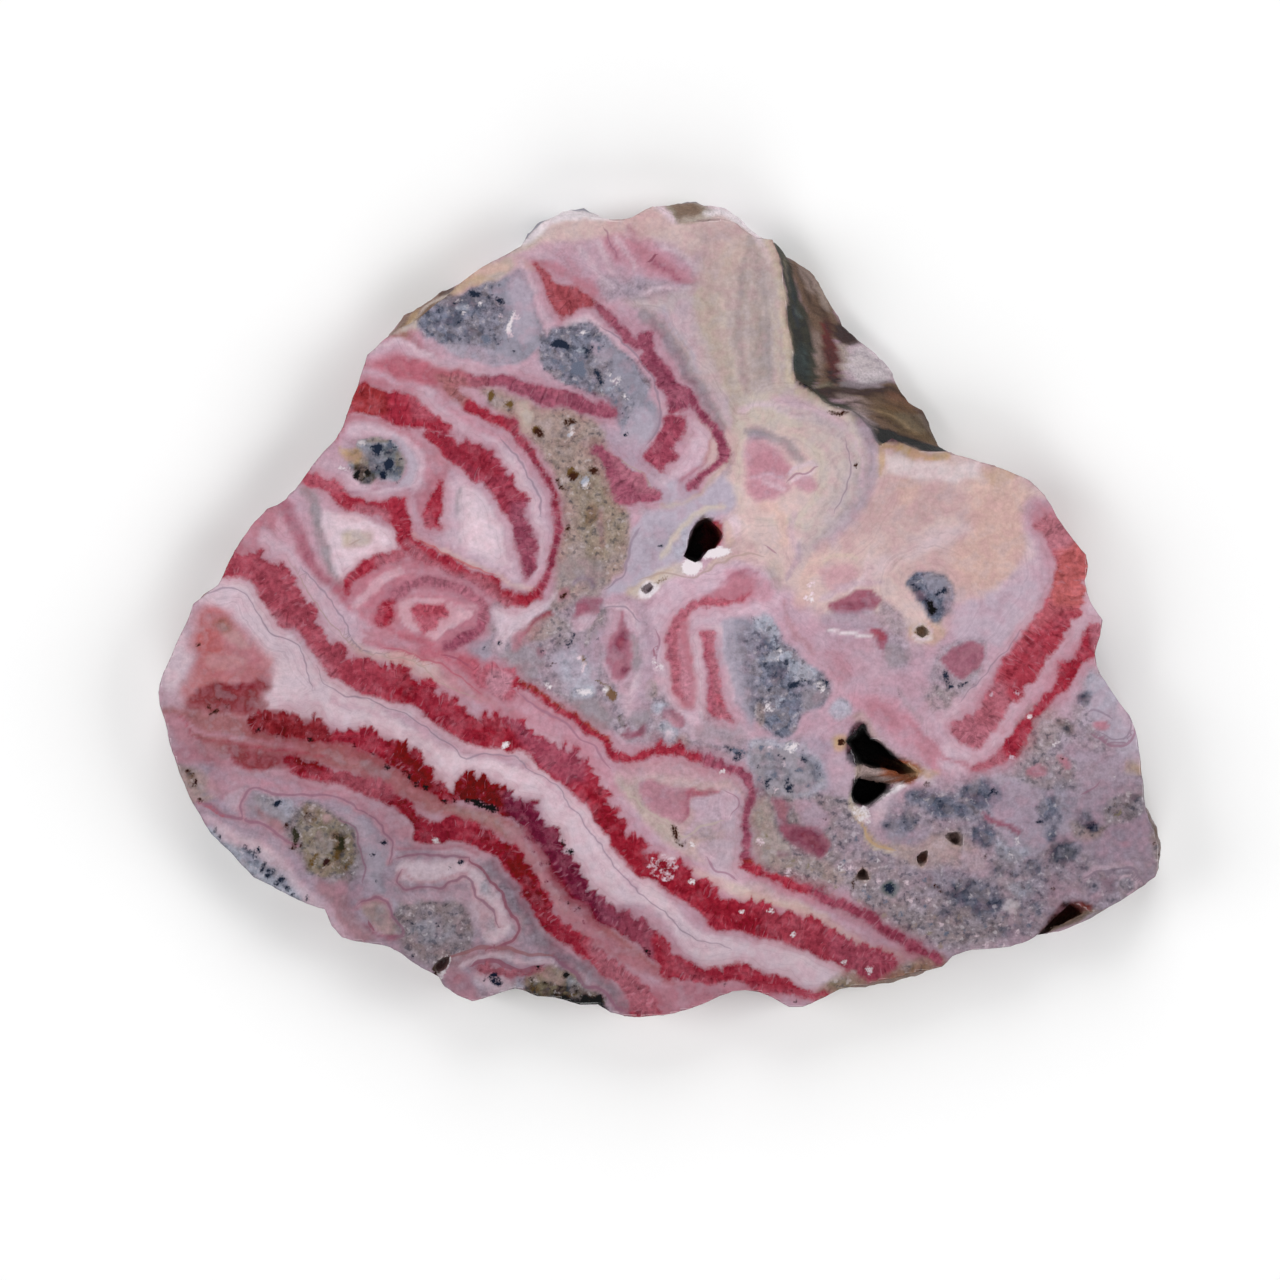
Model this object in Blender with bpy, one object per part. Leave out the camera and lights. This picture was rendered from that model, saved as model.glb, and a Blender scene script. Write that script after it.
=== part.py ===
"""Rhodochrosite slice: a slab sawn from a banded nodule, polished on its upper face and lying on its back.

Plan points are millimetres on a drawing sheet, given as (across, down) from the sheet's upper left corner.
The sheet's "across" is the model's +X and its "down" is the model's -Y. The model stands on z = 0 with the
middle of its outline over the origin.
"""
import math

import bmesh
import bpy
from mathutils import Vector, noise

MM = 0.001

# Driving dimensions of the slab, in metres
THICKNESS = 7.0 * MM
RING_STEP = 1.25 * MM            # spacing of the points round the rim
ROUGHNESS = 0.22 * MM            # how far the natural rim wanders sideways
EDGE_ROUGHNESS = 0.077 * MM      # the same where the saw or the polish has cut through it
SETTLE = 0.6                     # share of the wander by which the whole rim stands back
RIM_RELIEF = 0.075 * MM          # how far the steep rim wanders up and down
RIND_RELIEF = 0.275 * MM         # the same on broad natural rind
ROUGH_SCALE = 2.6 * MM           # size of the lumps on the rim
RELIEF_SCALE = 3.6 * MM
BROAD_LEAN = 1.6 * MM            # a side that leans out further than this is natural rind

# Driving dimensions of the hollows, in metres
HOLLOW_FLOOR = 1.7 * MM          # stone left under the deep hollows
RIDGE_DEPTH = 0.9 * MM           # how far the ridge between the twin hollows lies under the face
VUG_FLOOR = 2.0 * MM
PIT_DEPTH = 1.1 * MM
CUTTER_TOP = 0.6 * MM            # how far a cutter stands above the polished face
HOLLOW_STEP = 0.55 * MM
PIT_STEP = 0.6 * MM
HOLLOW_ROUGHNESS = 0.13 * MM
HOLLOW_SCALE = 1.3 * MM          # size of the lumps on the walls of the hollows

# The side from the polished face down to the sawn back:
# (share of the lean from the face's edge to the widest outline, share of the thickness)
SIDE_PROFILE = (
    (0.0, 1.0),
    (0.06, 0.90),
    (0.20, 0.78),
    (0.40, 0.67),
    (0.62, 0.56),
    (0.84, 0.44),
    (1.0, 0.30),
    (0.98, 0.13),
    (0.90, 0.0),
)

# The outline, clockwise from its left end. Each row is a point of the widest outline and how the side
# leans: a setback in mm, square to the outline, or the point of the polished face's edge that belongs to it.
RIM = (
    # left lobe and the long upper left flank
    ((15.3, 69.2), 0.4), ((15.8, 67.2), 0.4), ((17.1, 64.3), 0.4), ((18.2, 61.8), 0.4),
    ((18.9, 60.1), 0.4), ((20.2, 59.0), 0.4), ((21.4, 58.1), 0.4), ((22.4, 56.2), 0.4),
    ((23.7, 53.5), 0.4), ((25.2, 51.9), 0.4), ((26.4, 50.5), 0.4), ((28.3, 49.6), 0.4),
    ((29.4, 48.1), 0.4), ((31.4, 45.5), 0.4), ((33.2, 43.5), 0.4), ((34.2, 41.2), 0.4),
    ((35.4, 38.0), 0.4), ((36.2, 35.2), 0.5), ((37.4, 33.9), 0.6),
    # brown crust at the upper left
    ((38.8, 32.2), (39.6, 32.9)), ((39.9, 30.9), (41.0, 32.2)), ((41.9, 29.6), (42.9, 30.9)),
    ((43.8, 28.4), (44.5, 29.6)), ((45.2, 27.6), (45.6, 28.5)), ((47.6, 26.3), 0.6),
    ((50.3, 25.1), 0.4),
    # two pale bumps along the top
    ((51.6, 24.2), 0.5), ((52.5, 22.6), 0.8), ((54.0, 21.2), 0.9), ((55.6, 20.3), 1.1),
    ((58.3, 20.0), 1.4), ((59.9, 20.6), 1.1), ((61.2, 21.5), 0.4), ((63.0, 21.3), 0.4),
    ((65.0, 20.1), 0.5), ((66.9, 19.45), (66.4, 20.9)), ((68.8, 19.4), (68.3, 21.9)),
    ((70.6, 19.5), (70.4, 22.0)), ((72.3, 19.8), (72.1, 21.8)), ((74.3, 21.1), (73.9, 22.4)),
    ((76.2, 22.8), (75.7, 23.7)), ((77.8, 23.8), (77.3, 23.9)),
    # broad brown rind at the upper right
    ((79.1, 25.0), (77.9, 25.3)), ((80.6, 25.7), (78.2, 26.6)), ((82.1, 27.2), (78.5, 28.6)),
    ((83.5, 29.4), (78.8, 31.0)), ((84.9, 31.8), (79.1, 33.5)), ((86.6, 33.4), (79.4, 36.0)),
    ((88.2, 34.6), (79.7, 37.8)), ((89.4, 36.3), (81.2, 38.7)), ((90.3, 38.1), (82.3, 39.9)),
    ((91.5, 39.6), (83.8, 40.5)), ((92.8, 40.5), (85.5, 41.1)), ((93.7, 41.7), (87.0, 42.8)),
    ((94.2, 43.2), (87.9, 44.5)), ((94.6, 43.9), (89.2, 43.8)), ((94.9, 44.2), (90.5, 44.3)),
    ((95.1, 44.5), (92.0, 45.0)), ((95.4, 44.8), (94.4, 45.0)),
    # right flank
    ((96.4, 45.2), 0.35), ((98.6, 45.9), 0.35), ((101.3, 46.7), 0.4), ((103.3, 47.6), 0.4),
    ((104.9, 49.2), 0.4), ((106.2, 51.5), 0.4), ((107.7, 53.7), 0.4), ((109.1, 55.2), 0.4),
    ((109.35, 56.6), 0.4), ((109.0, 58.0), 0.4), ((109.6, 60.2), 0.4), ((110.7, 61.9), 0.4),
    ((110.6, 63.6), 0.4), ((110.1, 65.4), 0.4), ((110.7, 67.5), 0.4), ((112.3, 69.9), 0.4),
    ((113.4, 71.3), 0.4), ((114.4, 73.9), 0.5), ((114.8, 77.3), 0.5), ((115.1, 80.4), 0.5),
    ((116.3, 82.6), 0.9), ((116.95, 84.6), 1.0), ((116.9, 87.0), 1.0), ((116.2, 88.4), 0.9),
    ((113.8, 90.0), 0.8), ((111.4, 91.5), 0.9),
    # lip below the vug at the lower right
    ((109.9, 92.4), (109.1, 91.2)), ((108.2, 93.3), (107.6, 90.4)), ((106.6, 93.85), (106.2, 91.2)),
    ((105.3, 94.1), (105.0, 92.4)), ((104.3, 94.2), (104.0, 93.5)),
    # lower edge, right to left
    ((103.3, 94.3), 0.3), ((101.2, 95.0), 0.3), ((99.0, 95.3), 0.3), ((97.3, 95.3), 0.3),
    ((95.5, 96.0), 0.3), ((94.5, 97.1), 0.4), ((92.4, 98.1), 0.9), ((89.7, 98.9), 1.0),
    ((86.9, 99.5), 1.0), ((84.1, 99.4), 0.4), ((82.4, 100.3), 0.4), ((80.4, 101.1), 0.3),
    ((78.8, 101.1), 0.3), ((77.0, 100.1), 0.3), ((74.5, 99.4), 0.3), ((72.2, 100.0), 0.3),
    ((70.0, 101.0), 0.3), ((67.9, 101.6), 0.3), ((65.5, 102.0), 0.3), ((62.4, 102.1), 0.3),
    ((60.9, 101.6), 0.3), ((59.7, 100.8), 0.3), ((57.9, 100.8), 0.3), ((55.4, 100.3), 0.4),
    ((53.6, 100.1), 0.4), ((51.5, 99.3), 0.3), ((49.2, 100.0), 0.3), ((47.2, 100.5), 0.3),
    ((45.6, 100.0), 0.3), ((44.2, 98.9), 0.3), ((43.7, 98.0), 0.3), ((41.9, 97.1), 0.3),
    ((38.9, 95.1), 0.3), ((36.4, 94.7), 0.3), ((34.0, 94.1), 0.3), ((32.8, 92.8), 0.3),
    ((32.2, 91.2), 0.3), ((30.5, 90.8), 0.3), ((28.0, 89.5), 0.3), ((25.2, 88.0), 0.3),
    ((23.8, 86.9), 0.4), ((22.6, 85.5), 0.4), ((20.7, 83.7), 0.4), ((19.0, 80.9), 0.4),
    ((17.5, 77.6), 0.4), ((16.5, 74.6), 0.4), ((16.0, 72.0), 0.4), ((15.5, 70.6), 0.4),
)

# Mouths of the hollows in the polished face, clockwise
LONG_HOLLOW = (
    (70.0, 52.1), (70.8, 51.85), (71.2, 52.3), (71.7, 52.8), (72.2, 53.6), (71.9, 54.2),
    (71.5, 54.8), (70.8, 55.0), (70.3, 55.5), (70.0, 56.0), (69.5, 56.2), (68.9, 55.9),
    (68.4, 55.6), (68.8, 54.9), (68.9, 54.1), (69.1, 53.2), (69.5, 52.5),
)
TWIN_HOLLOW = (
    (86.3, 72.4), (86.7, 73.2), (87.0, 73.9), (87.8, 74.1), (88.6, 74.8), (89.5, 75.7),
    (90.2, 76.3), (91.2, 76.7), (91.9, 77.3), (91.7, 77.8), (90.6, 78.1), (89.7, 78.5),
    (89.2, 79.0), (88.3, 79.6), (87.5, 80.3), (86.9, 80.8), (86.2, 80.5), (85.4, 80.1),
    (85.2, 79.5), (85.4, 78.6), (85.7, 77.6), (85.7, 76.5), (85.5, 75.5), (85.2, 74.8),
    (84.55, 74.1), (85.0, 73.7), (85.6, 73.5), (85.9, 72.8),
)
UPPER_TWIN = (
    (86.3, 72.7), (86.7, 73.4), (87.0, 74.0), (87.8, 74.2), (88.6, 74.9), (89.5, 75.8),
    (90.2, 76.4), (91.1, 76.8), (91.7, 77.3), (90.6, 77.3), (89.4, 77.1), (88.2, 76.8),
    (87.1, 76.7), (86.0, 76.3), (85.6, 75.5), (85.2, 74.8), (84.8, 74.1), (85.6, 73.6),
)
LOWER_TWIN = (
    (85.9, 77.9), (87.0, 78.1), (88.0, 78.3), (89.1, 78.6), (88.9, 79.1), (88.2, 79.5),
    (87.4, 80.2), (86.9, 80.6), (86.2, 80.4), (85.5, 80.0), (85.3, 79.5), (85.5, 78.6),
)
VUG = (
    (103.5, 94.9), (104.1, 93.4), (105.0, 92.3), (106.1, 91.2), (107.3, 90.3), (108.5, 90.9),
    (108.7, 91.5), (107.6, 92.3), (106.5, 92.8), (105.6, 93.3), (105.2, 94.0), (105.0, 94.9),
)
SMALL_PITS = (
    ((94.5, 83.6), (96.0, 83.2), (96.1, 84.6)),
    ((91.7, 85.7), (92.7, 85.1), (92.6, 86.2), (92.1, 86.6)),
    ((85.6, 87.8), (86.3, 86.9), (86.9, 87.9), (86.1, 87.9)),
    ((91.7, 62.8), (92.3, 62.6), (92.8, 63.2), (92.3, 63.7), (91.8, 63.4)),
    ((64.3, 58.9), (65.0, 58.3), (65.3, 58.7), (64.6, 59.3)),
    ((43.2, 97.0), (43.9, 96.1), (44.9, 95.7), (44.6, 96.7), (43.8, 97.2)),
)

STONE_PINK = (0.78, 0.42, 0.45, 1.0)


def clear_scene():
    for item in list(bpy.data.objects):
        bpy.data.objects.remove(item, do_unlink=True)


def make_material(name, colour, roughness, metallic=0.0):
    material = bpy.data.materials.new(name)
    material.use_nodes = True
    shader = material.node_tree.nodes["Principled BSDF"]
    shader.inputs["Base Color"].default_value = colour
    shader.inputs["Roughness"].default_value = roughness
    shader.inputs["Metallic"].default_value = metallic
    material.diffuse_color = colour
    return material


def sheet_middle():
    """The sheet point under the origin: the middle of the widest outline."""
    across = [foot[0] for foot, _ in RIM]
    down = [foot[1] for foot, _ in RIM]
    return (min(across) + max(across)) / 2, (min(down) + max(down)) / 2


def on_plan(point, middle):
    """A sheet point in mm as a plan vector in metres."""
    return Vector(((point[0] - middle[0]) * MM, (middle[1] - point[1]) * MM, 0.0))


def along_curve(before, start, end, after, share):
    """A point of the smooth curve through four neighbours, share of the way from start to end."""
    square, cube = share ** 2, share ** 3
    return 0.5 * (
        2 * start
        + (end - before) * share
        + (2 * before - 5 * start + 4 * end - after) * square
        + (3 * start - before - 3 * end + after) * cube
    )


def smooth_loops(loops, step):
    """Closed curves with as many points as each other, the widest spacing of any of them being about step."""
    count = len(loops[0])
    smooth = [[] for _ in loops]
    for i in range(count):
        longest = max((loop[(i + 1) % count] - loop[i]).length for loop in loops)
        pieces = max(1, round(longest / step))
        for loop, out in zip(loops, smooth):
            neighbours = [loop[(i + k) % count] for k in (-1, 0, 1, 2)]
            out.extend(along_curve(*neighbours, k / pieces) for k in range(pieces))
    return smooth


def outward(loop, i):
    """The unit vector square to a clockwise loop at point i, pointing away from its inside."""
    run = loop[(i + 1) % len(loop)] - loop[i - 1]
    return Vector((-run.y, run.x, 0.0)).normalized()


def wander(point, scale, seed):
    """Smooth seeded noise at a point, about -1 to 1."""
    return noise.noise(point / scale + Vector((seed, 2.7 * seed, 1.3 * seed))) * 1.8


def solid_from_rings(name, rings):
    """A closed solid whose skin runs through the rings, from the lowest to the highest."""
    shape = bmesh.new()
    edges = []
    for ring in rings:
        verts = [shape.verts.new(point) for point in ring]
        edges.append([shape.edges.new((verts[i - 1], verts[i])) for i in range(len(verts))])
    for lower, upper in zip(edges, edges[1:]):
        bmesh.ops.bridge_loops(shape, edges=lower + upper)
    for rim in (edges[0], edges[-1]):
        bmesh.ops.contextual_create(shape, geom=rim)
    bmesh.ops.recalc_face_normals(shape, faces=shape.faces)
    mesh = bpy.data.meshes.new(name)
    shape.to_mesh(mesh)
    shape.free()
    solid = bpy.data.objects.new(name, mesh)
    bpy.context.scene.collection.objects.link(solid)
    return solid


def rim_loops(middle):
    """The widest outline and the polished face's edge, point for point, as smooth loops."""
    widest = [on_plan(foot, middle) for foot, _ in RIM]
    face = []
    for i, (_, lean) in enumerate(RIM):
        if isinstance(lean, tuple):
            face.append(on_plan(lean, middle))
        else:
            face.append(widest[i] - outward(widest, i) * lean * MM)
    return smooth_loops([widest, face], RING_STEP)


def slab_rings(middle):
    """Rings of the slab from the sawn back up to the polished face."""
    widest, face = rim_loops(middle)
    rings = []
    for lean_share, height_share in reversed(SIDE_PROFILE):
        sawn = height_share in (0.0, 1.0)
        ring = []
        for i, (out, top) in enumerate(zip(widest, face)):
            point = top.lerp(out, lean_share)
            point.z = THICKNESS * height_share
            spot = point.copy()
            sideways = EDGE_ROUGHNESS if sawn else ROUGHNESS
            point += outward(widest, i) * (wander(spot, ROUGH_SCALE, 1.0) - SETTLE) * sideways
            if not sawn:
                breadth = min(1.0, (out - top).length / BROAD_LEAN)
                relief = RIM_RELIEF + (RIND_RELIEF - RIM_RELIEF) * breadth
                point.z += wander(spot, RELIEF_SCALE, 5.0) * relief
            ring.append(point)
        rings.append(ring)
    return rings


def hollow_cutter(name, mouth, floor, narrowing, middle, step, seed):
    """A cutter for a blind hollow: the mouth's outline, drawn in towards the floor and left uneven."""
    loop = smooth_loops([[on_plan(point, middle) for point in mouth]], step)[0]
    centre = sum(loop, Vector()) / len(loop)
    top = THICKNESS + CUTTER_TOP
    depth = THICKNESS - floor
    levels = (
        (floor, narrowing),
        (floor + 0.25 * depth, (1 + 2 * narrowing) / 3),
        (floor + 0.65 * depth, 0.95),
        (THICKNESS, 1.0),
        (top, 1.0),
    )
    rings = []
    for height, share in levels:
        ring = []
        for i, edge in enumerate(loop):
            point = centre.lerp(edge, share)
            point.z = height
            if height < THICKNESS:
                point += outward(loop, i) * wander(point, HOLLOW_SCALE, seed) * HOLLOW_ROUGHNESS
            ring.append(point)
        rings.append(ring)
    cutter = solid_from_rings(name, rings)
    cutter.hide_render = True
    cutter.display_type = "WIRE"
    return cutter


def cut(solid, cutter):
    modifier = solid.modifiers.new(cutter.name, "BOOLEAN")
    modifier.operation = "DIFFERENCE"
    modifier.solver = "EXACT"
    modifier.object = cutter


def make_slice():
    middle = sheet_middle()
    slab = solid_from_rings("slice", slab_rings(middle))
    slab.data.materials.append(make_material("banded_stone", STONE_PINK, 0.25))
    hollows = (
        ("long_hollow", LONG_HOLLOW, HOLLOW_FLOOR, 0.62),
        ("twin_hollow", TWIN_HOLLOW, THICKNESS - RIDGE_DEPTH, 0.97),
        ("upper_twin", UPPER_TWIN, HOLLOW_FLOOR, 0.66),
        ("lower_twin", LOWER_TWIN, HOLLOW_FLOOR, 0.70),
        ("edge_vug", VUG, VUG_FLOOR, 0.82),
    )
    for seed, (name, mouth, floor, narrowing) in enumerate(hollows):
        cut(slab, hollow_cutter(name, mouth, floor, narrowing, middle, HOLLOW_STEP, 10.0 + seed))
    pit_floor = THICKNESS - PIT_DEPTH
    for number, mouth in enumerate(SMALL_PITS):
        pit = hollow_cutter(f"pit_{number}", mouth, pit_floor, 0.45, middle, PIT_STEP, 20.0 + number)
        cut(slab, pit)


clear_scene()
make_slice()
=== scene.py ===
"""Polished slice of banded rhodochrosite, dressed as a mineral specimen.

The pattern is drawn on a sheet in millimetres, given as (across, down) from the sheet's upper left corner.
The sheet's middle lies over the model's origin, its "across" is the model's +X and its "down" the model's
-Y. Each stroke is worked out at the points of the slab's own surface and kept there as colours and
distances. The material turns those into crisp crystal bands, growth lines, grains and pits.
"""
import math

import bmesh
import bpy
import numpy as np
from bpy.props import FloatProperty, FloatVectorProperty, PointerProperty
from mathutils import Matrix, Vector, kdtree, noise


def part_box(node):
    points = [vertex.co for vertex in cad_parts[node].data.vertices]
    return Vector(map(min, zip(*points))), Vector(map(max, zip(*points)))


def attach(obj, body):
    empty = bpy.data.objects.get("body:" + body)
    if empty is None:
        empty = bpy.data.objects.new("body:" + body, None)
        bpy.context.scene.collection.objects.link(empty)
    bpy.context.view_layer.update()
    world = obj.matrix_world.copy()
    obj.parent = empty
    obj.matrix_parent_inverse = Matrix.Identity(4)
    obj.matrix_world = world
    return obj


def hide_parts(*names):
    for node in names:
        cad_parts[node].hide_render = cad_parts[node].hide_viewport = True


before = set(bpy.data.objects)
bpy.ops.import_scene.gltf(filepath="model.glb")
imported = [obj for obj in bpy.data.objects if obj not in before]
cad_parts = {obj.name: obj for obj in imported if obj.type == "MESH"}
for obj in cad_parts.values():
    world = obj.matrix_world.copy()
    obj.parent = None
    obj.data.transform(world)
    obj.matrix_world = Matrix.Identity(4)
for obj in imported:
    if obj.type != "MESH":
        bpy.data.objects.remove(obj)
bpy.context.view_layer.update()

bl_info = {
    "name": "Rhodochrosite slice",
    "version": (1, 0, 0),
    "blender": (4, 5, 0),
    "location": "3D Viewport > Sidebar > Slice",
    "description": "Builds a polished slice of banded rhodochrosite and a plain stage for it",
    "category": "Add Mesh",
}

MM = 0.001
SHEET_MIDDLE = (66.125, 60.75)   # the sheet point over the origin, in mm
FACE_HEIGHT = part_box("slice")[1].z
SKIN = 0.004 * MM                # how far the fine faces lie inside the solid's sawn and polished planes

# Drawing sheet, in millimetres
CURVE_STEPS = 4                  # pieces that each span of a drawn curve is cut into
SPOTS_AT_ONCE = 4000             # surface points worked out together, to keep the arrays small
FAR = 9.0                        # a distance that counts as outside everything
NO_LENGTH = 1e-9                 # least lengths that are divided by
NO_GAP = 1e-6
RING_REACH = 3.2                 # how far growth lines follow an edge
BAND_MARGIN = 0.55               # how far a band's colour goes past its edge, for the teeth to take it up
BAND_BLEND = 0.4                 # softness of one band's colour over another's
TEETH_ASIDE = 0.5                # how high the teeth are on an edge that lies along the way of growth
TEETH_TURN = 0.9                 # what facing that way adds to it, or facing away takes from it
TEETH_LEAST = 0.1
GRAIN_BLEND = 0.3                # how far outside its edge a grain's colour reaches
LINE_REACH = 0.9                 # how far from their edges lines and grains are worked out
LINE_TAPER = 6.0                 # how soon a line has its full width, from its ends
LINE_END = 0.4                   # share of a line's width that its ends have
LINE_HALF = 0.1                  # half width where there is no line
WAVES = 7                        # sine waves in one wobble
WAVE_SPREAD = (0.7, 1.5)         # how the waves' lengths are spread about the one asked for
WANDER = ((3.2, 0.10, 11), (1.3, 0.05, 23))    # wavelength, size and seed of what unsettles every drawn edge

HOLLOW_LIP = 0.5                 # how far past its drawn outline a hollow's wall may lie
GROWTH_WAY = (0.5, -0.87)        # the crystals' teeth point this way over the sheet

# How the layers go down the rim
LEAN_FROM = 0.25                 # depth in mm where they start to lean
LAYER_LEAN = (0.60, 0.45)        # mm along the sheet for each mm down
LAYER_SWAY = 0.6                 # share that the slant varies by, over this many mm
SWAY_REACH = 3.0
SWAY_SEED = 5


# The slab's fine surface
FLAT_SLACK = 0.02 * MM           # how far from a sawn plane a point still counts as on it
MERGE = 0.001 * MM
COARSE_SHARE = 1.3               # how much of the relief is large lumps, and how much small ones
FINE_SHARE = 0.6
FINER = 3.1                      # how much finer the small relief is than the large
RIM_SEED = 4.0
INSET = 1.1                      # relief units that the rim draws in by, to stay inside the solid
BLOCK_MARGIN = 1.0 * MM
THIN_LIP = Vector((42.8, -30.0)) * MM    # the sliver of face between the vug and the edge keeps its shape
LIP_REACH = 4.5 * MM
LIP_FADE = 4                     # how steeply the relief fades towards that sliver
SHARP = math.radians(50)

# Material. Scales are features for each mm, and levels and strengths are shares of 0 to 1.
GLOSS_LIFT = 0.02                # linear light that the polish adds to every colour
TONE_AT = 40.0                   # where patterns of the same kind are read, far enough from one another
PITS_AT = 15.0
SEAMS_AT = 9.0
CREASES_AT = 7.0
SHINE_AT = 3.0
CLOUD_LIGHT = 0.47               # how much each kind of variation changes the light
RING_LIGHT = 0.34
LUMP_LIGHT = 0.24
CREASE_SHADE = 0.13
FIBRE_LIGHT = 0.68
FACET_LIGHT = 0.10
RING_SWAY = 0.5                  # mm that the growth lines sway by
UNEVEN = 0.93                    # mm that broad unevenness moves an edge by, and fine fraying
FRAY = 0.86
TEETH_BASE = 0.3                 # how far the teeth's feet lie behind a band's edge
TEETH_FADE = 0.4                 # how fast they fade for each mm from it
HALO_STRENGTH = 0.38
LINE_STRENGTH = 0.64
LINE_WIDEST = 0.28               # mm from a line's middle where it ends at the latest
LINE_FRAY = 0.06
RIND_STRENGTH = 0.55             # how much stain the rim has beyond its least
RIND_BASE = 0.1
RIM_LIGHT = 0.78
# painted shade that the walls of marked hollows reach at depth
HOLLOW_SHADE = 0.5
POLISH = 0.17                    # roughness of the polished face, what grain adds to it, and its drift
GRAIN_MATT = 0.10
POLISH_DRIFT = 0.07
RIM_MATT = 0.72                  # roughness of the natural rim
FACE_RELIEF = 0.02               # share of the rim's relief that the polished face has
RELIEF_DEPTH = 0.3 * MM
FLOOR_TONE = 0.99
FLOOR_DRIFT = 0.02

# The stage
CAMERA_OVER = (-2.125 * MM, -3.25 * MM)
SENSOR = 36.0
FLOOR_REACH = 1.5
LIGHTS = 4
LIGHT_POWER = 4.1
LIGHT_SIZE = 0.55
LIGHT_LEVEL = 36.0               # degrees above the floor
LIGHT_DISTANCE = 0.95
WORLD_LIGHT = 0.12


def linear(channel):
    """A screen colour's channel, 0 to 255, as a linear value."""
    share = channel / 255
    return share / 12.92 if share <= 0.04045 else ((share + 0.055) / 1.055) ** 2.4


def shade(name, note, *screen):
    """A colour property whose default is given as seen on a screen, 0 to 255."""
    return FloatVectorProperty(name=name, description=note, subtype="COLOR", min=0.0, max=1.0,
                               default=[linear(channel) for channel in screen])


class SliceColours(bpy.types.PropertyGroup):
    """Colours of the stone, as seen on a screen."""
    milk: shade("Milk", "Palest lilac layers", 211, 188, 199)
    pale: shade("Pale", "Pale lilac layers", 198, 170, 184)
    pink: shade("Pink", "Body of the stone", 187, 154, 169)
    mist: shade("Mist", "Cool pale grey", 176, 165, 180)
    lilac: shade("Lilac", "Greyish lilac", 168, 148, 164)
    haze: shade("Haze", "Grey lilac with fine grain", 155, 140, 152)
    rose_mist: shade("Rose mist", "Pale rose", 190, 140, 155)
    rose: shade("Rose", "Rose crystal", 176, 118, 132)
    coral: shade("Coral", "Warm rose crystal", 174, 92, 107)
    crimson: shade("Crimson", "Main crystal bands", 158, 56, 70)
    ruby: shade("Ruby", "Deep red in the bands", 138, 38, 48)
    garnet: shade("Garnet", "Darkest red", 116, 26, 32)
    plum: shade("Plum", "Dark purple red", 114, 49, 70)
    mauve: shade("Mauve", "Purple grey", 148, 82, 101)
    slate: shade("Slate", "Blue-grey country rock", 124, 122, 136)
    steel: shade("Steel", "Smooth grey inclusions", 142, 139, 153)
    storm: shade("Storm", "Dark country rock", 106, 111, 128)
    ink: shade("Ink", "Nearly black grains", 46, 52, 66)
    silver: shade("Silver", "Light grey quartz", 163, 166, 180)
    peach: shade("Peach", "Warm pale ground", 207, 182, 179)
    blush: shade("Blush", "Warm pink ground", 196, 166, 165)
    apricot: shade("Apricot", "Warmest ground", 207, 173, 162)
    tan: shade("Tan", "Stained ground", 168, 146, 140)
    sand: shade("Sand", "Sandy zone", 153, 134, 127)
    moss: shade("Moss", "Greenish brown rock", 136, 124, 106)
    olive: shade("Olive", "Olive brown rock", 108, 85, 58)
    cream: shade("Cream", "Creamy curtains", 198, 182, 163)
    beige: shade("Beige", "Beige ground", 184, 168, 158)
    ochre: shade("Ochre", "Yellowish stain", 190, 158, 120)
    bark: shade("Bark", "Brown crust", 121, 94, 77)
    umber: shade("Umber", "Dark brown crust", 66, 44, 36)
    # black also serves as painted shade at the backs of the hollows
    black: shade("Black", "Black grains and voids", 24, 19, 20)
    rust: shade("Rust", "Orange brown walls", 135, 72, 42)
    snow: shade("Snow", "Sugary white crystal", 224, 214, 219)
    fog: shade("Fog", "Grey pink haze", 144, 134, 140)
    matrix: shade("Matrix", "Grey brown rock", 136, 125, 129)
    teal: shade("Teal", "Dark green grains", 70, 85, 85)
    verdigris: shade("Verdigris", "Green grey grains", 88, 98, 98)
    grime: shade("Grime", "Dark rind", 62, 60, 50)
    grey_line: shade("Grey line", "Grey growth lines", 140, 122, 138)
    mauve_line: shade("Mauve line", "Purple growth lines", 150, 108, 128)
    coral_line: shade("Coral line", "Red growth lines", 185, 100, 100)
    brick: shade("Brick", "Brownish red crystal", 136, 56, 60)
    dusty: shade("Dusty", "Rosy tan stripe", 161, 106, 109)
    fleece: shade("Fleece", "Whitest crystal", 223, 200, 210)
    dusk: shade("Dusk", "Dim grey lilac", 128, 108, 121)
    cobalt: shade("Cobalt", "Dark blue grey of the rock's clusters", 80, 88, 105)
    oyster: shade("Oyster", "Pale pinkish grey stone", 187, 170, 174)
    shell: shade("Shell", "Grey of the crown's curtains", 164, 148, 150)
    ivory: shade("Ivory", "Pale warm edge stone", 196, 182, 172)


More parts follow.
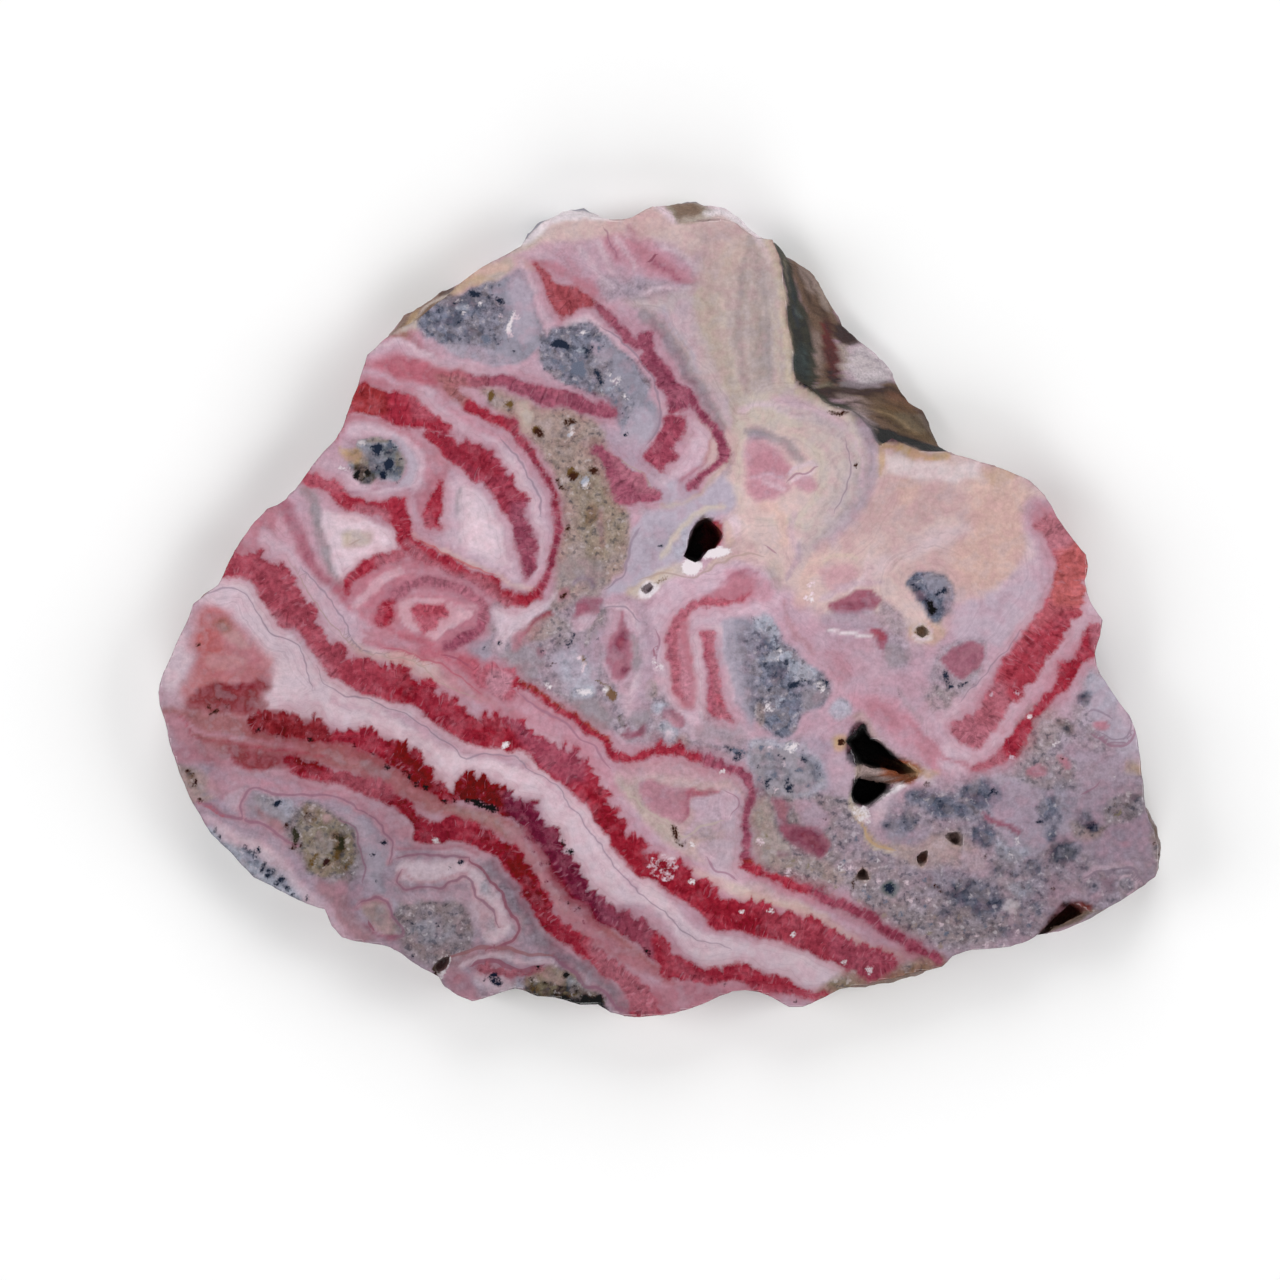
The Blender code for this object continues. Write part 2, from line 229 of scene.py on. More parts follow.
# How each colour's ground is built: grain, growth lines and cloudiness, 0 to 1
TEXTURES = {
    "oyster": (0.1, 0.7, 0.4),
    "shell": (0.2, 0.5, 0.4),
    "ivory": (0.1, 0.6, 0.4),
    "cobalt": (0.8, 0.0, 0.8),
    "dusk": (0.3, 0.4, 0.6),
    "milk": (0.1, 0.8, 0.5),
    "pale": (0.15, 0.7, 0.6),
    "pink": (0.2, 0.5, 0.7),
    "mist": (0.1, 0.3, 0.3),
    "lilac": (0.25, 0.5, 0.6),
    "haze": (0.7, 0.2, 0.9),
    "slate": (1.0, 0.0, 0.9),
    "steel": (0.25, 0.0, 0.4),
    "storm": (1.0, 0.0, 1.0),
    "silver": (0.7, 0.0, 0.7),
    "peach": (0.1, 0.5, 0.6),
    "blush": (0.1, 0.5, 0.6),
    "sand": (0.8, 0.0, 1.0),
    "moss": (0.8, 0.0, 1.0),
    "matrix": (1.0, 0.0, 1.0),
    "tan": (0.45, 0.1, 0.8),
    "bark": (1.0, 0.1, 1.0),
    "grime": (1.0, 0.0, 1.0),
    "olive": (0.9, 0.0, 1.0),
    "beige": (0.1, 0.6, 0.4),
}
PLAIN = (0.2, 0.2, 0.7)                # the same for every other colour


# ---------------------------------------------------------------------------------------------------------
# Drawing the stone's pattern on the points of its surface
# ---------------------------------------------------------------------------------------------------------

def through(points, closed):
    """A smooth polyline through the points, in sheet millimetres."""
    knots = np.array(points, float)
    if closed:
        knots = np.vstack((knots[-1:], knots, knots[:2]))
    else:
        knots = np.vstack((2 * knots[:1] - knots[1:2], knots, 2 * knots[-1:] - knots[-2:-1]))
    before, start, end, after = knots[:-3], knots[1:-2], knots[2:-1], knots[3:]
    spans = [
        0.5 * (2 * start + (end - before) * t + (2 * before - 5 * start + 4 * end - after) * t ** 2
               + (3 * start - before - 3 * end + after) * t ** 3)
        for t in np.arange(CURVE_STEPS) / CURVE_STEPS
    ]
    line = np.stack(spans, axis=1).reshape(-1, 2)
    return np.vstack((line, line[:1] if closed else knots[-2:-1]))


def nearest_on(line, spots):
    """For each spot: distance to a polyline, run along it to the nearest place, and the way out."""
    start, step = line[:-1], np.diff(line, axis=0)
    length = np.maximum(np.hypot(step[:, 0], step[:, 1]), NO_LENGTH)
    run_to = np.concatenate(([0.0], np.cumsum(length)[:-1]))
    distance, run, way_x, way_y = np.empty((4, len(spots)))
    for first in range(0, len(spots), SPOTS_AT_ONCE):
        part = slice(first, first + SPOTS_AT_ONCE)
        away_x = spots[part, None, 0] - start[None, :, 0]
        away_y = spots[part, None, 1] - start[None, :, 1]
        share = np.clip((away_x * step[:, 0] + away_y * step[:, 1]) / length ** 2, 0.0, 1.0)
        away_x -= share * step[:, 0]
        away_y -= share * step[:, 1]
        gap = np.hypot(away_x, away_y)
        best = gap.argmin(axis=1)
        row = np.arange(len(best))
        distance[part] = gap[row, best]
        run[part] = run_to[best] + share[row, best] * length[best]
        way_x[part] = away_x[row, best]
        way_y[part] = away_y[row, best]
    return distance, run, np.column_stack((way_x, way_y)) / np.maximum(distance, NO_GAP)[:, None]


def inside(line, spots):
    """Which spots a closed polyline goes round."""
    within = np.zeros(len(spots), bool)
    for (x0, y0), (x1, y1) in zip(line[:-1], line[1:]):
        if y0 == y1:
            continue
        crosses = (y0 > spots[:, 1]) != (y1 > spots[:, 1])
        meets = (x1 - x0) * (spots[:, 1] - y0) / (y1 - y0) + x0
        within ^= crosses & (spots[:, 0] < meets)
    return within


def wobble(spots, wavelength, seed):
    """Smooth seeded waves over the sheet, about -1 to 1."""
    chance = np.random.default_rng(seed)
    total = np.zeros(len(spots))
    for _ in range(WAVES):
        heading, phase = chance.uniform(0, 2 * np.pi, 2)
        pitch = 2 * np.pi / (wavelength * chance.uniform(*WAVE_SPREAD))
        total += np.sin(pitch * (spots[:, 0] * np.cos(heading) + spots[:, 1] * np.sin(heading)) + phase)
    return total / np.sqrt(WAVES / 2)


def within_edge(depth, soft):
    """0 outside an edge and 1 inside it, with a smooth ramp of that width across it."""
    share = np.clip(0.5 + depth / soft, 0.0, 1.0)
    return share * share * (3 - 2 * share)


class Stone:
    """The pattern as colours and distances at the points of the surface. Later strokes cover earlier ones."""

    def __init__(self, spots, colours, body):
        count = len(spots)
        self.colours = colours
        shift = [
            sum(size * wobble(spots, reach, seed + axis) for reach, size, seed in WANDER)
            for axis in (0, 1)
        ]
        self.spots = spots + np.column_stack(shift)
        self.ground = self.filled(body, count)
        self.texture = np.tile(np.array(TEXTURES.get(body, PLAIN), float), (count, 1))
        self.band_colour = self.filled("crimson", count)
        self.band_form = np.tile((-FAR, 0.0, 0.0), (count, 1))
        self.speck_colour = self.filled("black", count)
        self.speck_depth = np.full(count, -FAR)
        self.line_colour = self.filled("mauve", count)
        self.line_form = np.tile((FAR, FAR, LINE_HALF), (count, 1))
        self.growth = np.full(count, RING_REACH)
        self.walls = np.zeros(count)

    def filled(self, colour, count):
        """A canvas of one colour."""
        return np.tile(np.array(self.colours[colour], float), (count, 1))

    def near(self, line, reach):
        """The spots within reach of a line's box."""
        low, high = line.min(axis=0) - reach, line.max(axis=0) + reach
        x, y = self.spots.T
        return np.nonzero((x > low[0]) & (x < high[0]) & (y > low[1]) & (y < high[1]))[0]

    def in_area(self, points, reach):
        """Spots near an area, how deep each lies in it (less than 0 outside), and the run along its edge."""
        line = through(points, closed=True)
        found = self.near(line, reach)
        distance, run, way = nearest_on(line, self.spots[found])
        depth = np.where(inside(line, self.spots[found]), distance, -distance)
        self.outward = -np.sign(depth)[:, None] * way
        return found, depth, run

    def in_stroke(self, width, points, reach):
        """The same for a stroke, whose width is one number or a list from its start to its end."""
        line = through(points, closed=False)
        found = self.near(line, reach + np.max(width))
        distance, run, self.outward = nearest_on(line, self.spots[found])
        widths = np.atleast_1d(width)
        total = np.hypot(*np.diff(line, axis=0).T).sum()
        half = np.interp(run / total, np.linspace(0, 1, len(widths)), widths) / 2
        return found, half - distance, run

    def cover(self, canvas, found, colour, share):
        """Takes a canvas towards a colour at the spots found, by each one's share."""
        canvas[found] += (np.array(self.colours[colour]) - canvas[found]) * share[:, None]

    def lay(self, colour, soft, found, depth, strength, rings):
        """Lays a soft-edged colour and its texture on the ground."""
        share = strength * within_edge(depth, soft)
        self.cover(self.ground, found, colour, share)
        self.texture[found] += (np.array(TEXTURES.get(colour, PLAIN)) - self.texture[found]) * share[:, None]
        if rings:
            self.growth[found] = np.minimum(self.growth[found], np.abs(depth))

    def wash(self, colour, soft, points, strength=1.0, rings=False):
        """A soft-edged area of the ground; growth lines follow its edge if it has rings."""
        found, depth, _ = self.in_area(points, RING_REACH if rings else soft)
        self.lay(colour, soft, found, depth, strength, rings)

    def brush(self, colour, soft, width, points, strength=1.0, rings=False):
        """A soft-edged stroke on the ground."""
        found, depth, _ = self.in_stroke(width, points, RING_REACH if rings else soft)
        self.lay(colour, soft, found, depth, strength, rings)

    def shade(self, factor, soft, points):
        """A soft-edged area where every colour is darker or lighter by a factor."""
        found, depth, _ = self.in_area(points, soft)
        share = within_edge(depth, soft)[:, None]
        for canvas in (self.ground, self.band_colour, self.line_colour, self.speck_colour):
            canvas[found] *= 1 + (factor - 1) * share

    def lay_band(self, colour, teeth, found, depth, run):
        """Lays a band of crystals, whose teeth are highest where its edge faces the way of growth."""
        self.cover(self.band_colour, found, colour, within_edge(depth + BAND_MARGIN, BAND_BLEND))
        nearer = depth > self.band_form[found, 0]
        facing = self.outward @ np.array(GROWTH_WAY)
        teeth = teeth * np.clip(TEETH_ASIDE + TEETH_TURN * facing, TEETH_LEAST, 1.0)
        self.band_form[found[nearer]] = np.column_stack((depth, run, teeth))[nearer]
        self.growth[found] = np.minimum(self.growth[found], np.abs(depth))

    def band(self, colour, teeth, points):
        """A crisp band of crystals, drawn as an area, with teeth of that height in mm along its edge."""
        self.lay_band(colour, teeth, *self.in_area(points, RING_REACH))

    def ribbon(self, colour, teeth, width, points):
        """A crisp band of crystals, drawn as a stroke."""
        self.lay_band(colour, teeth, *self.in_stroke(width, points, RING_REACH))

    def tint(self, colour, soft, points, strength=1.0):
        """A soft-edged area of another colour within the bands."""
        found, depth, _ = self.in_area(points, soft)
        self.cover(self.band_colour, found, colour, strength * within_edge(depth, soft))

    def streak(self, colour, soft, width, points, strength=1.0):
        """A soft-edged stroke of another colour within the bands."""
        found, depth, _ = self.in_stroke(width, points, soft)
        self.cover(self.band_colour, found, colour, strength * within_edge(depth, soft))

    def line(self, colour, width, points):
        """A fine crisp line on the ground."""
        path = through(points, closed=False)
        found = self.near(path, LINE_REACH)
        distance, run, way = nearest_on(path, self.spots[found])
        steps = np.diff(path, axis=0)
        run_to = np.cumsum(np.hypot(*steps.T))
        total = run_to[-1]
        ahead = steps[np.minimum(np.searchsorted(run_to, run), len(steps) - 1)]
        side = np.where(ahead[:, 0] * way[:, 1] >= ahead[:, 1] * way[:, 0], 1.0, -1.0)
        nearer = distance < self.line_form[found, 1]
        to_end = np.minimum(run, total - run) / total
        half = width / 2 * np.clip(LINE_TAPER * to_end + LINE_END, 0.0, 1.0)
        self.line_form[found[nearer]] = np.column_stack((side * distance, distance, half))[nearer]
        self.cover(self.line_colour, found[nearer], colour, np.ones(nearer.sum()))

    def rind(self, points, depth_shade=0.0):
        """Marks an area whose walls keep the ground's own colours; a depth shade above 0 adds painted shade
        that deepens with depth.
        """
        found, depth, _ = self.in_area(points, LINE_REACH)
        self.walls[found[depth > -HOLLOW_LIP]] = (1.0 + depth_shade) / 2

    def sink(self, points):
        """Marks an area whose walls are those of a hollow, with painted shade that deepens with depth."""
        self.rind(points, 1.0)

    def spot(self, colour, size, *centres):
        """Small crisp grains of that size at each centre."""
        for centre in centres:
            gap = self.spots - np.array(centre)
            found = np.nonzero(np.abs(gap).max(axis=1) < size + LINE_REACH)[0]
            self.lay_grain(colour, found, size / 2 - np.hypot(*gap[found].T))

    def grain(self, colour, points):
        """A crisp grain or chip, drawn as an area."""
        found, depth, _ = self.in_area(points, LINE_REACH)
        self.lay_grain(colour, found, depth)

    def thread(self, colour, width, points):
        """A crisp dark or pale seam on top of everything."""
        found, depth, _ = self.in_stroke(width, points, LINE_REACH)
        self.lay_grain(colour, found, depth)

    def lay_grain(self, colour, found, depth):
        """Lays a crisp grain on top of everything."""
        self.cover(self.speck_colour, found, colour, within_edge(depth + GRAIN_BLEND, GRAIN_BLEND))
        self.speck_depth[found] = np.maximum(self.speck_depth[found], depth)


# ---------------------------------------------------------------------------------------------------------
# The pattern, region by region
# ---------------------------------------------------------------------------------------------------------

def lay_out_ground(stone):
    """The broad soft colours that everything else is drawn on."""
    stone.wash("peach", 3.0, [
        (70, 42), (78, 39.5), (87, 43), (96, 45), (104, 48.5), (106.5, 52), (105, 56), (101, 59), (96, 60),
        (93, 64), (88, 64.5), (82, 62), (78, 60), (74, 56), (72.5, 50), (70.5, 47)])
    stone.wash("blush", 2.0, [
        (85, 50), (90, 49), (96, 50), (101, 50), (104, 52), (102, 56), (97, 60), (90, 58), (86, 56),
        (83, 54)])
    stone.wash("apricot", 1.8, [
        (97, 48), (101, 47.5), (103, 50), (102, 55), (100, 58.5), (96.5, 58.5), (95, 56),
        (97, 52)], strength=0.7)
    stone.wash("peach", 1.2, [(86, 54), (90, 52), (95, 51.5), (96, 53.5), (92, 55.5), (89, 57.5), (86, 57)])
    stone.brush("milk", 1.2, 1.6, [(86.4, 57.6), (89, 56), (92.5, 54.2), (96.5, 53)], strength=0.45)
    stone.brush("milk", 0.9, 1.4, [(99, 59.8), (101.4, 58.2), (103, 55.8), (103.4, 53.2)], strength=0.6)
    stone.brush("rose_mist", 0.9, 0.8, [(90.5, 50), (93.5, 50.6), (96, 49.6)], strength=0.3)
    stone.brush("apricot", 0.8, 1.0, [(88, 50.5), (90.5, 49.6), (93, 49.2)], strength=0.5)
    stone.wash("blush", 1.5, [(88, 48), (92, 47), (96, 49), (94, 52), (89, 52), (86.5, 50.5)])
    stone.wash("blush", 2.0, [(87, 51), (90.5, 50), (93, 52), (90, 56), (87, 54.5)], strength=0.5)
    stone.wash("haze", 2.5, [
        (75.5, 74.5), (83, 74.5), (85, 79), (88, 80), (96, 78), (101, 77), (106, 72), (110, 67), (113, 70),
        (115.5, 79), (116.8, 86), (113, 90.5), (108, 92.5), (100, 95), (93, 95.5), (89, 92), (82, 88),
        (75.5, 87)])
    stone.wash("lilac", 2.0, [
        (99, 78), (106, 79), (114, 79), (116, 84), (113, 86), (106, 85), (101, 83), (98, 80)])
    for points in (
        [(82, 63), (87, 62), (92, 65), (96, 69), (94, 72), (90, 70), (88, 72), (84, 70), (82, 67)],
        [(62, 59), (66, 57.5), (74, 56), (80, 60), (84, 65), (83, 72), (76, 74), (70, 73), (64, 73),
         (60, 70)],
    ):
        stone.wash("pink", 2.0, points)
    stone.wash("haze", 2.0, [
        (48, 60), (56, 60), (64, 60), (65, 68), (70, 70), (74, 73), (74, 76), (64, 74), (58, 70.5), (52, 68),
        (49, 65)])
    stone.wash("pale", 2.0, [(16, 69), (18, 64), (20, 60), (24, 59), (29, 64), (32, 70), (28, 71), (22, 69)])
    stone.wash("haze", 2.5, [
        (20, 80), (26, 80), (33, 80), (40, 85), (45, 86), (50, 87), (54, 94), (56, 98), (50, 100), (44, 98),
        (36, 94), (30, 89), (24, 86)])
    stone.wash("lilac", 2.0, [(38, 82), (44, 85), (52, 87), (56, 94), (52, 96), (44, 94), (38, 90)])
    stone.wash("rose", 2.0, [(66, 98.5), (74, 98.5), (78, 99.5), (74.5, 101), (70, 102), (64, 101.8)])
    stone.wash("beige", 2.5, [(68, 25), (74, 25), (79, 33), (79, 40), (74, 42), (70, 38), (67, 32)])
    stone.wash("peach", 1.5, [
        (52, 22.5), (60, 20.5), (68, 20.5), (74, 21.5), (77.5, 24), (74, 26), (64, 24), (56, 25.5),
        (53, 26.5)])


def paint_crown(stone):
    """The pale crown: peach rim, rose sprays and the cream curtains down to the swirl."""
    stone.wash("lilac", 1.5, [(56.5, 25.5), (61, 24.5), (69, 26), (74, 30), (70, 33), (65, 31), (60, 29)])
    stone.wash("pink", 0.8, [
        (50, 26.2), (52, 25.2), (54.5, 24), (57, 23.2), (60, 23.8), (62, 25), (64, 27), (62, 29), (60, 30),
        (58, 29), (56, 27.5), (54, 26.5), (52, 26.8)], strength=0.9)
    stone.wash("beige", 0.6, [
        (50.5, 24.8), (52, 23.5), (53.5, 22.6), (54, 23.6), (52.8, 24.8), (51.2, 25.6)], strength=0.8)
    stone.wash("blush", 0.6, [
        (50, 26.2), (51.5, 25.6), (53, 26.2), (53.4, 27.2), (52, 27), (50.5, 27.2)], strength=0.7)
    stone.wash("peach", 0.8, [
        (54.5, 22.6), (57, 21.8), (60, 21.8), (62, 21.4), (64, 20.6), (65.5, 20.4), (66.8, 21.2), (68, 22.2),
        (70, 22.6), (69, 23.6), (66, 23.4), (63, 23.8), (60, 23.6), (57, 24), (55, 24)])
    stone.wash("coral", 1.0, [
        (60, 22.2), (64, 21.2), (66.2, 21), (67.5, 22.4), (65, 23.2), (61.5, 23.4)], strength=0.16)
    stone.wash("blush", 0.8, [
        (70, 22.2), (72, 21.5), (74.2, 22.4), (74.6, 24), (72.6, 24.6), (70.4, 24)], strength=0.6)
    stone.wash("snow", 0.5, [
        (51.2, 24.8), (52.2, 22.8), (54, 21), (56, 20), (59, 19.6), (61, 20.4), (61.4, 21.8), (59, 21.9),
        (56.2, 22.1), (54.6, 22.7), (53.2, 24)], strength=0.9)
    # painted shade: a slate band along the outer edge of the first white rim bump
    stone.wash("slate", 0.3, [
        (50.8, 25), (51.8, 23.2), (53.4, 21.2), (55.6, 20), (59, 19.6), (60.8, 20.2), (61.4, 21.4),
        (60, 20.8), (58, 20.4), (56, 20.6), (54.4, 21.6), (52.8, 23.4)], strength=0.9)
    stone.wash("fleece", 0.6, [
        (65.5, 20.6), (66.4, 20.3), (67.4, 21), (68.2, 21.8), (67.6, 22.2), (66.4, 21.4)], strength=0.9)
    stone.wash("moss", 0.4, [
        (66.4, 19.6), (69, 19.4), (71.2, 20.2), (70.6, 21.2), (69.2, 22.4), (68, 22),
        (67, 20.8)], strength=0.9)
    stone.wash("bark", 0.3, [
        (67.2, 20), (69, 19.8), (70.2, 20.4), (69.4, 21.4), (68.6, 22), (67.8, 21.2)], strength=0.8)
    stone.wash("beige", 0.6, [(68.4, 21.4), (70, 21), (71.6, 20.8), (70.6, 21.8), (69, 22.2)], strength=0.8)
    stone.wash("fleece", 0.4, [
        (70, 19.6), (72.4, 19.8), (74.8, 21.2), (76.4, 23.2), (75, 22.8), (73.6, 21.2),
        (71.6, 20.6)], strength=0.8)
    # painted shade: a slate band along the outer edge of the second white rim bump
    stone.wash("slate", 0.3, [
        (66.2, 19.4), (70, 18.8), (73.4, 19.6), (76, 21.6), (78, 24), (77, 24), (75.2, 22), (73.2, 20.4),
        (70.4, 19.7), (68, 19.8)], strength=0.9)
    stone.wash("snow", 0.6, [
        (70.4, 20.6), (72.4, 20.4), (74.2, 21.2), (75.6, 22.4), (76.8, 23.6), (76.2, 24), (75, 23.2),
        (74, 22.2), (72.2, 21.2), (70.8, 21.2)], strength=0.9)
    for points in (
        [(50, 25.6), (51.6, 22.6), (53.6, 20.4), (56.2, 19.2), (60, 19), (61.6, 21.4), (60.4, 21.9),
         (58.6, 21.7), (56.2, 22), (54.6, 22.6), (53.2, 24), (51.6, 25.6)],
        [(65.2, 20), (66.4, 19), (70.4, 18.4), (74.2, 19.4), (77.2, 22.2), (78.6, 24.6), (76.8, 24.6),
         (75.2, 23.2), (73.6, 21.6), (71.4, 21), (69, 21.4), (67, 20.8)],
    ):
        stone.rind(points)
    stone.wash("rose_mist", 1.0, [
        (60, 24.2), (62.5, 23.4), (65, 24), (67.5, 25.6), (70, 27), (71.2, 28.4), (69, 28.8), (66, 28.2),
        (63.6, 27.2), (61.5, 26.2)], strength=0.8)
    stone.wash("rose", 0.6, [
        (62.6, 23.8), (64, 24.2), (65.5, 25.4), (66.8, 26.2), (68.4, 27.2), (69.4, 28.2), (67.6, 28.2),
        (65.5, 27.2), (64, 26.2)], strength=0.6)
    stone.wash("haze", 0.8, [
        (60, 27.8), (63, 27.8), (66, 28.2), (69, 28.6), (69, 29.6), (66, 29.8), (63, 30),
        (60.5, 30)], strength=0.7)
    stone.wash("pink", 0.8, [(69, 25.5), (71.2, 25), (72.2, 26.2), (71.6, 28), (70, 28)], strength=0.7)
    stone.brush("mauve", 0.3, 0.35, [(60.8, 23.8), (61.2, 24.8), (61.7, 26)], strength=0.6)
    stone.brush("rose", 0.4, 0.5, [(63, 22.8), (63.4, 23.8), (64, 24.8), (64.6, 25.8)], strength=0.6)
    stone.brush("rose", 0.4, 0.4, [(62, 24.6), (62.8, 25.6), (63.6, 26.4)], strength=0.5)
    stone.brush("mauve", 0.3, 0.55, [(65.5, 26.1), (66.3, 26.7), (67, 27.2), (67.8, 27.9)], strength=0.75)
    stone.brush("rose", 0.4, 0.5, [(64.8, 25), (65.8, 25.6), (66.8, 26.2)], strength=0.6)
    stone.line("plum", 0.2, [(64.9, 26.1), (65.3, 25.8), (65.8, 25.5)])
    stone.line("mauve_line", 0.15, [(60.4, 22.8), (61.1, 24), (61.6, 25.6)])
    stone.brush("rose", 0.5, 0.8, [(54.5, 26.2), (56, 26.9), (57.6, 28.1), (59.2, 29.4)], strength=0.7)
    stone.brush("rose", 0.4, 0.5, [(56, 25.5), (57.5, 26.8), (59, 28.4), (60.4, 29.8)], strength=0.5)
    stone.brush("haze", 0.4, 0.4, [(61.6, 28.4), (64, 29.2), (66.8, 29), (70, 28.4)], strength=0.5)
    stone.brush("haze", 0.4, 0.4, [(55.6, 25), (56.6, 26.2), (58, 27.6)], strength=0.4)
    stone.brush("milk", 0.3, 0.5, [(61.9, 24), (62.6, 25.2), (63.4, 26.8)], strength=0.6)
    stone.brush("milk", 0.4, 0.6, [(60, 24.4), (60.6, 25.8), (61.2, 27.2)], strength=0.6)
    stone.brush("milk", 0.4, 0.5, [(66.4, 24.8), (68.2, 25.4), (69.8, 26.8)], strength=0.7)
    stone.brush("milk", 0.4, 0.6, [(57.5, 24.6), (59, 26), (60, 27.6), (61.2, 28.8)], strength=0.5)
    stone.brush("milk", 0.3, 0.4, [(64, 29.2), (67, 28.8), (70, 29.2)], strength=0.6)
    stone.wash("oyster", 1.2, [
        (62.2, 30), (66, 29.4), (70, 28.6), (73, 27.2), (75.2, 25), (76.8, 25.6), (77.8, 29), (78.3, 33),
        (78.5, 38.2), (76, 40), (74.2, 42.5), (72.8, 42.8), (71.5, 40), (70, 37.4), (68.6, 34.4),
        (66.8, 31.6), (64.5, 31)])
    stone.wash("blush", 0.8, [
        (70.5, 23.6), (73.5, 23.6), (75, 25.2), (74.6, 29), (73, 30), (71.2, 30), (70.4, 28)], strength=0.4)
    stone.brush("shell", 0.4, 1.0, [
        (75.1, 24), (75.7, 26.2), (75.8, 29), (75.5, 32), (75.4, 35), (75.7, 38.2)])
    stone.brush("haze", 0.4, 0.6, [(75.3, 25), (75.8, 27.5), (75.7, 30)], strength=0.5)
    stone.brush("shell", 0.4, 1.0, [(74.4, 26.2), (74.3, 30), (73.8, 33), (74.1, 35.8), (74.5, 38.8)])
    stone.brush("fog", 0.3, 0.5, [(74, 32), (73.9, 34), (74.2, 36.4)], strength=0.5)
    stone.brush("beige", 0.5, 1.6, [
        (70.2, 29.6), (70.8, 32.5), (71.8, 35), (72.9, 37.5), (73.7, 40), (74.1, 42.8)])
    stone.brush("tan", 0.4, 0.7, [(70.4, 30), (70.9, 32.5), (71.8, 34.8)], strength=0.35)
    stone.brush("ivory", 0.4, 0.6, [
        (71.8, 29.6), (72.5, 33), (73.2, 35.8), (74, 38.6), (74.2, 41)], strength=0.8)
    stone.brush("oyster", 0.4, 0.5, [(73.4, 29), (73.1, 33), (73.6, 36), (74.2, 38.4)], strength=0.9)
    stone.wash("pale", 0.5, [
        (67.6, 30), (69.4, 30.6), (70, 33), (71.2, 36), (72.4, 39.2), (73.2, 42.5), (72, 41.2), (70.4, 38),
        (68.8, 34.6), (67.4, 32)], strength=0.5)
    stone.brush("sand", 0.6, 0.7, [(63.6, 30.6), (65, 31.2), (66, 32.2)], strength=0.4)
    stone.brush("fog", 0.6, 1.3, [
        (64.6, 31.8), (66, 32.8), (67.2, 34.6), (68.4, 36.4), (69.8, 38.6), (71, 40.8),
        (72, 43)], strength=0.85)
    stone.brush("dusk", 0.4, 0.6, [
        (65.2, 32.2), (66.2, 33.6), (67.2, 35), (68.4, 36.8), (69.4, 38.4)], strength=0.6)
    stone.brush("haze", 0.4, 0.5, [(70, 39.2), (71, 41), (72, 43.2), (72.6, 44.2)], strength=0.6)
    stone.brush("mist", 0.3, 0.4, [(66.2, 30.8), (67.4, 32.8), (68.8, 35), (70, 37.2)], strength=0.7)
    stone.wash("fog", 0.3, [
        (75.7, 32.6), (76.6, 31.8), (77.2, 34), (77.2, 36.6), (76.4, 37.8), (75.6, 36.2)], strength=0.9)
    stone.wash("steel", 0.3, [(76.2, 33.6), (76.9, 33.4), (77, 35.6), (76.4, 36.2)], strength=0.5)
    stone.brush("ivory", 0.3, 0.5, [(76.6, 30), (77.4, 32.2), (77.8, 35), (77.9, 38.4)], strength=0.8)
    stone.brush("ivory", 0.4, 0.8, [
        (76.4, 24), (77.2, 26), (77.8, 28.4), (78.3, 31), (78.7, 33.5), (79, 35.8), (79, 38.4)], strength=0.9)
    stone.brush("ochre", 0.3, 0.3, [
        (77.4, 24), (77.9, 26.2), (78.4, 29), (78.9, 32), (79.2, 35), (79.3, 38)], strength=0.5)
    stone.brush("fleece", 0.4, 0.5, [(75.6, 23.2), (76.4, 24.6), (76.8, 26.2)], strength=0.8)
    stone.brush("oyster", 0.4, 0.6, [(76.2, 25.2), (76.8, 27.4), (77, 29.6)], strength=0.7)
    stone.wash("shell", 2.0, [
        (70, 22.2), (74, 22.2), (76.4, 24), (77.8, 29), (78.2, 33), (78.4, 37.8), (76, 42), (73, 42.8),
        (71.2, 40), (70, 35), (69, 30), (69, 25)], strength=0.28)
    stone.wash("cream", 1.4, [
        (70, 26.2), (74.5, 23.6), (77.6, 26.2), (78.6, 32), (79.2, 38.4), (74, 39.6), (70.4, 38),
        (69.6, 32)], strength=0.28)
    stone.brush("beige", 0.5, 0.7, [(70.8, 27.6), (71.4, 31), (72, 34.5), (73.2, 38.8)], strength=0.5)
    stone.brush("shell", 0.3, 0.5, [
        (74.4, 25.8), (74.1, 29), (73.9, 32), (74.1, 35.2), (74.4, 38.4)], strength=0.5)
    stone.brush("fog", 0.4, 0.5, [
        (76.2, 27), (76.6, 30), (76.8, 33), (77, 36.2), (77.2, 38.4)], strength=0.35)
    stone.brush("moss", 0.5, 0.4, [(75.6, 32.2), (76, 34.8), (76.2, 37.6)], strength=0.16)
    stone.brush("cream", 0.3, 0.6, [
        (76.9, 24.2), (77.7, 26.6), (78.3, 30), (78.6, 34), (79.1, 38.4)], strength=0.75)


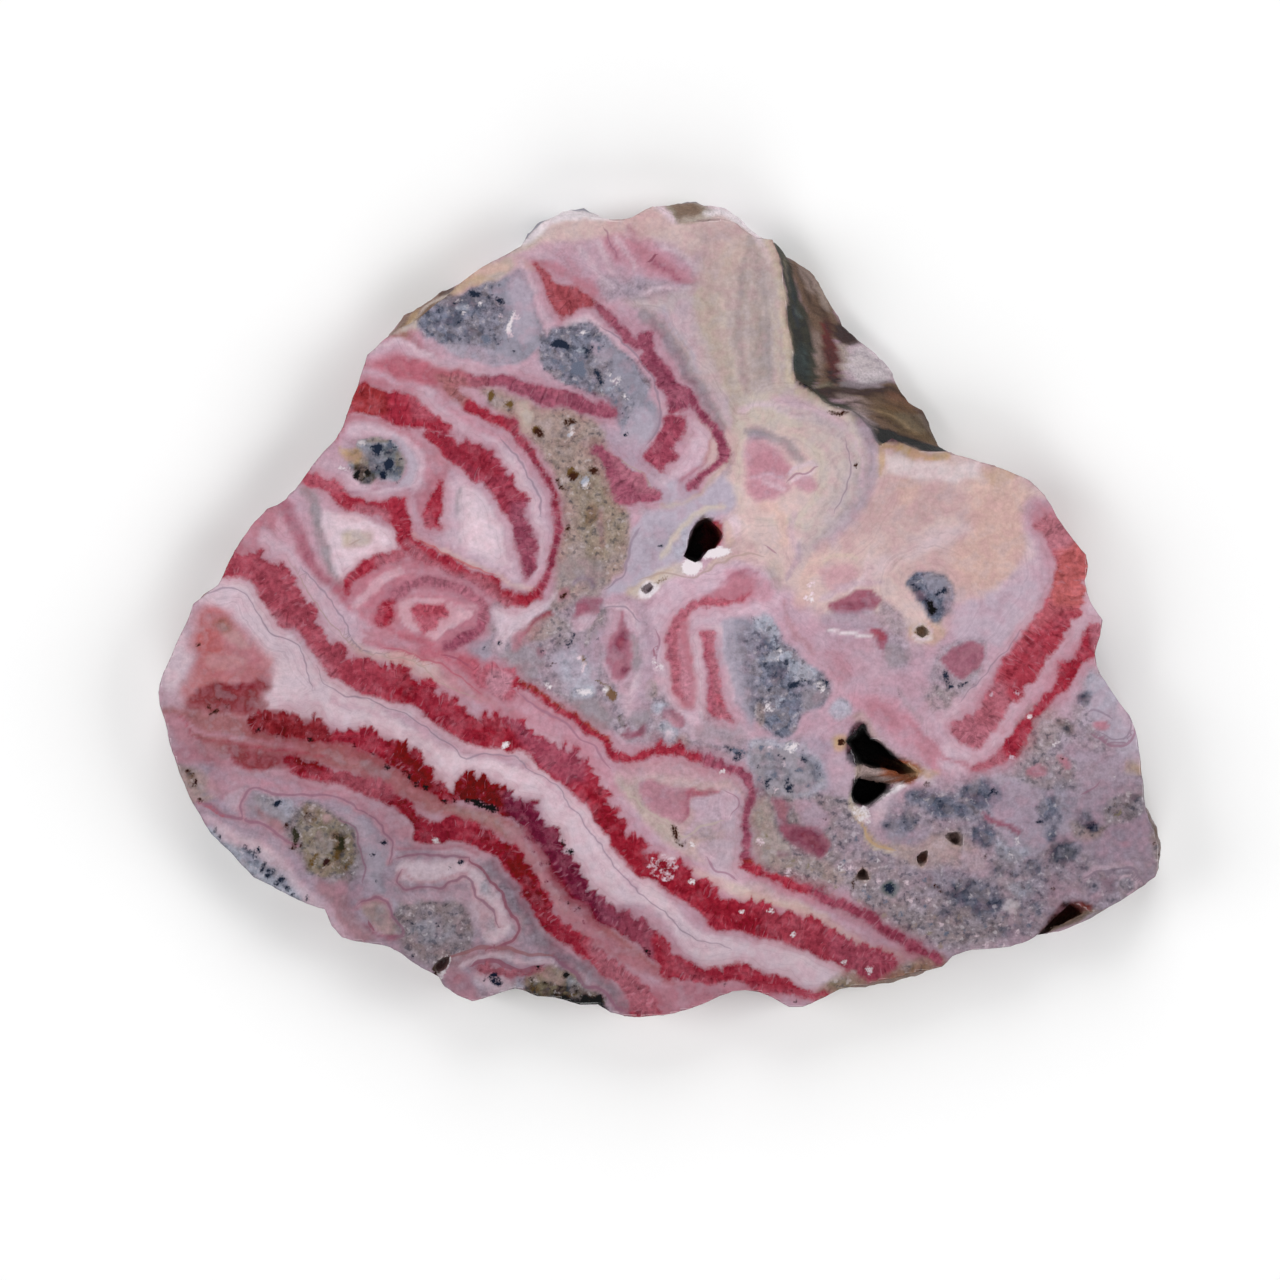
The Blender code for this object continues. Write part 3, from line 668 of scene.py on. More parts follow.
def paint_crust(stone):
    """Brown crust at the upper left and the broad rind at the upper right."""
    stone.wash("beige", 0.8, [
        (38.4, 33), (42, 30.5), (45, 28.4), (50, 25.8), (51.2, 26.8), (49, 28.4), (47, 28.4), (44.5, 30),
        (42.5, 32.2), (40, 34.8)])
    stone.wash("apricot", 0.5, [
        (46, 27), (48, 26.4), (49.8, 26.2), (50.8, 26.8), (49, 27.4), (46.6, 28)], strength=0.8)
    stone.wash("ochre", 0.5, [
        (45.2, 28), (47.2, 27.6), (49.2, 27.6), (49.4, 28.4), (47, 28.7), (45, 29.4)], strength=0.5)
    stone.wash("bark", 0.5, [
        (38.6, 32.8), (39.8, 31), (41.4, 30), (43.2, 28.8), (44.8, 28), (44, 29.2), (42.4, 30.2), (41, 31.6),
        (39.6, 33.2)], strength=0.9)
    stone.wash("tan", 0.4, [(38.4, 33.4), (39.2, 32.6), (40.2, 32.6), (39.6, 33.6)], strength=0.8)
    stone.wash("umber", 0.4, [(43.4, 28.8), (44.4, 28.2), (45.2, 28), (44.8, 28.8), (44, 29.4)], strength=0.8)
    stone.wash("beige", 0.3, [(42, 30.3), (43.4, 29.4), (44.4, 29.4), (42.8, 30.6)], strength=0.7)
    stone.brush("bark", 0.3, 0.5, [(41.6, 31.6), (42.8, 30.6), (44, 30), (45, 29.6)])
    stone.wash("ochre", 0.4, [
        (40.4, 31.4), (41.2, 30.8), (41.8, 30.4), (41.2, 31.6), (40.4, 32.4)], strength=0.6)
    stone.brush("umber", 0.2, 0.2, [(42, 31.4), (43, 30.8), (43.6, 30.3)], strength=0.8)
    stone.wash("rust", 0.3, [
        (39.1, 33.8), (40.2, 33.2), (41.3, 33.6), (42, 34.5), (41, 34.4), (39.8, 34.1)], strength=0.7)
    stone.wash("rose", 0.5, [
        (41, 32.8), (41.8, 33.2), (42.4, 34.5), (41.6, 34.6), (40.8, 33.8)], strength=0.6)
    stone.wash("blush", 0.6, [
        (35.2, 34.5), (37.2, 33.5), (39.6, 34.5), (40, 35.2), (40, 36), (37, 35.6)], strength=0.6)
    stone.rind([
        (77.6, 23.6), (80, 24.6), (82.2, 26.6), (84.2, 30), (86.4, 33), (88.4, 34.8), (89.6, 36), (90.9, 38),
        (92.9, 40), (95, 43), (95.6, 45), (92, 45.7), (88.8, 45), (87.2, 44.6), (86, 43), (84, 41.8),
        (82.2, 41.2), (81.2, 39.8), (80, 39), (79.3, 37.8), (79, 32.5), (78.4, 27.5)])
    stone.wash("grime", 0.3, [
        (77.4, 23.8), (78.4, 24.2), (79.4, 26.2), (80, 28.8), (80.6, 30.6), (81.4, 33), (81.6, 35.2),
        (81.8, 38.2), (80, 38.8), (79.4, 37.6), (79, 32.5), (78.4, 27.5)])
    stone.wash("teal", 0.4, [
        (79.7, 34.2), (80.8, 34.6), (81.2, 36.2), (80.8, 37.8), (79.8, 37.4), (79.5, 35.6)], strength=0.8)
    stone.wash("moss", 0.5, [(78.4, 25), (79, 26.2), (79.4, 28.2), (78.8, 27.6)], strength=0.5)
    stone.wash("teal", 0.4, [(78.8, 27), (79.5, 28), (79.9, 30), (79.4, 29.8)], strength=0.6)
    stone.wash("grime", 0.3, [
        (80.6, 31.8), (81.4, 33.2), (81.6, 35.2), (81.4, 37.6), (80.8, 35)], strength=0.8)
    stone.wash("bark", 0.4, [
        (79.2, 25.2), (80.6, 25.8), (82, 27.2), (83.4, 29.8), (84.2, 31.6), (83.8, 34.5), (84, 38.5),
        (82, 38.4), (81.7, 35), (81.2, 32.5), (80.4, 30), (79.8, 28)])
    stone.wash("tan", 0.5, [(80, 26), (81.2, 26.8), (82, 28.4), (81.4, 29), (80.4, 27.6)], strength=0.7)
    stone.wash("beige", 0.4, [(81.8, 27.6), (82.8, 29), (83.2, 30.4), (82.4, 30), (82, 28.8)], strength=0.6)
    stone.wash("umber", 0.4, [(80.6, 28.6), (81.4, 29.6), (81.8, 31.2), (81.2, 31)], strength=0.5)
    stone.wash("tan", 0.4, [(81.5, 33), (82.2, 33.5), (82.4, 36.2), (82, 37.6), (81.6, 35.2)], strength=0.6)
    stone.wash("umber", 0.4, [(82, 29.8), (82.8, 30.6), (83.2, 32.2), (82.4, 32)], strength=0.7)
    stone.wash("garnet", 0.3, [
        (82.7, 31.4), (83.4, 33), (83.8, 35.2), (84, 37.8), (83, 37.6), (82.5, 34.6)], strength=0.55)
    stone.wash("umber", 0.4, [
        (82.8, 32.2), (83.4, 33.4), (83.8, 35.6), (83.9, 37.6), (82.9, 37.4), (82.6, 34.6)], strength=0.9)
    stone.wash("moss", 0.4, [(81.6, 38.4), (83.6, 39.4), (84.6, 38), (84, 37.2), (82.6, 38.2)])
    stone.wash("umber", 0.3, [
        (83.8, 32), (85, 31.6), (86.4, 32.6), (86.8, 33.8), (85.8, 34.3), (84.6, 34), (83.8, 33.2)])
    stone.wash("fog", 0.3, [(85.2, 32), (86.2, 32.8), (87.2, 33.6), (86.4, 33.4)], strength=0.7)
    stone.wash("tan", 0.3, [(83.9, 34.2), (85, 34.1), (84.6, 35.4), (84.2, 36.8), (83.8, 36)], strength=0.9)
    stone.wash("milk", 0.5, [
        (84.8, 34.4), (86.8, 33.8), (88.8, 35), (90, 37.4), (88, 38), (85.8, 37.8), (84.4, 37.2),
        (84.6, 35.4)], strength=0.9)
    stone.wash("blush", 0.5, [(85.2, 35.6), (87, 35), (88.2, 36.2), (87, 37), (85.6, 37)], strength=0.6)
    stone.wash("fog", 0.3, [
        (84, 37.8), (86.2, 37.6), (89, 37.6), (90, 38), (88, 38.5), (85.8, 38.8), (84, 38.6)], strength=0.8)
    stone.wash("bark", 0.4, [
        (85.8, 39), (88, 38.4), (90.3, 37.8), (92.5, 39.8), (94.5, 42.5), (95, 44.2), (92.5, 44.4),
        (90, 43.8), (87.2, 42.4), (86.2, 40.8)])
    stone.wash("umber", 0.5, [
        (86.2, 38.8), (88.4, 38.4), (90, 38.4), (90.6, 39.2), (88.8, 39.4), (86.6, 39.8)], strength=0.6)
    stone.wash("olive", 0.5, [
        (88, 40.4), (90.8, 40.2), (93, 41.6), (94, 43.6), (91.8, 43.4), (89.2, 42.4)], strength=0.8)
    stone.wash("moss", 0.4, [(89.8, 41.2), (91.8, 41), (93.2, 42.4), (92.6, 43), (90.6, 42.4)], strength=0.6)
    stone.wash("fog", 0.4, [
        (91.8, 40.2), (93.2, 41.4), (94.2, 43.4), (93.4, 42.8), (92.2, 41.2)], strength=0.5)
    stone.brush("umber", 0.3, 0.5, [
        (82.2, 38.8), (83.5, 39.1), (85, 39.4), (86.6, 39.1), (87.8, 38.8)], strength=0.9)
    stone.brush("grime", 0.3, 1.2, [
        (81.2, 39), (82.6, 40), (84, 40.8), (85.4, 41.2), (86.6, 42.2), (88, 43.4)])
    stone.brush("black", 0.3, 0.9, [(86.6, 41.8), (87.6, 42.8), (88.4, 43.8)])
    stone.wash("teal", 0.3, [(87, 42.6), (88, 42.8), (88.6, 43.8), (88, 44.5), (87.2, 43.8)], strength=0.8)
    stone.brush("black", 0.3, 0.9, [(88, 43.2), (89.5, 43.4), (91, 43.9), (92.8, 44.5), (94.8, 44.6)])
    stone.wash("cream", 0.5, [
        (79.6, 38.8), (81.2, 39.2), (82.4, 40.2), (83.8, 40.9), (82.6, 41.2), (81, 40.4), (79.6, 39.8)])
    stone.brush("umber", 0.3, 0.4, [(82.6, 41.1), (83.8, 41.2), (85, 41.1)], strength=0.9)
    stone.brush("black", 0.3, 0.6, [(84.6, 41.4), (85.4, 42), (85.7, 43)], strength=0.9)
    stone.wash("milk", 0.5, [
        (83.8, 41), (85.2, 40.8), (86.6, 41.2), (87.6, 42.8), (87, 44.6), (86.6, 43.2),
        (85.6, 41.6)], strength=0.8)
    stone.brush("ochre", 0.3, 0.5, [(88.1, 44.5), (88.2, 46), (87.9, 47.4)], strength=0.8)
    stone.brush("ochre", 0.4, 0.7, [(89.6, 44.6), (91.5, 45.2), (93, 45.7), (94.7, 45.5)], strength=0.7)
    stone.wash("snow", 0.8, [
        (89, 45.5), (93, 46.4), (98, 46.2), (97.5, 48), (92, 48), (89.2, 47.4)], strength=0.5)
    stone.thread("umber", 0.35, [(82.8, 41.2), (83.8, 41.3), (84.8, 41.2)])
    stone.line("tan", 0.3, [(85.2, 39.6), (86.8, 41.2), (87.2, 42.4)])
    stone.brush("garnet", 0.3, 0.9, [(82.9, 32.2), (83.3, 34), (83.6, 35.8), (83.7, 37.8)], strength=0.8)
    stone.brush("umber", 0.3, 0.7, [(83.1, 32.2), (83.5, 34.5), (83.7, 37.8)], strength=0.75)
    stone.wash("umber", 0.3, [
        (82, 38.6), (85, 38.4), (88, 38.4), (90, 38.4), (88, 39), (85, 39.6), (82.6, 39.6)], strength=0.9)
    stone.wash("black", 0.3, [
        (86.8, 41.8), (88.5, 43), (90.5, 43.4), (93, 44), (94.8, 44.2), (95.2, 45), (92.5, 45.1), (90, 44.5),
        (88, 44.1), (87, 43)], strength=0.85)
    stone.brush("ochre", 0.3, 0.5, [(88, 44.6), (89.5, 44.7), (91.2, 45.4), (93, 45.9), (94.7, 45.7)])
    stone.wash("snow", 0.3, [
        (85.4, 34.8), (86.8, 34.2), (88.4, 35.2), (89.6, 37.2), (88, 37.8), (86, 37.6),
        (85, 36.6)], strength=0.7)
    stone.brush("beige", 0.3, 0.6, [(84.5, 34.4), (84.7, 35.6), (84.5, 36.8)], strength=0.8)
    stone.wash("rust", 0.5, [(89.2, 39), (91.5, 39.5), (93, 40.8), (91.2, 41.2), (89, 40.4)], strength=0.3)
    stone.spot("verdigris", 0.4,
        (78.6, 26.2), (79.1, 28), (79.6, 29.6), (80, 31.2), (80.4, 33), (79.8, 35), (80.2, 36.6),
        (80.8, 35.6))
    stone.spot("black", 0.5,
        (78.8, 27), (79.4, 29), (80, 32.2), (79.6, 33.8), (80.4, 37.2), (81, 34.4), (80.6, 38.4),
        (79.3, 30.6))
    stone.spot("steel", 0.25,
        (79, 26.8), (79.5, 28.4), (79.9, 30.4), (80.3, 32.4), (79.9, 34.4), (80.5, 36.2), (79.5, 37.2))
    stone.brush("verdigris", 0.2, 0.25, [(79, 26.8), (79.4, 29), (80, 31.2), (80.2, 33)], strength=0.7)
    stone.brush("verdigris", 0.2, 0.2, [(79.8, 34), (80, 35.6), (80.4, 37.4)], strength=0.6)
    stone.brush("ink", 0.2, 0.3, [(78.7, 26.2), (79.1, 28.4), (79.6, 30.4), (79.9, 32.6)], strength=0.7)
    stone.brush("black", 0.2, 0.3, [(80.6, 32), (80.9, 34.4), (80.8, 36.8), (80.4, 38)], strength=0.7)
    stone.brush("moss", 0.2, 0.2, [(78.4, 25.6), (78.8, 27.2), (79.2, 29)], strength=0.6)
    stone.wash("black", 0.3, [(82.9, 35), (83.8, 35), (84.1, 37.8), (83, 38)], strength=0.6)
    stone.wash("garnet", 0.2, [
        (82.6, 32.6), (83.3, 32.8), (84, 35), (84, 37.4), (83.4, 37.4), (82.8, 35)], strength=0.5)
    stone.brush("black", 0.3, 0.8, [(79.7, 33), (80, 35), (80.2, 37.4)], strength=0.5)
    stone.brush("black", 0.2, 0.4, [(79, 26.2), (79.4, 28.2), (79.8, 30.4)], strength=0.6)
    stone.brush("umber", 0.2, 0.25, [(80.6, 26.8), (81.6, 28.6), (82.4, 30.6)], strength=0.5)
    stone.brush("umber", 0.2, 0.3, [(79.9, 26.2), (80.6, 28), (81.2, 30)], strength=0.6)
    stone.brush("tan", 0.2, 0.3, [(81.2, 26.8), (82.2, 28.8), (82.9, 30.8)], strength=0.5)
    stone.brush("bark", 0.2, 0.3, [(82.2, 27.4), (83.2, 29.6), (83.8, 31.2)], strength=0.6)
    stone.brush("haze", 0.2, 0.25, [(85, 35.2), (86.8, 34.8), (88.6, 35.8)], strength=0.5)
    stone.brush("haze", 0.2, 0.2, [(85.2, 36.8), (87.2, 36.2), (89.2, 37)], strength=0.4)
    stone.wash("tan", 0.4, [
        (84.8, 41.4), (86.2, 40.8), (87.4, 42), (87.8, 43), (86.6, 42.6), (85.2, 42)], strength=0.5)
    stone.wash("olive", 0.4, [
        (87.6, 39.6), (90.4, 39.8), (93, 41.4), (94.4, 43.6), (92.4, 43.8), (89.6, 42.6)], strength=0.4)
    stone.brush("umber", 0.2, 0.3, [(88.4, 39.6), (90.2, 40.4), (92, 41.6), (93.6, 43.2)], strength=0.5)
    stone.brush("ochre", 0.2, 0.25, [(87.6, 40.4), (89.6, 41.4), (92, 43)], strength=0.4)
    stone.brush("umber", 0.2, 0.2, [(87.4, 41.2), (89.2, 42), (91, 42.8)], strength=0.5)
    stone.brush("umber", 0.3, 0.4, [(90, 38.6), (91.8, 40), (93.4, 41.8), (94.6, 44)], strength=0.8)
    stone.wash("tan", 0.3, [(83.8, 39.2), (86.2, 39.6), (87.6, 41), (86.6, 41.2), (85, 40.6)], strength=0.7)
    stone.brush("grime", 0.25, 0.5, [
        (80.4, 38), (81.8, 39.2), (83.2, 40.2), (84.8, 40.9), (86.2, 41.8), (87.6, 43.2)], strength=0.9)
    stone.brush("umber", 0.2, 0.3, [(84.6, 40.2), (86.2, 40.4), (88, 41.4), (89.8, 42.4)], strength=0.7)


def paint_inclusions(stone):
    """Grey country-rock inclusions with their dark grains."""
    stone.wash("slate", 0.4, [
        (41.8, 32.2), (43.2, 30.6), (44.7, 29.7), (47, 28.8), (50, 28), (51.5, 27.2), (52.4, 27), (53, 29),
        (54, 32.5), (54.3, 33.5), (53, 35.2), (51, 36.5), (48, 36.2), (45, 35.4), (42.8, 34.2)], rings=True)
    stone.wash("steel", 0.6, [
        (49, 29.2), (51.2, 27.4), (52.6, 27.6), (53.6, 31), (54.1, 33.5), (53, 35.4), (51.2, 36.2),
        (49.6, 35.2), (50.2, 33), (50.6, 31)])
    stone.wash("lilac", 0.6, [
        (50.8, 27.2), (52.2, 27), (53, 29), (53.6, 31), (52.6, 31.2), (51.4, 29.6)], strength=0.7)
    stone.wash("mist", 0.6, [
        (51, 28.5), (52.2, 28), (53.2, 30.5), (53.6, 33), (52.4, 34.5), (51.4, 33)], strength=0.7)
    stone.wash("storm", 0.7, [
        (42.2, 32), (44, 30.8), (46.2, 30.2), (48, 30), (48.2, 31.8), (47, 33), (45.5, 34), (44, 34.4),
        (42.8, 33.4)], strength=0.8)
    stone.wash("mist", 0.6, [
        (44, 34.8), (47, 34.4), (50, 35.2), (52, 36.2), (50, 36.6), (47, 36.2)], strength=0.6)
    stone.wash("ink", 0.5, [
        (45, 29.8), (47, 29.1), (48.4, 29.6), (47.8, 30.6), (46.2, 30.8), (44.8, 31)], strength=0.45)
    stone.wash("ink", 0.4, [(44.5, 31.8), (46, 31.4), (46.4, 32.4), (45.2, 32.8)], strength=0.5)
    stone.wash("silver", 0.3, [(45.6, 30.6), (46.6, 30.4), (47, 31.2), (46, 31.2)], strength=0.6)
    stone.wash("ink", 0.4, [(46.6, 32.8), (48, 32.4), (48.4, 33.4), (47.4, 34), (46.4, 33.6)], strength=0.35)
    stone.wash("ink", 0.3, [(44.4, 33.2), (45.2, 33), (45.6, 34), (44.8, 34.4)], strength=0.45)
    for points in (
        [(46.7, 29), (47.3, 28.9), (47.9, 29.4), (47.7, 29.8), (47, 29.5)],
        [(49.7, 29.7), (50.3, 29.8), (50.5, 30.3), (50, 30.5), (49.7, 30.1)],
    ):
        stone.grain("ink", points)
    stone.grain("storm", [(48, 33.8), (48.7, 33.7), (49, 34.3), (48.4, 34.4)])
    stone.spot("ink", 0.3,
        (45.5, 30.3), (46.1, 30), (46.8, 30.6), (47.4, 31.6), (44, 31.2), (44.6, 32.2), (46.2, 31.8),
        (49.8, 34.5), (50.4, 34), (48.8, 30), (49.2, 29.6), (45.9, 32.2))
    stone.spot("ink", 0.2,
        (47, 32.2), (47.6, 32.8), (46.6, 33.6), (45.4, 33.4), (43.4, 32.6), (48.6, 31.6), (49, 33),
        (50, 28.4), (51, 34), (51.5, 35.2), (47.8, 35))
    stone.spot("snow", 0.25, (45.8, 29.8), (46.3, 31.3), (47.9, 30.5))
    stone.grain("snow", [(50.8, 32), (51.1, 31.5), (51.4, 31.3), (51.3, 32.4), (51, 33.3), (50.7, 33.2)])
    stone.spot("milk", 0.4, (50, 31.6), (51.2, 33.4), (51.8, 31.8))
    stone.wash("slate", 0.4, [
        (54.1, 33.2), (55.6, 32.6), (57.5, 32), (59, 32.2), (60.2, 33.2), (62.2, 35), (64, 36.8), (65, 38.5),
        (64.5, 40), (63, 40.8), (61, 40.4), (59, 39.4), (56.5, 38.4), (54.6, 37), (53.8, 35)], rings=True)
    stone.wash("storm", 0.6, [
        (54.6, 33.6), (56.8, 33.4), (59, 33), (60.4, 34.2), (60.2, 36.2), (58.8, 37.2), (56.6, 37.2),
        (55, 35.8)], strength=0.6)
    stone.wash("mist", 0.5, [(59, 34.2), (60.6, 34.6), (61, 36), (59.8, 36.2)], strength=0.6)
    stone.wash("steel", 0.7, [
        (60.4, 34.2), (62.5, 35.5), (64.2, 38), (65.5, 40.5), (66, 42), (65.2, 43.6), (63.8, 44.6),
        (62.4, 43.8), (61.2, 41.2), (60.4, 38.5), (61.2, 36.5)])
    stone.wash("slate", 0.6, [(61, 39), (63, 39.5), (64, 41.2), (63.2, 42.8), (61.8, 42.5)], strength=0.6)
    stone.wash("mist", 0.6, [
        (62.5, 43), (64, 40.5), (65.5, 41.8), (65, 43.4), (63.6, 44.4), (62.4, 44)], strength=0.7)
    stone.grain("ink", [(55, 34.4), (55.6, 33.9), (56.3, 34), (57, 34.5), (57, 35), (56.4, 35), (55.7, 34.7)])
    stone.grain("storm", [(57.2, 36.2), (58, 36), (58.6, 36.8), (58.8, 37.5), (57.8, 37.4), (57.1, 37)])
    for points in (
        [(59.6, 37), (60, 37.2), (60.1, 37.8), (60.6, 38.4), (60.2, 38.6), (59.7, 37.9)],
        [(57.9, 34.8), (58.6, 34.7), (58.9, 35.1), (58.2, 35.3)],
    ):
        stone.grain("ink", points)
    stone.spot("ink", 0.3,
        (55.3, 35.4), (54.8, 36.2), (54.7, 37), (57.1, 37.6), (57, 38.2), (59.4, 38.4), (59.8, 38.8),
        (60.8, 39.4), (61.2, 39.8), (58.6, 35.6), (59.2, 34.8), (60, 33.8), (60.4, 34.4), (56.6, 35.6))
    stone.spot("storm", 0.4,
        (55.6, 36.2), (56.2, 36.8), (57.8, 38.2), (59, 39), (60, 35), (61.5, 40.2), (62, 39.2), (62.8, 38.6))
    stone.spot("ink", 0.2,
        (58.2, 33.4), (59, 33.2), (57.5, 33.2), (61.2, 38.2), (61.8, 37.6), (60.6, 36.6), (63.2, 39.6),
        (62.6, 40.6), (62.2, 41.2), (63, 41.8))
    stone.spot("snow", 0.3,
        (60.8, 37.4), (61.4, 38), (62, 37.8), (61.8, 38.4), (62.5, 39.7), (55.9, 33), (58.4, 33.2))
    stone.spot("silver", 0.4, (57.6, 35.2), (61.2, 39), (60.2, 39.2))
    stone.spot("ink", 0.3, (62.8, 43.5))
    stone.brush("milk", 0.3, 0.5, [(56.6, 32.2), (59, 32), (60.6, 33.2), (62.2, 34.5)], strength=0.7)
    stone.brush("pale", 0.3, 0.4, [
        (61.2, 33.8), (63, 35.2), (64.6, 37.2), (65.8, 39.4), (66.4, 41.2), (66, 43.2),
        (64.6, 44.6)], strength=0.8)
    stone.line("grey_line", 0.22, [
        (60, 32.6), (62.2, 34), (64, 36), (65.4, 38.4), (66, 40.8), (65.6, 42.8), (64.4, 44.4)])
    stone.wash("silver", 0.3, [
        (35.8, 44.1), (37, 43.7), (38.8, 43.9), (39.8, 44.6), (40.4, 45.8), (40.2, 47.2), (39.6, 48),
        (38.4, 47.9), (36.8, 48), (35.4, 47.4), (35, 46.5), (35.6, 45.8), (35.7, 45)], rings=True)
    stone.wash("teal", 0.4, [
        (36.8, 45), (38.4, 44.6), (39.8, 45.2), (40.2, 46.6), (39.4, 47.6), (37.6, 47.6),
        (36.6, 46.4)], strength=0.7)
    stone.wash("silver", 0.4, [
        (37, 45), (38, 44.9), (38.4, 45.6), (39.2, 46), (39.6, 46.8), (38.8, 47), (37.8, 46.4),
        (37, 46)], strength=0.8)
    stone.wash("moss", 0.4, [(36.6, 43.8), (38, 43.8), (39, 44.2), (38.2, 44.4), (37, 44.3)], strength=0.8)
    stone.wash("moss", 0.4, [
        (39.8, 45.2), (40.5, 45.6), (40.4, 46.6), (40, 47.4), (39.6, 46.6)], strength=0.7)
    stone.wash("moss", 0.5, [
        (35.6, 45.6), (36.4, 45.6), (37.2, 47), (37.4, 48.2), (36.2, 48.2), (35.4, 47.4)], strength=0.8)
    stone.wash("grime", 0.4, [(35.3, 46.8), (36, 46.4), (37, 47), (37.6, 47.8), (36.6, 48.3), (35.6, 48)])
    for points in (
        [(35.3, 47.4), (35.7, 47), (36.1, 47.1), (36, 47.7), (36.4, 48), (35.8, 47.9)],
        [(36.4, 46.8), (36.9, 46.9), (37.1, 47.4), (36.6, 47.5)],
    ):
        stone.grain("black", points)
    stone.wash("ochre", 0.5, [
        (33.8, 44.8), (34.8, 45), (35.8, 44.7), (36.2, 45.4), (35.8, 46.4), (34.8, 46.2),
        (34.2, 45.6)], strength=0.9)
    stone.wash("bark", 0.3, [(34.9, 45.2), (35.8, 45), (35.7, 45.5)], strength=0.5)
    stone.grain("ink", [
        (35.8, 44.4), (35.9, 43.8), (36.6, 43.7), (37, 43.8), (36.8, 44.1), (36.2, 44.2), (36, 44.8)])
    stone.spot("snow", 0.4, (36.2, 44.3), (36.6, 44.4))
    for points in (
        [(38.6, 44.3), (39.1, 44.1), (39.4, 44.6), (39.9, 44.9), (39.6, 45.2), (39, 44.9)],
        [(38.6, 45), (39, 45.3), (39.3, 45.5), (38.9, 45.6), (38.5, 45.6)],
        [(37.6, 46.1), (38.1, 45.9), (38.5, 46.2), (38, 46.4)],
        [(37.9, 47.3), (38.4, 47.2), (38.7, 47.6), (38.2, 47.8)],
    ):
        stone.grain("ink", points)
    stone.spot("ink", 0.25,
        (39.6, 47), (39.9, 47.4), (39.8, 48), (37.4, 45.5), (37, 44.8), (39.2, 46.6), (40.2, 46),
        (37.7, 46.8), (39.1, 47.3))
    stone.spot("storm", 0.4, (39.5, 47.4), (39.9, 46.8), (38.8, 44.6))
    stone.thread("silver", 0.15, [(37.2, 45.2), (37.7, 45.9), (38.3, 46), (39, 45.9)])
    stone.spot("snow", 0.2, (38.8, 45.9), (39.4, 46), (38.4, 46.6))
    stone.thread("snow", 0.2, [(34.1, 46.8), (34.6, 47), (35, 47.1)])
    stone.wash("slate", 0.6, [
        (72.4, 62.2), (74.5, 61.7), (75.2, 61), (77, 61.8), (78.5, 64), (80, 65.5), (81.5, 66.8),
        (82.9, 67.9), (82.9, 69.6), (82, 70.6), (80.4, 71.2), (79.8, 72.8), (78.5, 73.6), (76.8, 73.2),
        (75.7, 72), (74.8, 71.4), (73.8, 70), (72.8, 66.8), (72, 64.8)], rings=True)
    stone.wash("steel", 1.2, [
        (72.6, 62.2), (74.8, 61.5), (75.6, 64), (75.7, 70), (75.2, 72.5), (74.2, 70.4), (73.4, 68.5),
        (72.6, 66)])
    stone.wash("mist", 1.2, [
        (71.4, 62.5), (73.2, 62), (73.8, 65), (74.6, 69), (75.2, 72), (73.6, 70), (72.2, 66.5)], strength=0.8)
    stone.wash("dusk", 1.0, [
        (74, 62.5), (75.2, 63), (75.6, 67), (75.4, 71), (74.6, 69), (74.2, 65.5)], strength=0.35)
    stone.wash("silver", 0.5, [
        (75.2, 61.2), (76.8, 61.4), (78, 63.2), (77.5, 64), (75.8, 63.4)], strength=0.7)
    stone.wash("storm", 0.6, [(75.7, 63.6), (76.8, 63.4), (77.7, 64.2), (77.2, 65), (76, 64.9)], strength=0.9)
    stone.wash("storm", 0.7, [
        (76, 65.2), (77.2, 65), (79, 66), (79.6, 68.4), (79, 69.8), (77, 69.8), (75.8, 68.4)], strength=0.7)
    stone.wash("silver", 0.6, [
        (79, 66.2), (80.5, 66.2), (81.7, 67.2), (80.8, 68.2), (79.4, 68)], strength=0.9)
    stone.wash("silver", 0.4, [(76.8, 65.2), (78.4, 65), (78.4, 66.2), (77, 66.2)], strength=0.6)
    for points in (
        [(78.2, 69.9), (79.8, 69.8), (80.1, 71.2), (78.8, 71.6), (77.8, 70.8)],
        [(76.5, 71.6), (77.8, 71.2), (79, 72.2), (78.6, 73.2), (77.2, 73)],
    ):
        stone.wash("storm", 0.4, points, strength=0.9)
    stone.wash("sand", 0.5, [(75.6, 70.6), (76.4, 70.4), (76.6, 72.2), (76, 72.8)], strength=0.6)
    stone.wash("fog", 0.5, [(80.4, 69), (82.4, 69.2), (82, 70.2), (80.6, 70.8)], strength=0.6)
    stone.wash("ink", 0.3, [(77.2, 66.4), (78.4, 66.8), (78.6, 68), (77.6, 68.2)], strength=0.5)
    stone.wash("ink", 0.3, [(75.8, 64), (76.6, 63.8), (77, 64.5), (76.2, 64.6)], strength=0.45)
    stone.grain("ink", [(78.2, 66.5), (78.4, 66), (78.7, 65.8), (78.7, 66.4), (78.5, 66.8)])
    stone.grain("storm", [(78.5, 68.6), (79.4, 68.3), (80, 68.2), (79.8, 68.7), (79, 69)])
    for points in (
        [(79, 68.5), (80.2, 68.2), (81.2, 68.4)],
        [(81.8, 68.4), (82.1, 68.1), (82.8, 68), (82.6, 68.6)],
    ):
        stone.thread("ink", 0.3, points)
    stone.thread("silver", 0.3, [(77.2, 64), (78.2, 65), (79.2, 66)])
    stone.spot("ink", 0.35,
        (77.9, 65.1), (76.8, 65.2), (77.7, 67.4), (77.8, 66.2), (78.4, 67.6), (76.2, 69.2), (80, 68.6),
        (76.6, 66.4), (79, 67.1), (76.3, 67.8))
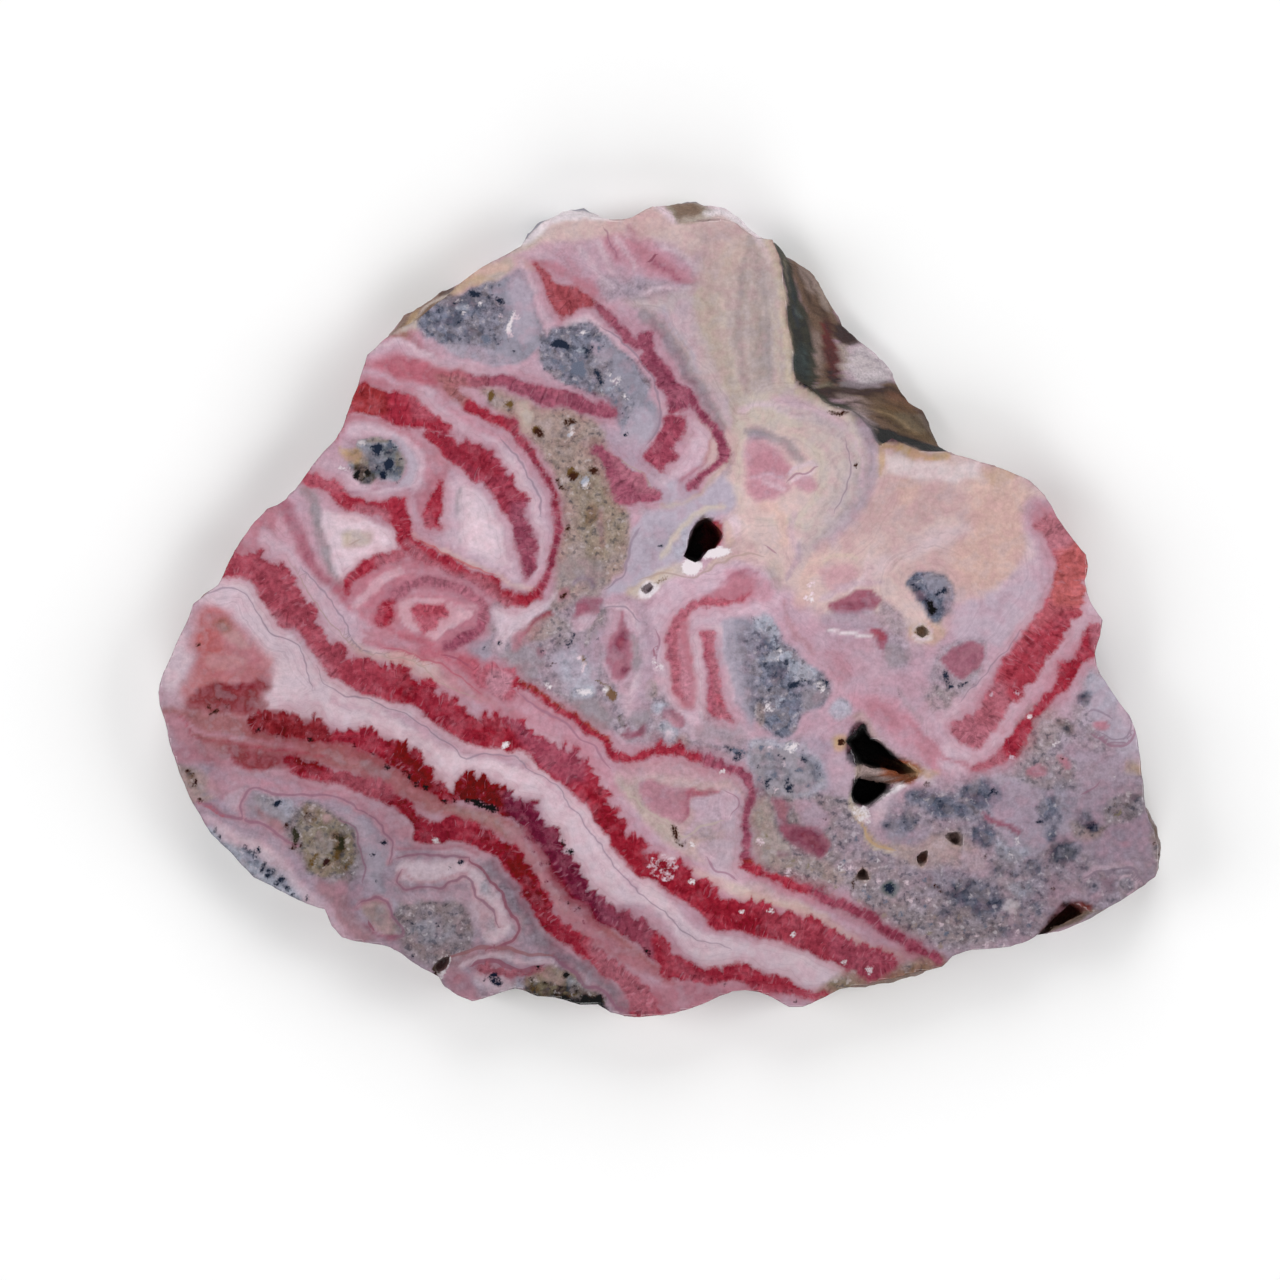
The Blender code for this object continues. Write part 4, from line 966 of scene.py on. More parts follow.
    stone.spot("ink", 0.22,
        (75.3, 61.7), (75.7, 62.7), (76, 63.2), (76.4, 62.8), (77.2, 66.8), (79.3, 67.6), (79, 69),
        (80.3, 68.8), (81, 68.6), (76.4, 66.4), (79.5, 69.6), (77, 69), (77.6, 68.4), (75.7, 64.8),
        (75.2, 64), (78.6, 69.2), (80.8, 69.2))
    stone.spot("snow", 0.35,
        (76.7, 70.3), (77, 70.7), (76.6, 70.9), (77.3, 71.1), (82.1, 68.6), (82.4, 69), (78.3, 65.3),
        (77.6, 65.9))
    stone.spot("silver", 0.4,
        (77.6, 70.4), (78, 69.8), (77.2, 65.8), (78.8, 65.4), (76.4, 61.8), (77, 62.2), (77.4, 62.8))
    stone.wash("storm", 0.4, [
        (90.5, 58.5), (91.2, 57.5), (92.2, 57), (93.5, 57.1), (94.5, 57.8), (95.3, 58.8), (95.5, 60),
        (95, 61.2), (94.3, 62), (93.5, 62.2), (92.8, 61.7), (92, 60.5), (91.2, 59.2)], rings=True)
    stone.wash("steel", 0.5, [(92.5, 57.5), (94.2, 57.8), (94.8, 59), (94, 59.6), (92.8, 58.8)], strength=0.8)
    stone.wash("haze", 0.5, [
        (94.5, 58.5), (95.6, 59.2), (95.7, 60.8), (94.8, 61.6), (94.4, 60)], strength=0.7)
    stone.wash("ink", 0.5, [
        (90.7, 58.4), (91.8, 58.2), (92.2, 59.2), (93.2, 60), (93.9, 60.6), (93.6, 61.7), (92.8, 61.4),
        (92.1, 60.2), (91.2, 59.2)], strength=0.9)
    stone.grain("black", [(92.5, 60), (93.1, 59.9), (93.4, 60.7), (93.9, 60.9), (93.4, 61.6), (92.9, 61.3)])
    stone.grain("ink", [(91, 58.5), (91.8, 58.6), (92.2, 59.1), (91.5, 59)])
    stone.spot("ink", 0.6, (93.6, 59.2), (94.3, 58.8))
    stone.wash("ochre", 0.6, [
        (91.2, 62.4), (93.5, 62.2), (94.5, 63.2), (93.6, 64.5), (91.8, 64.4), (91, 63.4)], strength=0.5)
    stone.wash("rose", 0.5, [
        (34.3, 41.6), (36.6, 41.8), (39, 42.5), (41.2, 43.4), (42.4, 44.6), (41.6, 44.4), (40, 43.6),
        (37.8, 43.1), (35.6, 43.2), (34.2, 43)], strength=0.8)
    stone.shade(0.74, 0.6, [
        (35, 43.6), (37.2, 43.4), (40, 44), (41, 46), (40.4, 47.8), (38.6, 48.6), (36, 48.2), (34.8, 46.6)])
    for points in (
        [(37.2, 44.6), (37.9, 44.4), (38.3, 44.9), (37.8, 45.5), (37.2, 45.2)],
        [(38.4, 46.2), (39.1, 45.9), (39.5, 46.6), (39, 47.2), (38.4, 46.9)],
    ):
        stone.grain("ink", points)
    stone.wash("cobalt", 0.3, [(36.6, 45.6), (38, 45.6), (39, 46.6), (38.4, 47.4), (37, 47)], strength=0.6)
    stone.wash("shell", 1.5, [
        (78.6, 38.6), (81, 39.6), (83.6, 41), (85.6, 42), (86.8, 44.6), (87.4, 47.4), (86.2, 50), (84, 52.4),
        (81.6, 54), (80, 52), (81.8, 49), (82, 46.2), (80, 43), (78, 41)], strength=0.35)


def paint_upper_left_bands(stone):
    """Crimson arcs, the large eye and the rose bands under the inclusions."""
    stone.wash("rose", 1.5, [(34.5, 35), (40, 34), (45, 36), (47, 37.8), (44, 39.5), (40, 38.5), (35, 39)])
    stone.wash("rose_mist", 1.0, [(35, 34.5), (38, 33.6), (42, 35), (40, 36.2), (36.5, 36.2)])
    stone.wash("pink", 0.8, [
        (41.8, 39), (44.5, 39.8), (48, 40.5), (50, 43), (48, 43), (44, 41.5), (41.5, 40.2)])
    stone.brush("pink", 0.5, 0.7, [(43, 34.2), (45, 35.8), (48, 36.8), (51.2, 37), (53.2, 37.2)])
    stone.brush("pale", 0.4, 0.5, [(52, 26.2), (53.5, 29.2), (54.6, 32), (54.6, 33.5)], strength=0.8)
    stone.wash("sand", 1.0, [
        (48, 38.8), (53, 40.2), (57.5, 41), (60, 42.5), (61.2, 46), (62.5, 50.5), (63.2, 53.5), (62.8, 56),
        (61.2, 58.2), (59, 59.5), (56, 59), (55.6, 56.5), (56.2, 53), (56, 49.5), (54.8, 46.5), (53, 44),
        (50, 41.2)])
    stone.wash("tan", 1.0, [(49, 39.2), (54, 40.5), (56, 42.5), (54.5, 44), (51.5, 41.2)], strength=0.8)
    stone.wash("moss", 1.0, [
        (57, 48), (60, 47.5), (62, 50), (62.8, 53), (61, 56), (58.5, 56), (58, 52)], strength=0.6)
    stone.wash("olive", 0.7, [(58.6, 50.8), (59.8, 50.6), (59.7, 52.2), (58.8, 52.4)], strength=0.7)
    stone.wash("fog", 1.0, [(56, 56), (60, 56), (60.5, 58), (58.5, 59), (56.2, 58.5)], strength=0.5)
    stone.brush("mauve", 0.5, 0.5, [(60.1, 51.2), (60, 53), (60.3, 54.5)], strength=0.4)
    stone.spot("olive", 0.8,
        (57.1, 47.2), (57.6, 47.6), (59.2, 47.2), (49.2, 39.7), (50.8, 40.4), (57, 42.3), (53.7, 43.2))
    stone.spot("umber", 0.6, (57.5, 42.4), (56.5, 42.2), (57.4, 47.8), (59.3, 47.3), (56.8, 52.7), (54, 43.5))
    stone.spot("silver", 0.7, (58.5, 48.2), (57.1, 43.4))
    stone.spot("snow", 0.45, (56.3, 48.4), (57.4, 43), (58.7, 48.7))
    stone.spot("snow", 0.3, (56, 48), (56.8, 49))
    stone.wash("beige", 0.4, [(51.8, 40.4), (53, 40.2), (53.4, 42), (52.6, 43.4), (51.8, 42.2)], strength=0.9)
    stone.thread("umber", 0.3, [(55.8, 48.2), (56.1, 48.7), (56.7, 48.6)])
    stone.band("crimson", 0.2, [
        (53.3, 26.3), (54.6, 27.1), (55.6, 28.3), (57, 28.5), (58.1, 29), (59.2, 29.7), (60.2, 30.5),
        (61, 31.4), (60.6, 31.9), (59.6, 31), (59, 30.8), (58, 31), (57, 31.5), (56, 31.7), (55.4, 31.1),
        (54.9, 29.8), (54.1, 28.2)])
    stone.ribbon("mauve", 0.1, [0.7, 0.9, 0.9, 0.8], [(60.2, 31.1), (61.4, 32.2), (62.6, 33.5), (63.8, 34.6)])
    stone.tint("dusty", 0.8, [
        (53.3, 26.2), (56, 26.8), (60.6, 30), (60.6, 32.2), (55.6, 32), (54, 28.5)], strength=0.4)
    stone.tint("mauve", 0.8, [(59.8, 30.2), (62.5, 32), (64.5, 34.5), (63, 35), (60, 32.2)], strength=0.7)
    stone.brush("rose", 0.6, 0.8, [(53.4, 26.2), (55.2, 26.6), (57.4, 27.6), (59.4, 28.8)], strength=0.5)
    stone.band("mauve", 0.2, [
        (63.6, 33.6), (64.1, 33.1), (65.2, 33.2), (65.3, 34.6), (65.8, 35.2), (66.6, 36.4), (67.6, 37.7),
        (68.5, 38.8), (69, 39.7), (68.7, 40.8), (66.8, 41.2), (66.6, 40), (65.8, 38.8), (65, 37.4),
        (64.2, 36.1), (64.3, 35.2)])
    stone.streak("plum", 0.4, 0.5, [(65, 35.4), (66, 36.6), (67, 37.8), (67.8, 39)], strength=0.6)
    stone.ribbon("mauve", 0.1, [0.9, 0.8, 0.8, 0.9, 0.9], [
        (68.4, 38.8), (69.4, 40.2), (70.4, 41.8), (71.4, 43.1), (72.4, 44.2)])
    stone.ribbon("mauve", 0.1, [0.9, 1.0, 0.9, 0.8, 0.6], [
        (72.5, 44.2), (72.4, 45.4), (71.4, 46.6), (70.2, 47.7), (68.8, 48.8)])
    stone.streak("plum", 0.3, 0.4, [(69, 39.8), (70.4, 41.8), (71.6, 43.3), (72.5, 44.4)], strength=0.7)
    stone.streak("plum", 0.3, 0.3, [(72.4, 45.2), (71.2, 46.7), (70, 47.8)], strength=0.4)
    stone.wash("pale", 0.5, [
        (68.8, 41.6), (70, 42.4), (71, 43.8), (70.4, 45.6), (69.2, 47), (67.6, 48), (66.4, 48.2),
        (66.8, 47.2), (68, 45.6), (69, 44)], strength=0.9)
    stone.brush("mauve", 0.3, 0.4, [
        (71.2, 43.8), (70.9, 45.2), (70, 46.4), (68.8, 47.6), (67.4, 48.7)], strength=0.5)
    stone.band("mauve", 0.15, [
        (66.5, 41.4), (68.5, 41.7), (68.7, 43), (68.1, 44), (67.6, 44.6), (67.3, 45.4), (67.7, 45.9),
        (66.8, 46.3), (66.4, 47.3), (65.5, 46.7), (64.6, 46), (64.5, 45.2), (65.4, 43.8), (66.1, 42.6)])
    stone.tint("crimson", 0.6, [(65, 41.2), (69, 41.2), (69, 44), (66.5, 47.6), (64, 45.6)], strength=0.35)
    stone.wash("mist", 0.8, [
        (61.5, 44), (65, 44.5), (67, 47.8), (70, 49.2), (69, 50.5), (65, 50), (62.5, 47)])
    stone.wash("milk", 0.6, [(62.5, 45.2), (65, 45.6), (66.8, 48), (66, 48.5), (64, 47)], strength=0.5)
    stone.line("tan", 0.2, [(60, 45.2), (62, 45.8), (64, 47.4), (65.5, 49), (66.2, 49.4)])
    stone.brush("haze", 0.4, 0.6, [
        (64, 51.2), (67, 51.4), (70, 50.4), (72.2, 48), (73.3, 45.5)], strength=0.7)
    stone.brush("beige", 0.3, 0.4, [(66.4, 50.6), (69, 50), (71.2, 48.2), (73, 45.8)], strength=0.8)
    stone.band("mauve", 0.3, [
        (58.8, 44.7), (60, 44.5), (61.2, 45.2), (64, 47.6), (66, 49), (66.2, 49.9), (65, 50.3), (62.2, 50.3),
        (61.2, 48.8), (60.4, 47), (60, 45.5)])
    stone.tint("rose", 0.6, [(61.2, 45.5), (64, 47), (66, 49), (64, 49.2), (62, 47.5)], strength=0.5)
    stone.wash("lilac", 0.8, [(60, 42.5), (64, 44.5), (66, 48), (64, 47), (61.5, 45)])
    stone.brush("pale", 0.6, 1.0, [
        (35.2, 36.4), (37.5, 35), (40, 34.6), (42.5, 35.6), (45, 36.6), (48, 37), (51, 37.2)], strength=0.8)
    stone.brush("milk", 0.4, 0.4, [(35.6, 35.6), (38, 34.6), (40.2, 34.3), (43, 35.4)], strength=0.7)
    stone.brush("rose_mist", 0.5, 1.2, [
        (35.2, 38), (37.2, 37.2), (39.5, 38), (42, 39.2), (44.5, 39.8)], strength=0.9)
    stone.wash("coral", 0.7, [
        (37.2, 36.2), (39.2, 35.6), (41.5, 35.7), (44, 36.6), (46.2, 37.4), (46, 38.8), (44, 38.6),
        (42, 38.4), (40, 37.8), (38.2, 37)], strength=0.8)
    stone.brush("pink", 0.4, 0.3, [(35.6, 37.2), (38, 37.4), (40, 38.4), (42.5, 39)], strength=0.8)
    stone.ribbon("mauve", 0.2, [1.1, 1.3, 1.5, 1.6, 1.3], [
        (44, 37.6), (47.5, 38.1), (50.3, 38.1), (53, 39.1), (57, 40.1), (61, 41.2)])
    stone.tint("dusty", 1.0, [(43, 36), (48, 36.5), (49, 39.2), (44, 39.2)], strength=0.8)
    stone.streak("coral", 0.4, 0.4, [(44, 37.2), (48, 37.7), (52, 38.4), (56, 39.5)], strength=0.6)
    stone.band("crimson", 0.3, [
        (35.2, 38.6), (36.2, 38.4), (37.5, 38.8), (39, 39.1), (40.2, 39.2), (41.3, 39.7), (42.4, 40.2),
        (43.2, 41.1), (44.1, 41.9), (45.1, 42.4), (45, 43), (43.8, 43.3), (42.4, 43.1), (40.2, 42.6),
        (38.5, 42.1), (37, 41.7), (35.3, 41.3), (34.5, 42.1), (33.7, 43.4), (33.4, 44), (33.8, 42.4),
        (34.4, 40.8)])
    stone.tint("coral", 0.6, [(41.2, 39.8), (43.2, 40.4), (44, 42), (42.5, 42.4), (41.2, 41.2)], strength=0.7)
    stone.tint("rust", 0.8, [(34.5, 38.6), (38.5, 39), (38.5, 41.5), (34.5, 41.5)], strength=0.25)
    stone.tint("coral", 0.8, [(33.4, 44), (34, 41), (35.2, 40.5), (35.2, 42.5)], strength=0.5)
    stone.band("crimson", 0.8, [
        (42.4, 43.1), (43.8, 43.1), (45, 43.4), (45.5, 44.1), (46.2, 44.2), (46.8, 43.8), (47.6, 44),
        (48.2, 44.7), (49, 45), (49.7, 45.6), (50.3, 46.4), (50.5, 47.3), (51.3, 47.7), (51.6, 48.6),
        (52.2, 49.1), (52.7, 49.8), (52.8, 50.8), (52.5, 51.6), (53, 52.3), (53.4, 53), (53.5, 54.1),
        (53.7, 55.2), (53.5, 56.3), (53.2, 57.3), (52.8, 58), (52.4, 57.4), (52.2, 56.5), (52, 55.5),
        (51.8, 54.5), (51.4, 53.4), (51, 52.4), (50.5, 51.4), (50, 50.6), (49.4, 49.7), (48.8, 48.8),
        (48.2, 48.2), (47.3, 47.8), (46.3, 47.1), (45.3, 46.3), (44.3, 45.4), (43.4, 44.6), (42.7, 43.9)])
    stone.tint("mauve", 1.2, [(50.8, 51.2), (54.5, 50.8), (54.5, 59), (51.5, 59)], strength=0.9)
    stone.tint("mauve", 1.5, [(44, 43), (50, 45), (53, 52), (50, 52), (46, 47)], strength=0.35)
    stone.tint("ruby", 0.6, [(44, 43.6), (48, 44.8), (50, 47.5), (48, 47.4), (45, 45.2)], strength=0.5)
    stone.tint("plum", 0.5, [(51.4, 53), (52.6, 53), (53.2, 57.5), (52.4, 57.5)], strength=0.35)
    stone.wash("pale", 0.5, [
        (41.4, 39.2), (43.2, 39), (44.8, 40.2), (46.2, 41.8), (48, 43), (49.8, 43.8), (51.4, 45.2),
        (52.8, 47), (54, 49), (54.8, 51), (55.1, 53.5), (54.8, 56.2), (54, 58.4), (53, 59.2), (52.6, 58.6),
        (53.6, 56.5), (53.8, 54.5), (53.4, 52.5), (53, 50.8), (52.6, 49.8), (51.6, 48.5), (50.8, 46.5),
        (49.8, 45), (48, 44), (46.2, 43.2), (44, 42), (42.5, 40.8)])
    stone.wash("milk", 0.4, [
        (50.4, 45.2), (51.6, 46.2), (52.4, 47.8), (53.2, 49.4), (54, 51.2), (54.2, 53.5), (54, 56),
        (53.4, 58.2), (53.8, 56.2), (53.8, 54), (53.3, 52), (52.9, 50.5), (52, 48.8), (51.2, 47.6),
        (50.6, 46.4)], strength=0.8)
    stone.brush("rose_mist", 0.5, 0.6, [
        (43.6, 39.6), (45.2, 41), (47, 42.4), (49.2, 43.4), (51, 44.6)], strength=0.8)
    stone.line("grey_line", 0.2, [(50, 44), (51.2, 45), (52.2, 46.4), (53.1, 48), (53.8, 49.7), (54.3, 51.5)])
    stone.ribbon("dusty", 0.3, [0.8, 1.2, 1.4, 0.9], [(44.6, 38.6), (45.8, 39.6), (47, 40.8), (48.6, 41.2)])
    stone.ribbon("crimson", 0.3, [0.8, 1.2, 0.9, 0.8, 0.7, 0.7, 0.8, 0.7, 0.8, 0.9], [
        (47, 40.8), (48.2, 41.2), (49.2, 41.8), (50.8, 42.4), (52, 43.8), (53.4, 45.8), (54.7, 48),
        (55.4, 49.4), (55.8, 52), (55.5, 54.8), (54.9, 57.2), (53.8, 59.2), (52.2, 60.2)])
    stone.tint("mauve", 0.8, [
        (50, 41), (54, 44), (56.8, 50), (56.5, 56), (54, 60), (54, 56), (54.5, 50), (52, 45)], strength=0.5)
    stone.streak("plum", 0.4, 0.4, [
        (53.4, 45.8), (55, 48.5), (55.8, 51.5), (55.5, 55), (54.8, 57.5)], strength=0.5)
    stone.streak("brick", 0.4, 0.3, [
        (50.5, 42), (52.2, 43.6), (54, 46.2), (55.4, 49), (56, 51.8)], strength=0.6)
    stone.band("crimson", 0.3, [
        (30.2, 47.3), (32, 47.5), (33.5, 48), (34.3, 48.6), (34.8, 49.4), (36, 49.9), (37.5, 50.2),
        (39, 50.1), (40.3, 50), (40.7, 51), (41, 52.2), (41.2, 53.5), (42, 54.2), (43, 54.8), (44.5, 55.5),
        (46, 56.2), (47, 57), (48, 57.3), (49, 57.5), (49.8, 57.7), (50, 58.5), (50.5, 59), (51.5, 59.3),
        (52.5, 59.7), (53.5, 59.2), (53.2, 60), (52, 60.6), (50.5, 60.4), (49.5, 59.8), (48, 59),
        (46.5, 58.2), (45, 57.5), (43.5, 56.8), (42.2, 56.2), (41, 55.6), (40.2, 54.8), (39.6, 54),
        (39.2, 53), (38.8, 52), (38, 51.5), (36.5, 51.4), (35, 51.2), (34, 50.5), (33, 49.5), (31.8, 48.8),
        (30.5, 48.4)])
    stone.tint("coral", 1.0, [(29.6, 47), (33.5, 47.4), (34.5, 49.2), (33, 49.8), (30, 48.8)], strength=0.8)
    stone.tint("rose", 0.6, [
        (35.5, 50.6), (38.5, 50.8), (39.2, 52), (37.5, 51.6), (35.5, 51.4)], strength=0.6)
    stone.tint("rose", 0.5, [
        (40.5, 54), (43, 55.6), (47, 58), (52, 60.5), (50, 60.4), (46, 58.4), (42, 56.2),
        (40.4, 55.2)], strength=0.6)
    stone.tint("ruby", 0.5, [(47.8, 57.4), (50, 58.3), (53, 59.7), (51, 60.2), (48.5, 58.8)], strength=0.5)
    stone.brush("peach", 0.3, 0.5, [
        (41.2, 53.4), (43, 54.3), (44.8, 55.2), (46.6, 56.2), (48, 56.7), (49.6, 56.9), (50.2, 57.8),
        (51.2, 58.6), (53, 59)], strength=0.9)
    stone.line("coral_line", 0.2, [
        (41.4, 53.8), (43, 54.6), (45, 55.6), (46.6, 56.4), (48, 57), (49.7, 57.4)])
    stone.wash("mauve", 0.6, [(41, 53.6), (42.5, 53.4), (44, 54.6), (42.5, 54.4)], strength=0.5)
    stone.wash("pale", 0.6, [
        (34.8, 42.4), (37.2, 42.4), (39.6, 43), (41.4, 44.2), (42.4, 45.8), (42.4, 47.6), (41.6, 49),
        (40, 49), (37.2, 49.4), (35.2, 49), (34.4, 48), (35.2, 47.4), (36.6, 48.4), (40, 48.2), (40.8, 47),
        (40.6, 45.2), (39.8, 44), (37.2, 43.4), (35.2, 43.6)], rings=True)
    stone.wash("mist", 0.5, [
        (39.2, 43.2), (40.8, 44.4), (41.6, 45.8), (41.6, 47.4), (40.8, 48.6), (39.6, 48.6), (40.6, 47.2),
        (40.6, 45.6), (39.8, 44.2)], strength=0.8)
    stone.brush("mauve_line", 0.3, 0.25, [
        (35, 49.2), (36.5, 49), (38.5, 48.6), (40.2, 48.7), (41.2, 49.2), (41.6, 50.5), (41.8, 52.2),
        (42.2, 53.2)], strength=0.7)
    stone.wash("rose", 0.7, [
        (42, 44), (43.2, 44.8), (44.4, 45.8), (45.2, 46.6), (44.6, 47.6), (43.8, 48.4), (43, 49.4),
        (42.4, 50.6), (42, 52.8), (41.4, 52.8), (41.2, 50.6), (41.4, 49.4), (42.4, 48),
        (42.6, 46)], strength=0.75)
    stone.brush("pink", 0.4, 0.7, [(41, 50), (41.6, 51.5), (42, 53.4), (43.8, 54.4)], strength=0.8)
    stone.band("crimson", 0.1, [
        (43.4, 48.9), (44.2, 48.2), (44.4, 48.9), (44.2, 50), (44.2, 51.5), (44.3, 52.6), (43.6, 52.9),
        (42.8, 52.6), (42.4, 51.5), (42.6, 50.2)])
    stone.tint("coral", 0.4, [(42.2, 51.6), (43.2, 51.2), (43.8, 53), (42.4, 53)], strength=0.8)
    stone.wash("pale", 0.4, [
        (44.6, 48.3), (45.5, 47.7), (46.5, 47.5), (47.5, 48), (48.5, 48.8), (49.5, 50), (50.5, 51.5),
        (51.2, 53.5), (51.8, 55.5), (52.2, 57.5), (51.8, 58.4), (50.8, 58), (49.8, 57), (48, 56.5),
        (46.2, 55.8), (45, 54.6), (44.4, 53.5), (44.3, 51.5), (44.4, 49.8)], rings=True)
    stone.brush("rose_mist", 0.3, 0.35, [
        (50, 50.2), (50.8, 52), (51.6, 54.5), (52.2, 56.5), (52.5, 58.2)], strength=0.7)
    stone.wash("milk", 0.5, [
        (45.8, 48.8), (46.8, 48.3), (48, 49), (49, 50.4), (49.8, 52.5), (50.5, 54.5), (50.9, 56.2),
        (49.5, 56.3), (47.5, 55.6), (46.2, 54.5), (45.7, 52.5), (45.5, 50.5)], strength=0.9, rings=True)
    stone.wash("fleece", 0.8, [
        (46.6, 50), (48, 50.5), (49, 52.5), (49.7, 54.8), (49, 55.6), (47.4, 54.8), (46.6, 53)], strength=0.8)
    stone.brush("fog", 0.3, 0.35, [(46.1, 48.8), (45.8, 49.8), (45.7, 51)], strength=0.8)
    stone.brush("fog", 0.3, 0.25, [(45.7, 51.2), (45.8, 53), (46.2, 54.4)], strength=0.5)
    stone.brush("pink", 0.3, 0.3, [(48.8, 49.6), (49.8, 51.6), (50.5, 53.8), (51.1, 56)], strength=0.6)
    stone.tint("mauve", 0.8, [
        (47, 36.8), (52, 37.8), (58, 39), (61.4, 40), (61.4, 41.8), (58, 41.4), (52, 40.2),
        (47.6, 39.2)], strength=0.6)


def paint_left_eyes(stone):
    """Rose and white loops left of the eye and below it."""
    stone.wash("pink", 1.0, [
        (25.6, 52), (28, 50.5), (30, 49.4), (31.8, 49), (33, 50), (32.8, 54), (34, 58), (35, 60), (34, 61),
        (31.5, 60), (29, 57), (26.5, 54.5)])
    stone.wash("rose", 0.8, [(25.2, 51.2), (27.2, 50.4), (28.4, 51.5), (28, 53), (26.2, 53.6)], strength=0.7)
    stone.wash("coral", 0.8, [(25, 52), (26.2, 52.4), (26.8, 54.5), (25.4, 54.5)], strength=0.4)
    stone.wash("pale", 0.6, [
        (28.4, 51), (29.6, 53), (30, 55.2), (29, 56), (28, 54.8), (27.6, 52.5)], strength=0.8)
    stone.brush("mauve", 0.7, 1.3, [
        (28.6, 50.6), (29.4, 52.5), (30.2, 54.5), (31.2, 56.6), (32.5, 58.4), (34, 59.8),
        (35.2, 61.2)], strength=0.75)
    stone.brush("plum", 0.4, 0.3, [(30, 54.5), (31.2, 56.6), (32.6, 58.4)], strength=0.4)
    stone.brush("fog", 0.8, 1.3, [
        (30.6, 49), (31.6, 51.2), (32.2, 53.5), (33, 56), (34.2, 58.2)], strength=0.9)
    stone.wash("milk", 0.5, [
        (32.4, 50.8), (34.5, 51.2), (37, 52), (38.8, 52.8), (39.7, 54.5), (39.4, 55.5), (38, 55.6),
        (36.4, 56.2), (35, 57.2), (34.4, 58.4), (33.7, 57.5), (33.1, 55.8), (32.7, 53.8),
        (32.2, 52)], rings=True)
    stone.wash("fleece", 0.6, [
        (33.4, 51.4), (35.6, 52), (38, 53), (38.8, 54.8), (36.6, 55.6), (35, 56.4), (34, 55.6),
        (33.4, 53.6)], strength=0.8)
    stone.wash("beige", 0.5, [
        (34.4, 53.2), (36, 53), (37.4, 53.4), (37.2, 54.4), (35.6, 54.8), (34.2, 54.4)], strength=0.8)
    stone.wash("cream", 0.4, [(34.2, 53.4), (35, 53.4), (35, 54.6), (34.2, 54.6)], strength=0.5)
    stone.line("tan", 0.2, [(35.1, 54.3), (35.6, 54.1), (36.1, 54)])
    stone.ribbon("crimson", 0.2, [0.5, 1.1, 1.3, 1.2, 1.0], [
        (34.6, 59), (35.2, 57.8), (36.4, 56.9), (37.6, 56.2), (38.8, 55.7), (40.2, 55.7)])
    stone.tint("rose", 0.5, [(37.6, 55.6), (41, 55.2), (41, 56.5), (38, 57)], strength=0.6)
    stone.wash("rose_mist", 0.8, [
        (35, 60), (36.2, 58), (38, 56.8), (40, 56.2), (43, 56.6), (46, 58), (49, 59.8), (48.8, 60.6),
        (46, 59.6), (43, 58.4), (40, 58.8), (38.5, 60), (37.8, 62), (36.6, 63), (35.6, 61.8)])
    stone.brush("fleece", 0.4, 0.9, [
        (35.6, 60.6), (36.6, 59.4), (37.8, 58.4), (38.8, 57.6), (39.9, 56.9)], strength=0.8)
    stone.brush("rose", 0.4, 0.5, [(36.2, 61.6), (37.2, 60.2), (38.4, 59), (40, 57.8)], strength=0.7)
    stone.wash("pink", 0.6, [
        (41, 56.6), (44, 57.2), (47, 58.8), (49.2, 60), (48, 60), (45, 58.6), (42, 57.8)], strength=0.8)
    stone.wash("rose_mist", 0.8, [
        (37.6, 60), (40, 58.6), (43, 58.2), (46, 58.8), (48.5, 60.4), (48.8, 62.2), (47.8, 63.6),
        (45.5, 64.8), (42.5, 64.8), (39.5, 64), (37.6, 62.5)])
    stone.ribbon("mauve", 0.2, [0.9, 1.2, 1.0, 0.9, 1.0, 1.2, 0.9, 0.6], [
        (38, 62.2), (38.4, 60.6), (39.6, 59.4), (41.2, 58.5), (43.6, 58.3), (46, 58.9), (47.8, 60),
        (48.4, 61.4), (47.8, 63), (46.2, 64), (44.4, 64.6)])
    stone.tint("rose", 1.0, [(37.4, 58), (49, 57.8), (49.2, 65), (37.4, 65)], strength=0.5)
    stone.band("crimson", 0.2, [
        (37.8, 61.2), (38.6, 60.4), (39.4, 60.6), (39.6, 61.4), (39, 62.4), (38.2, 62.8), (37.6, 62.2)])
    stone.tint("coral", 0.3, [(37.6, 61.2), (38.4, 60.6), (38.4, 62.6), (37.6, 62.4)], strength=0.6)
    stone.brush("pink", 0.4, 0.5, [
        (39.4, 62.5), (39.2, 61.2), (40, 60), (41.4, 59.2), (44, 59.2), (46.2, 59.7),
        (47.6, 60.6)], strength=0.9)
    stone.wash("fleece", 0.3, [
        (40, 60.4), (41.2, 59.8), (43.2, 59.7), (45.2, 60.1), (47.4, 60.7), (47.6, 61.2), (46.4, 62),
        (45, 63), (43.6, 64.1), (42.4, 63.7), (42.8, 63.2), (41.6, 63), (40.4, 62.2),
        (39.9, 61.2)], strength=0.95, rings=True)
    stone.brush("mauve_line", 0.2, 0.2, [
        (43.6, 64.1), (45, 63.2), (46.4, 62.2), (47.4, 61.2), (46, 60.6), (44.6, 60.3)], strength=0.6)
    stone.band("coral", 0.2, [
        (41.1, 60.8), (42.4, 60.4), (44.5, 60.4), (44.9, 61.2), (44.2, 62.2), (43.4, 63.1), (42.5, 63.2),
        (42.2, 62.4), (41.2, 61.6)])
    stone.tint("crimson", 0.4, [(41.1, 60.6), (44.5, 60.6), (44, 61.6), (42, 61.6)], strength=0.5)
    stone.wash("pale", 0.6, [
        (47.8, 60), (49, 60.6), (49.4, 63), (48.4, 64.6), (47, 65), (48, 63)], strength=0.9)
    stone.wash("coral", 0.7, [
        (35.8, 63.2), (38, 63), (40, 63.2), (42.5, 63.8), (44, 64.8), (42, 65.2), (39, 65),
        (36.8, 64.4)], strength=0.8)
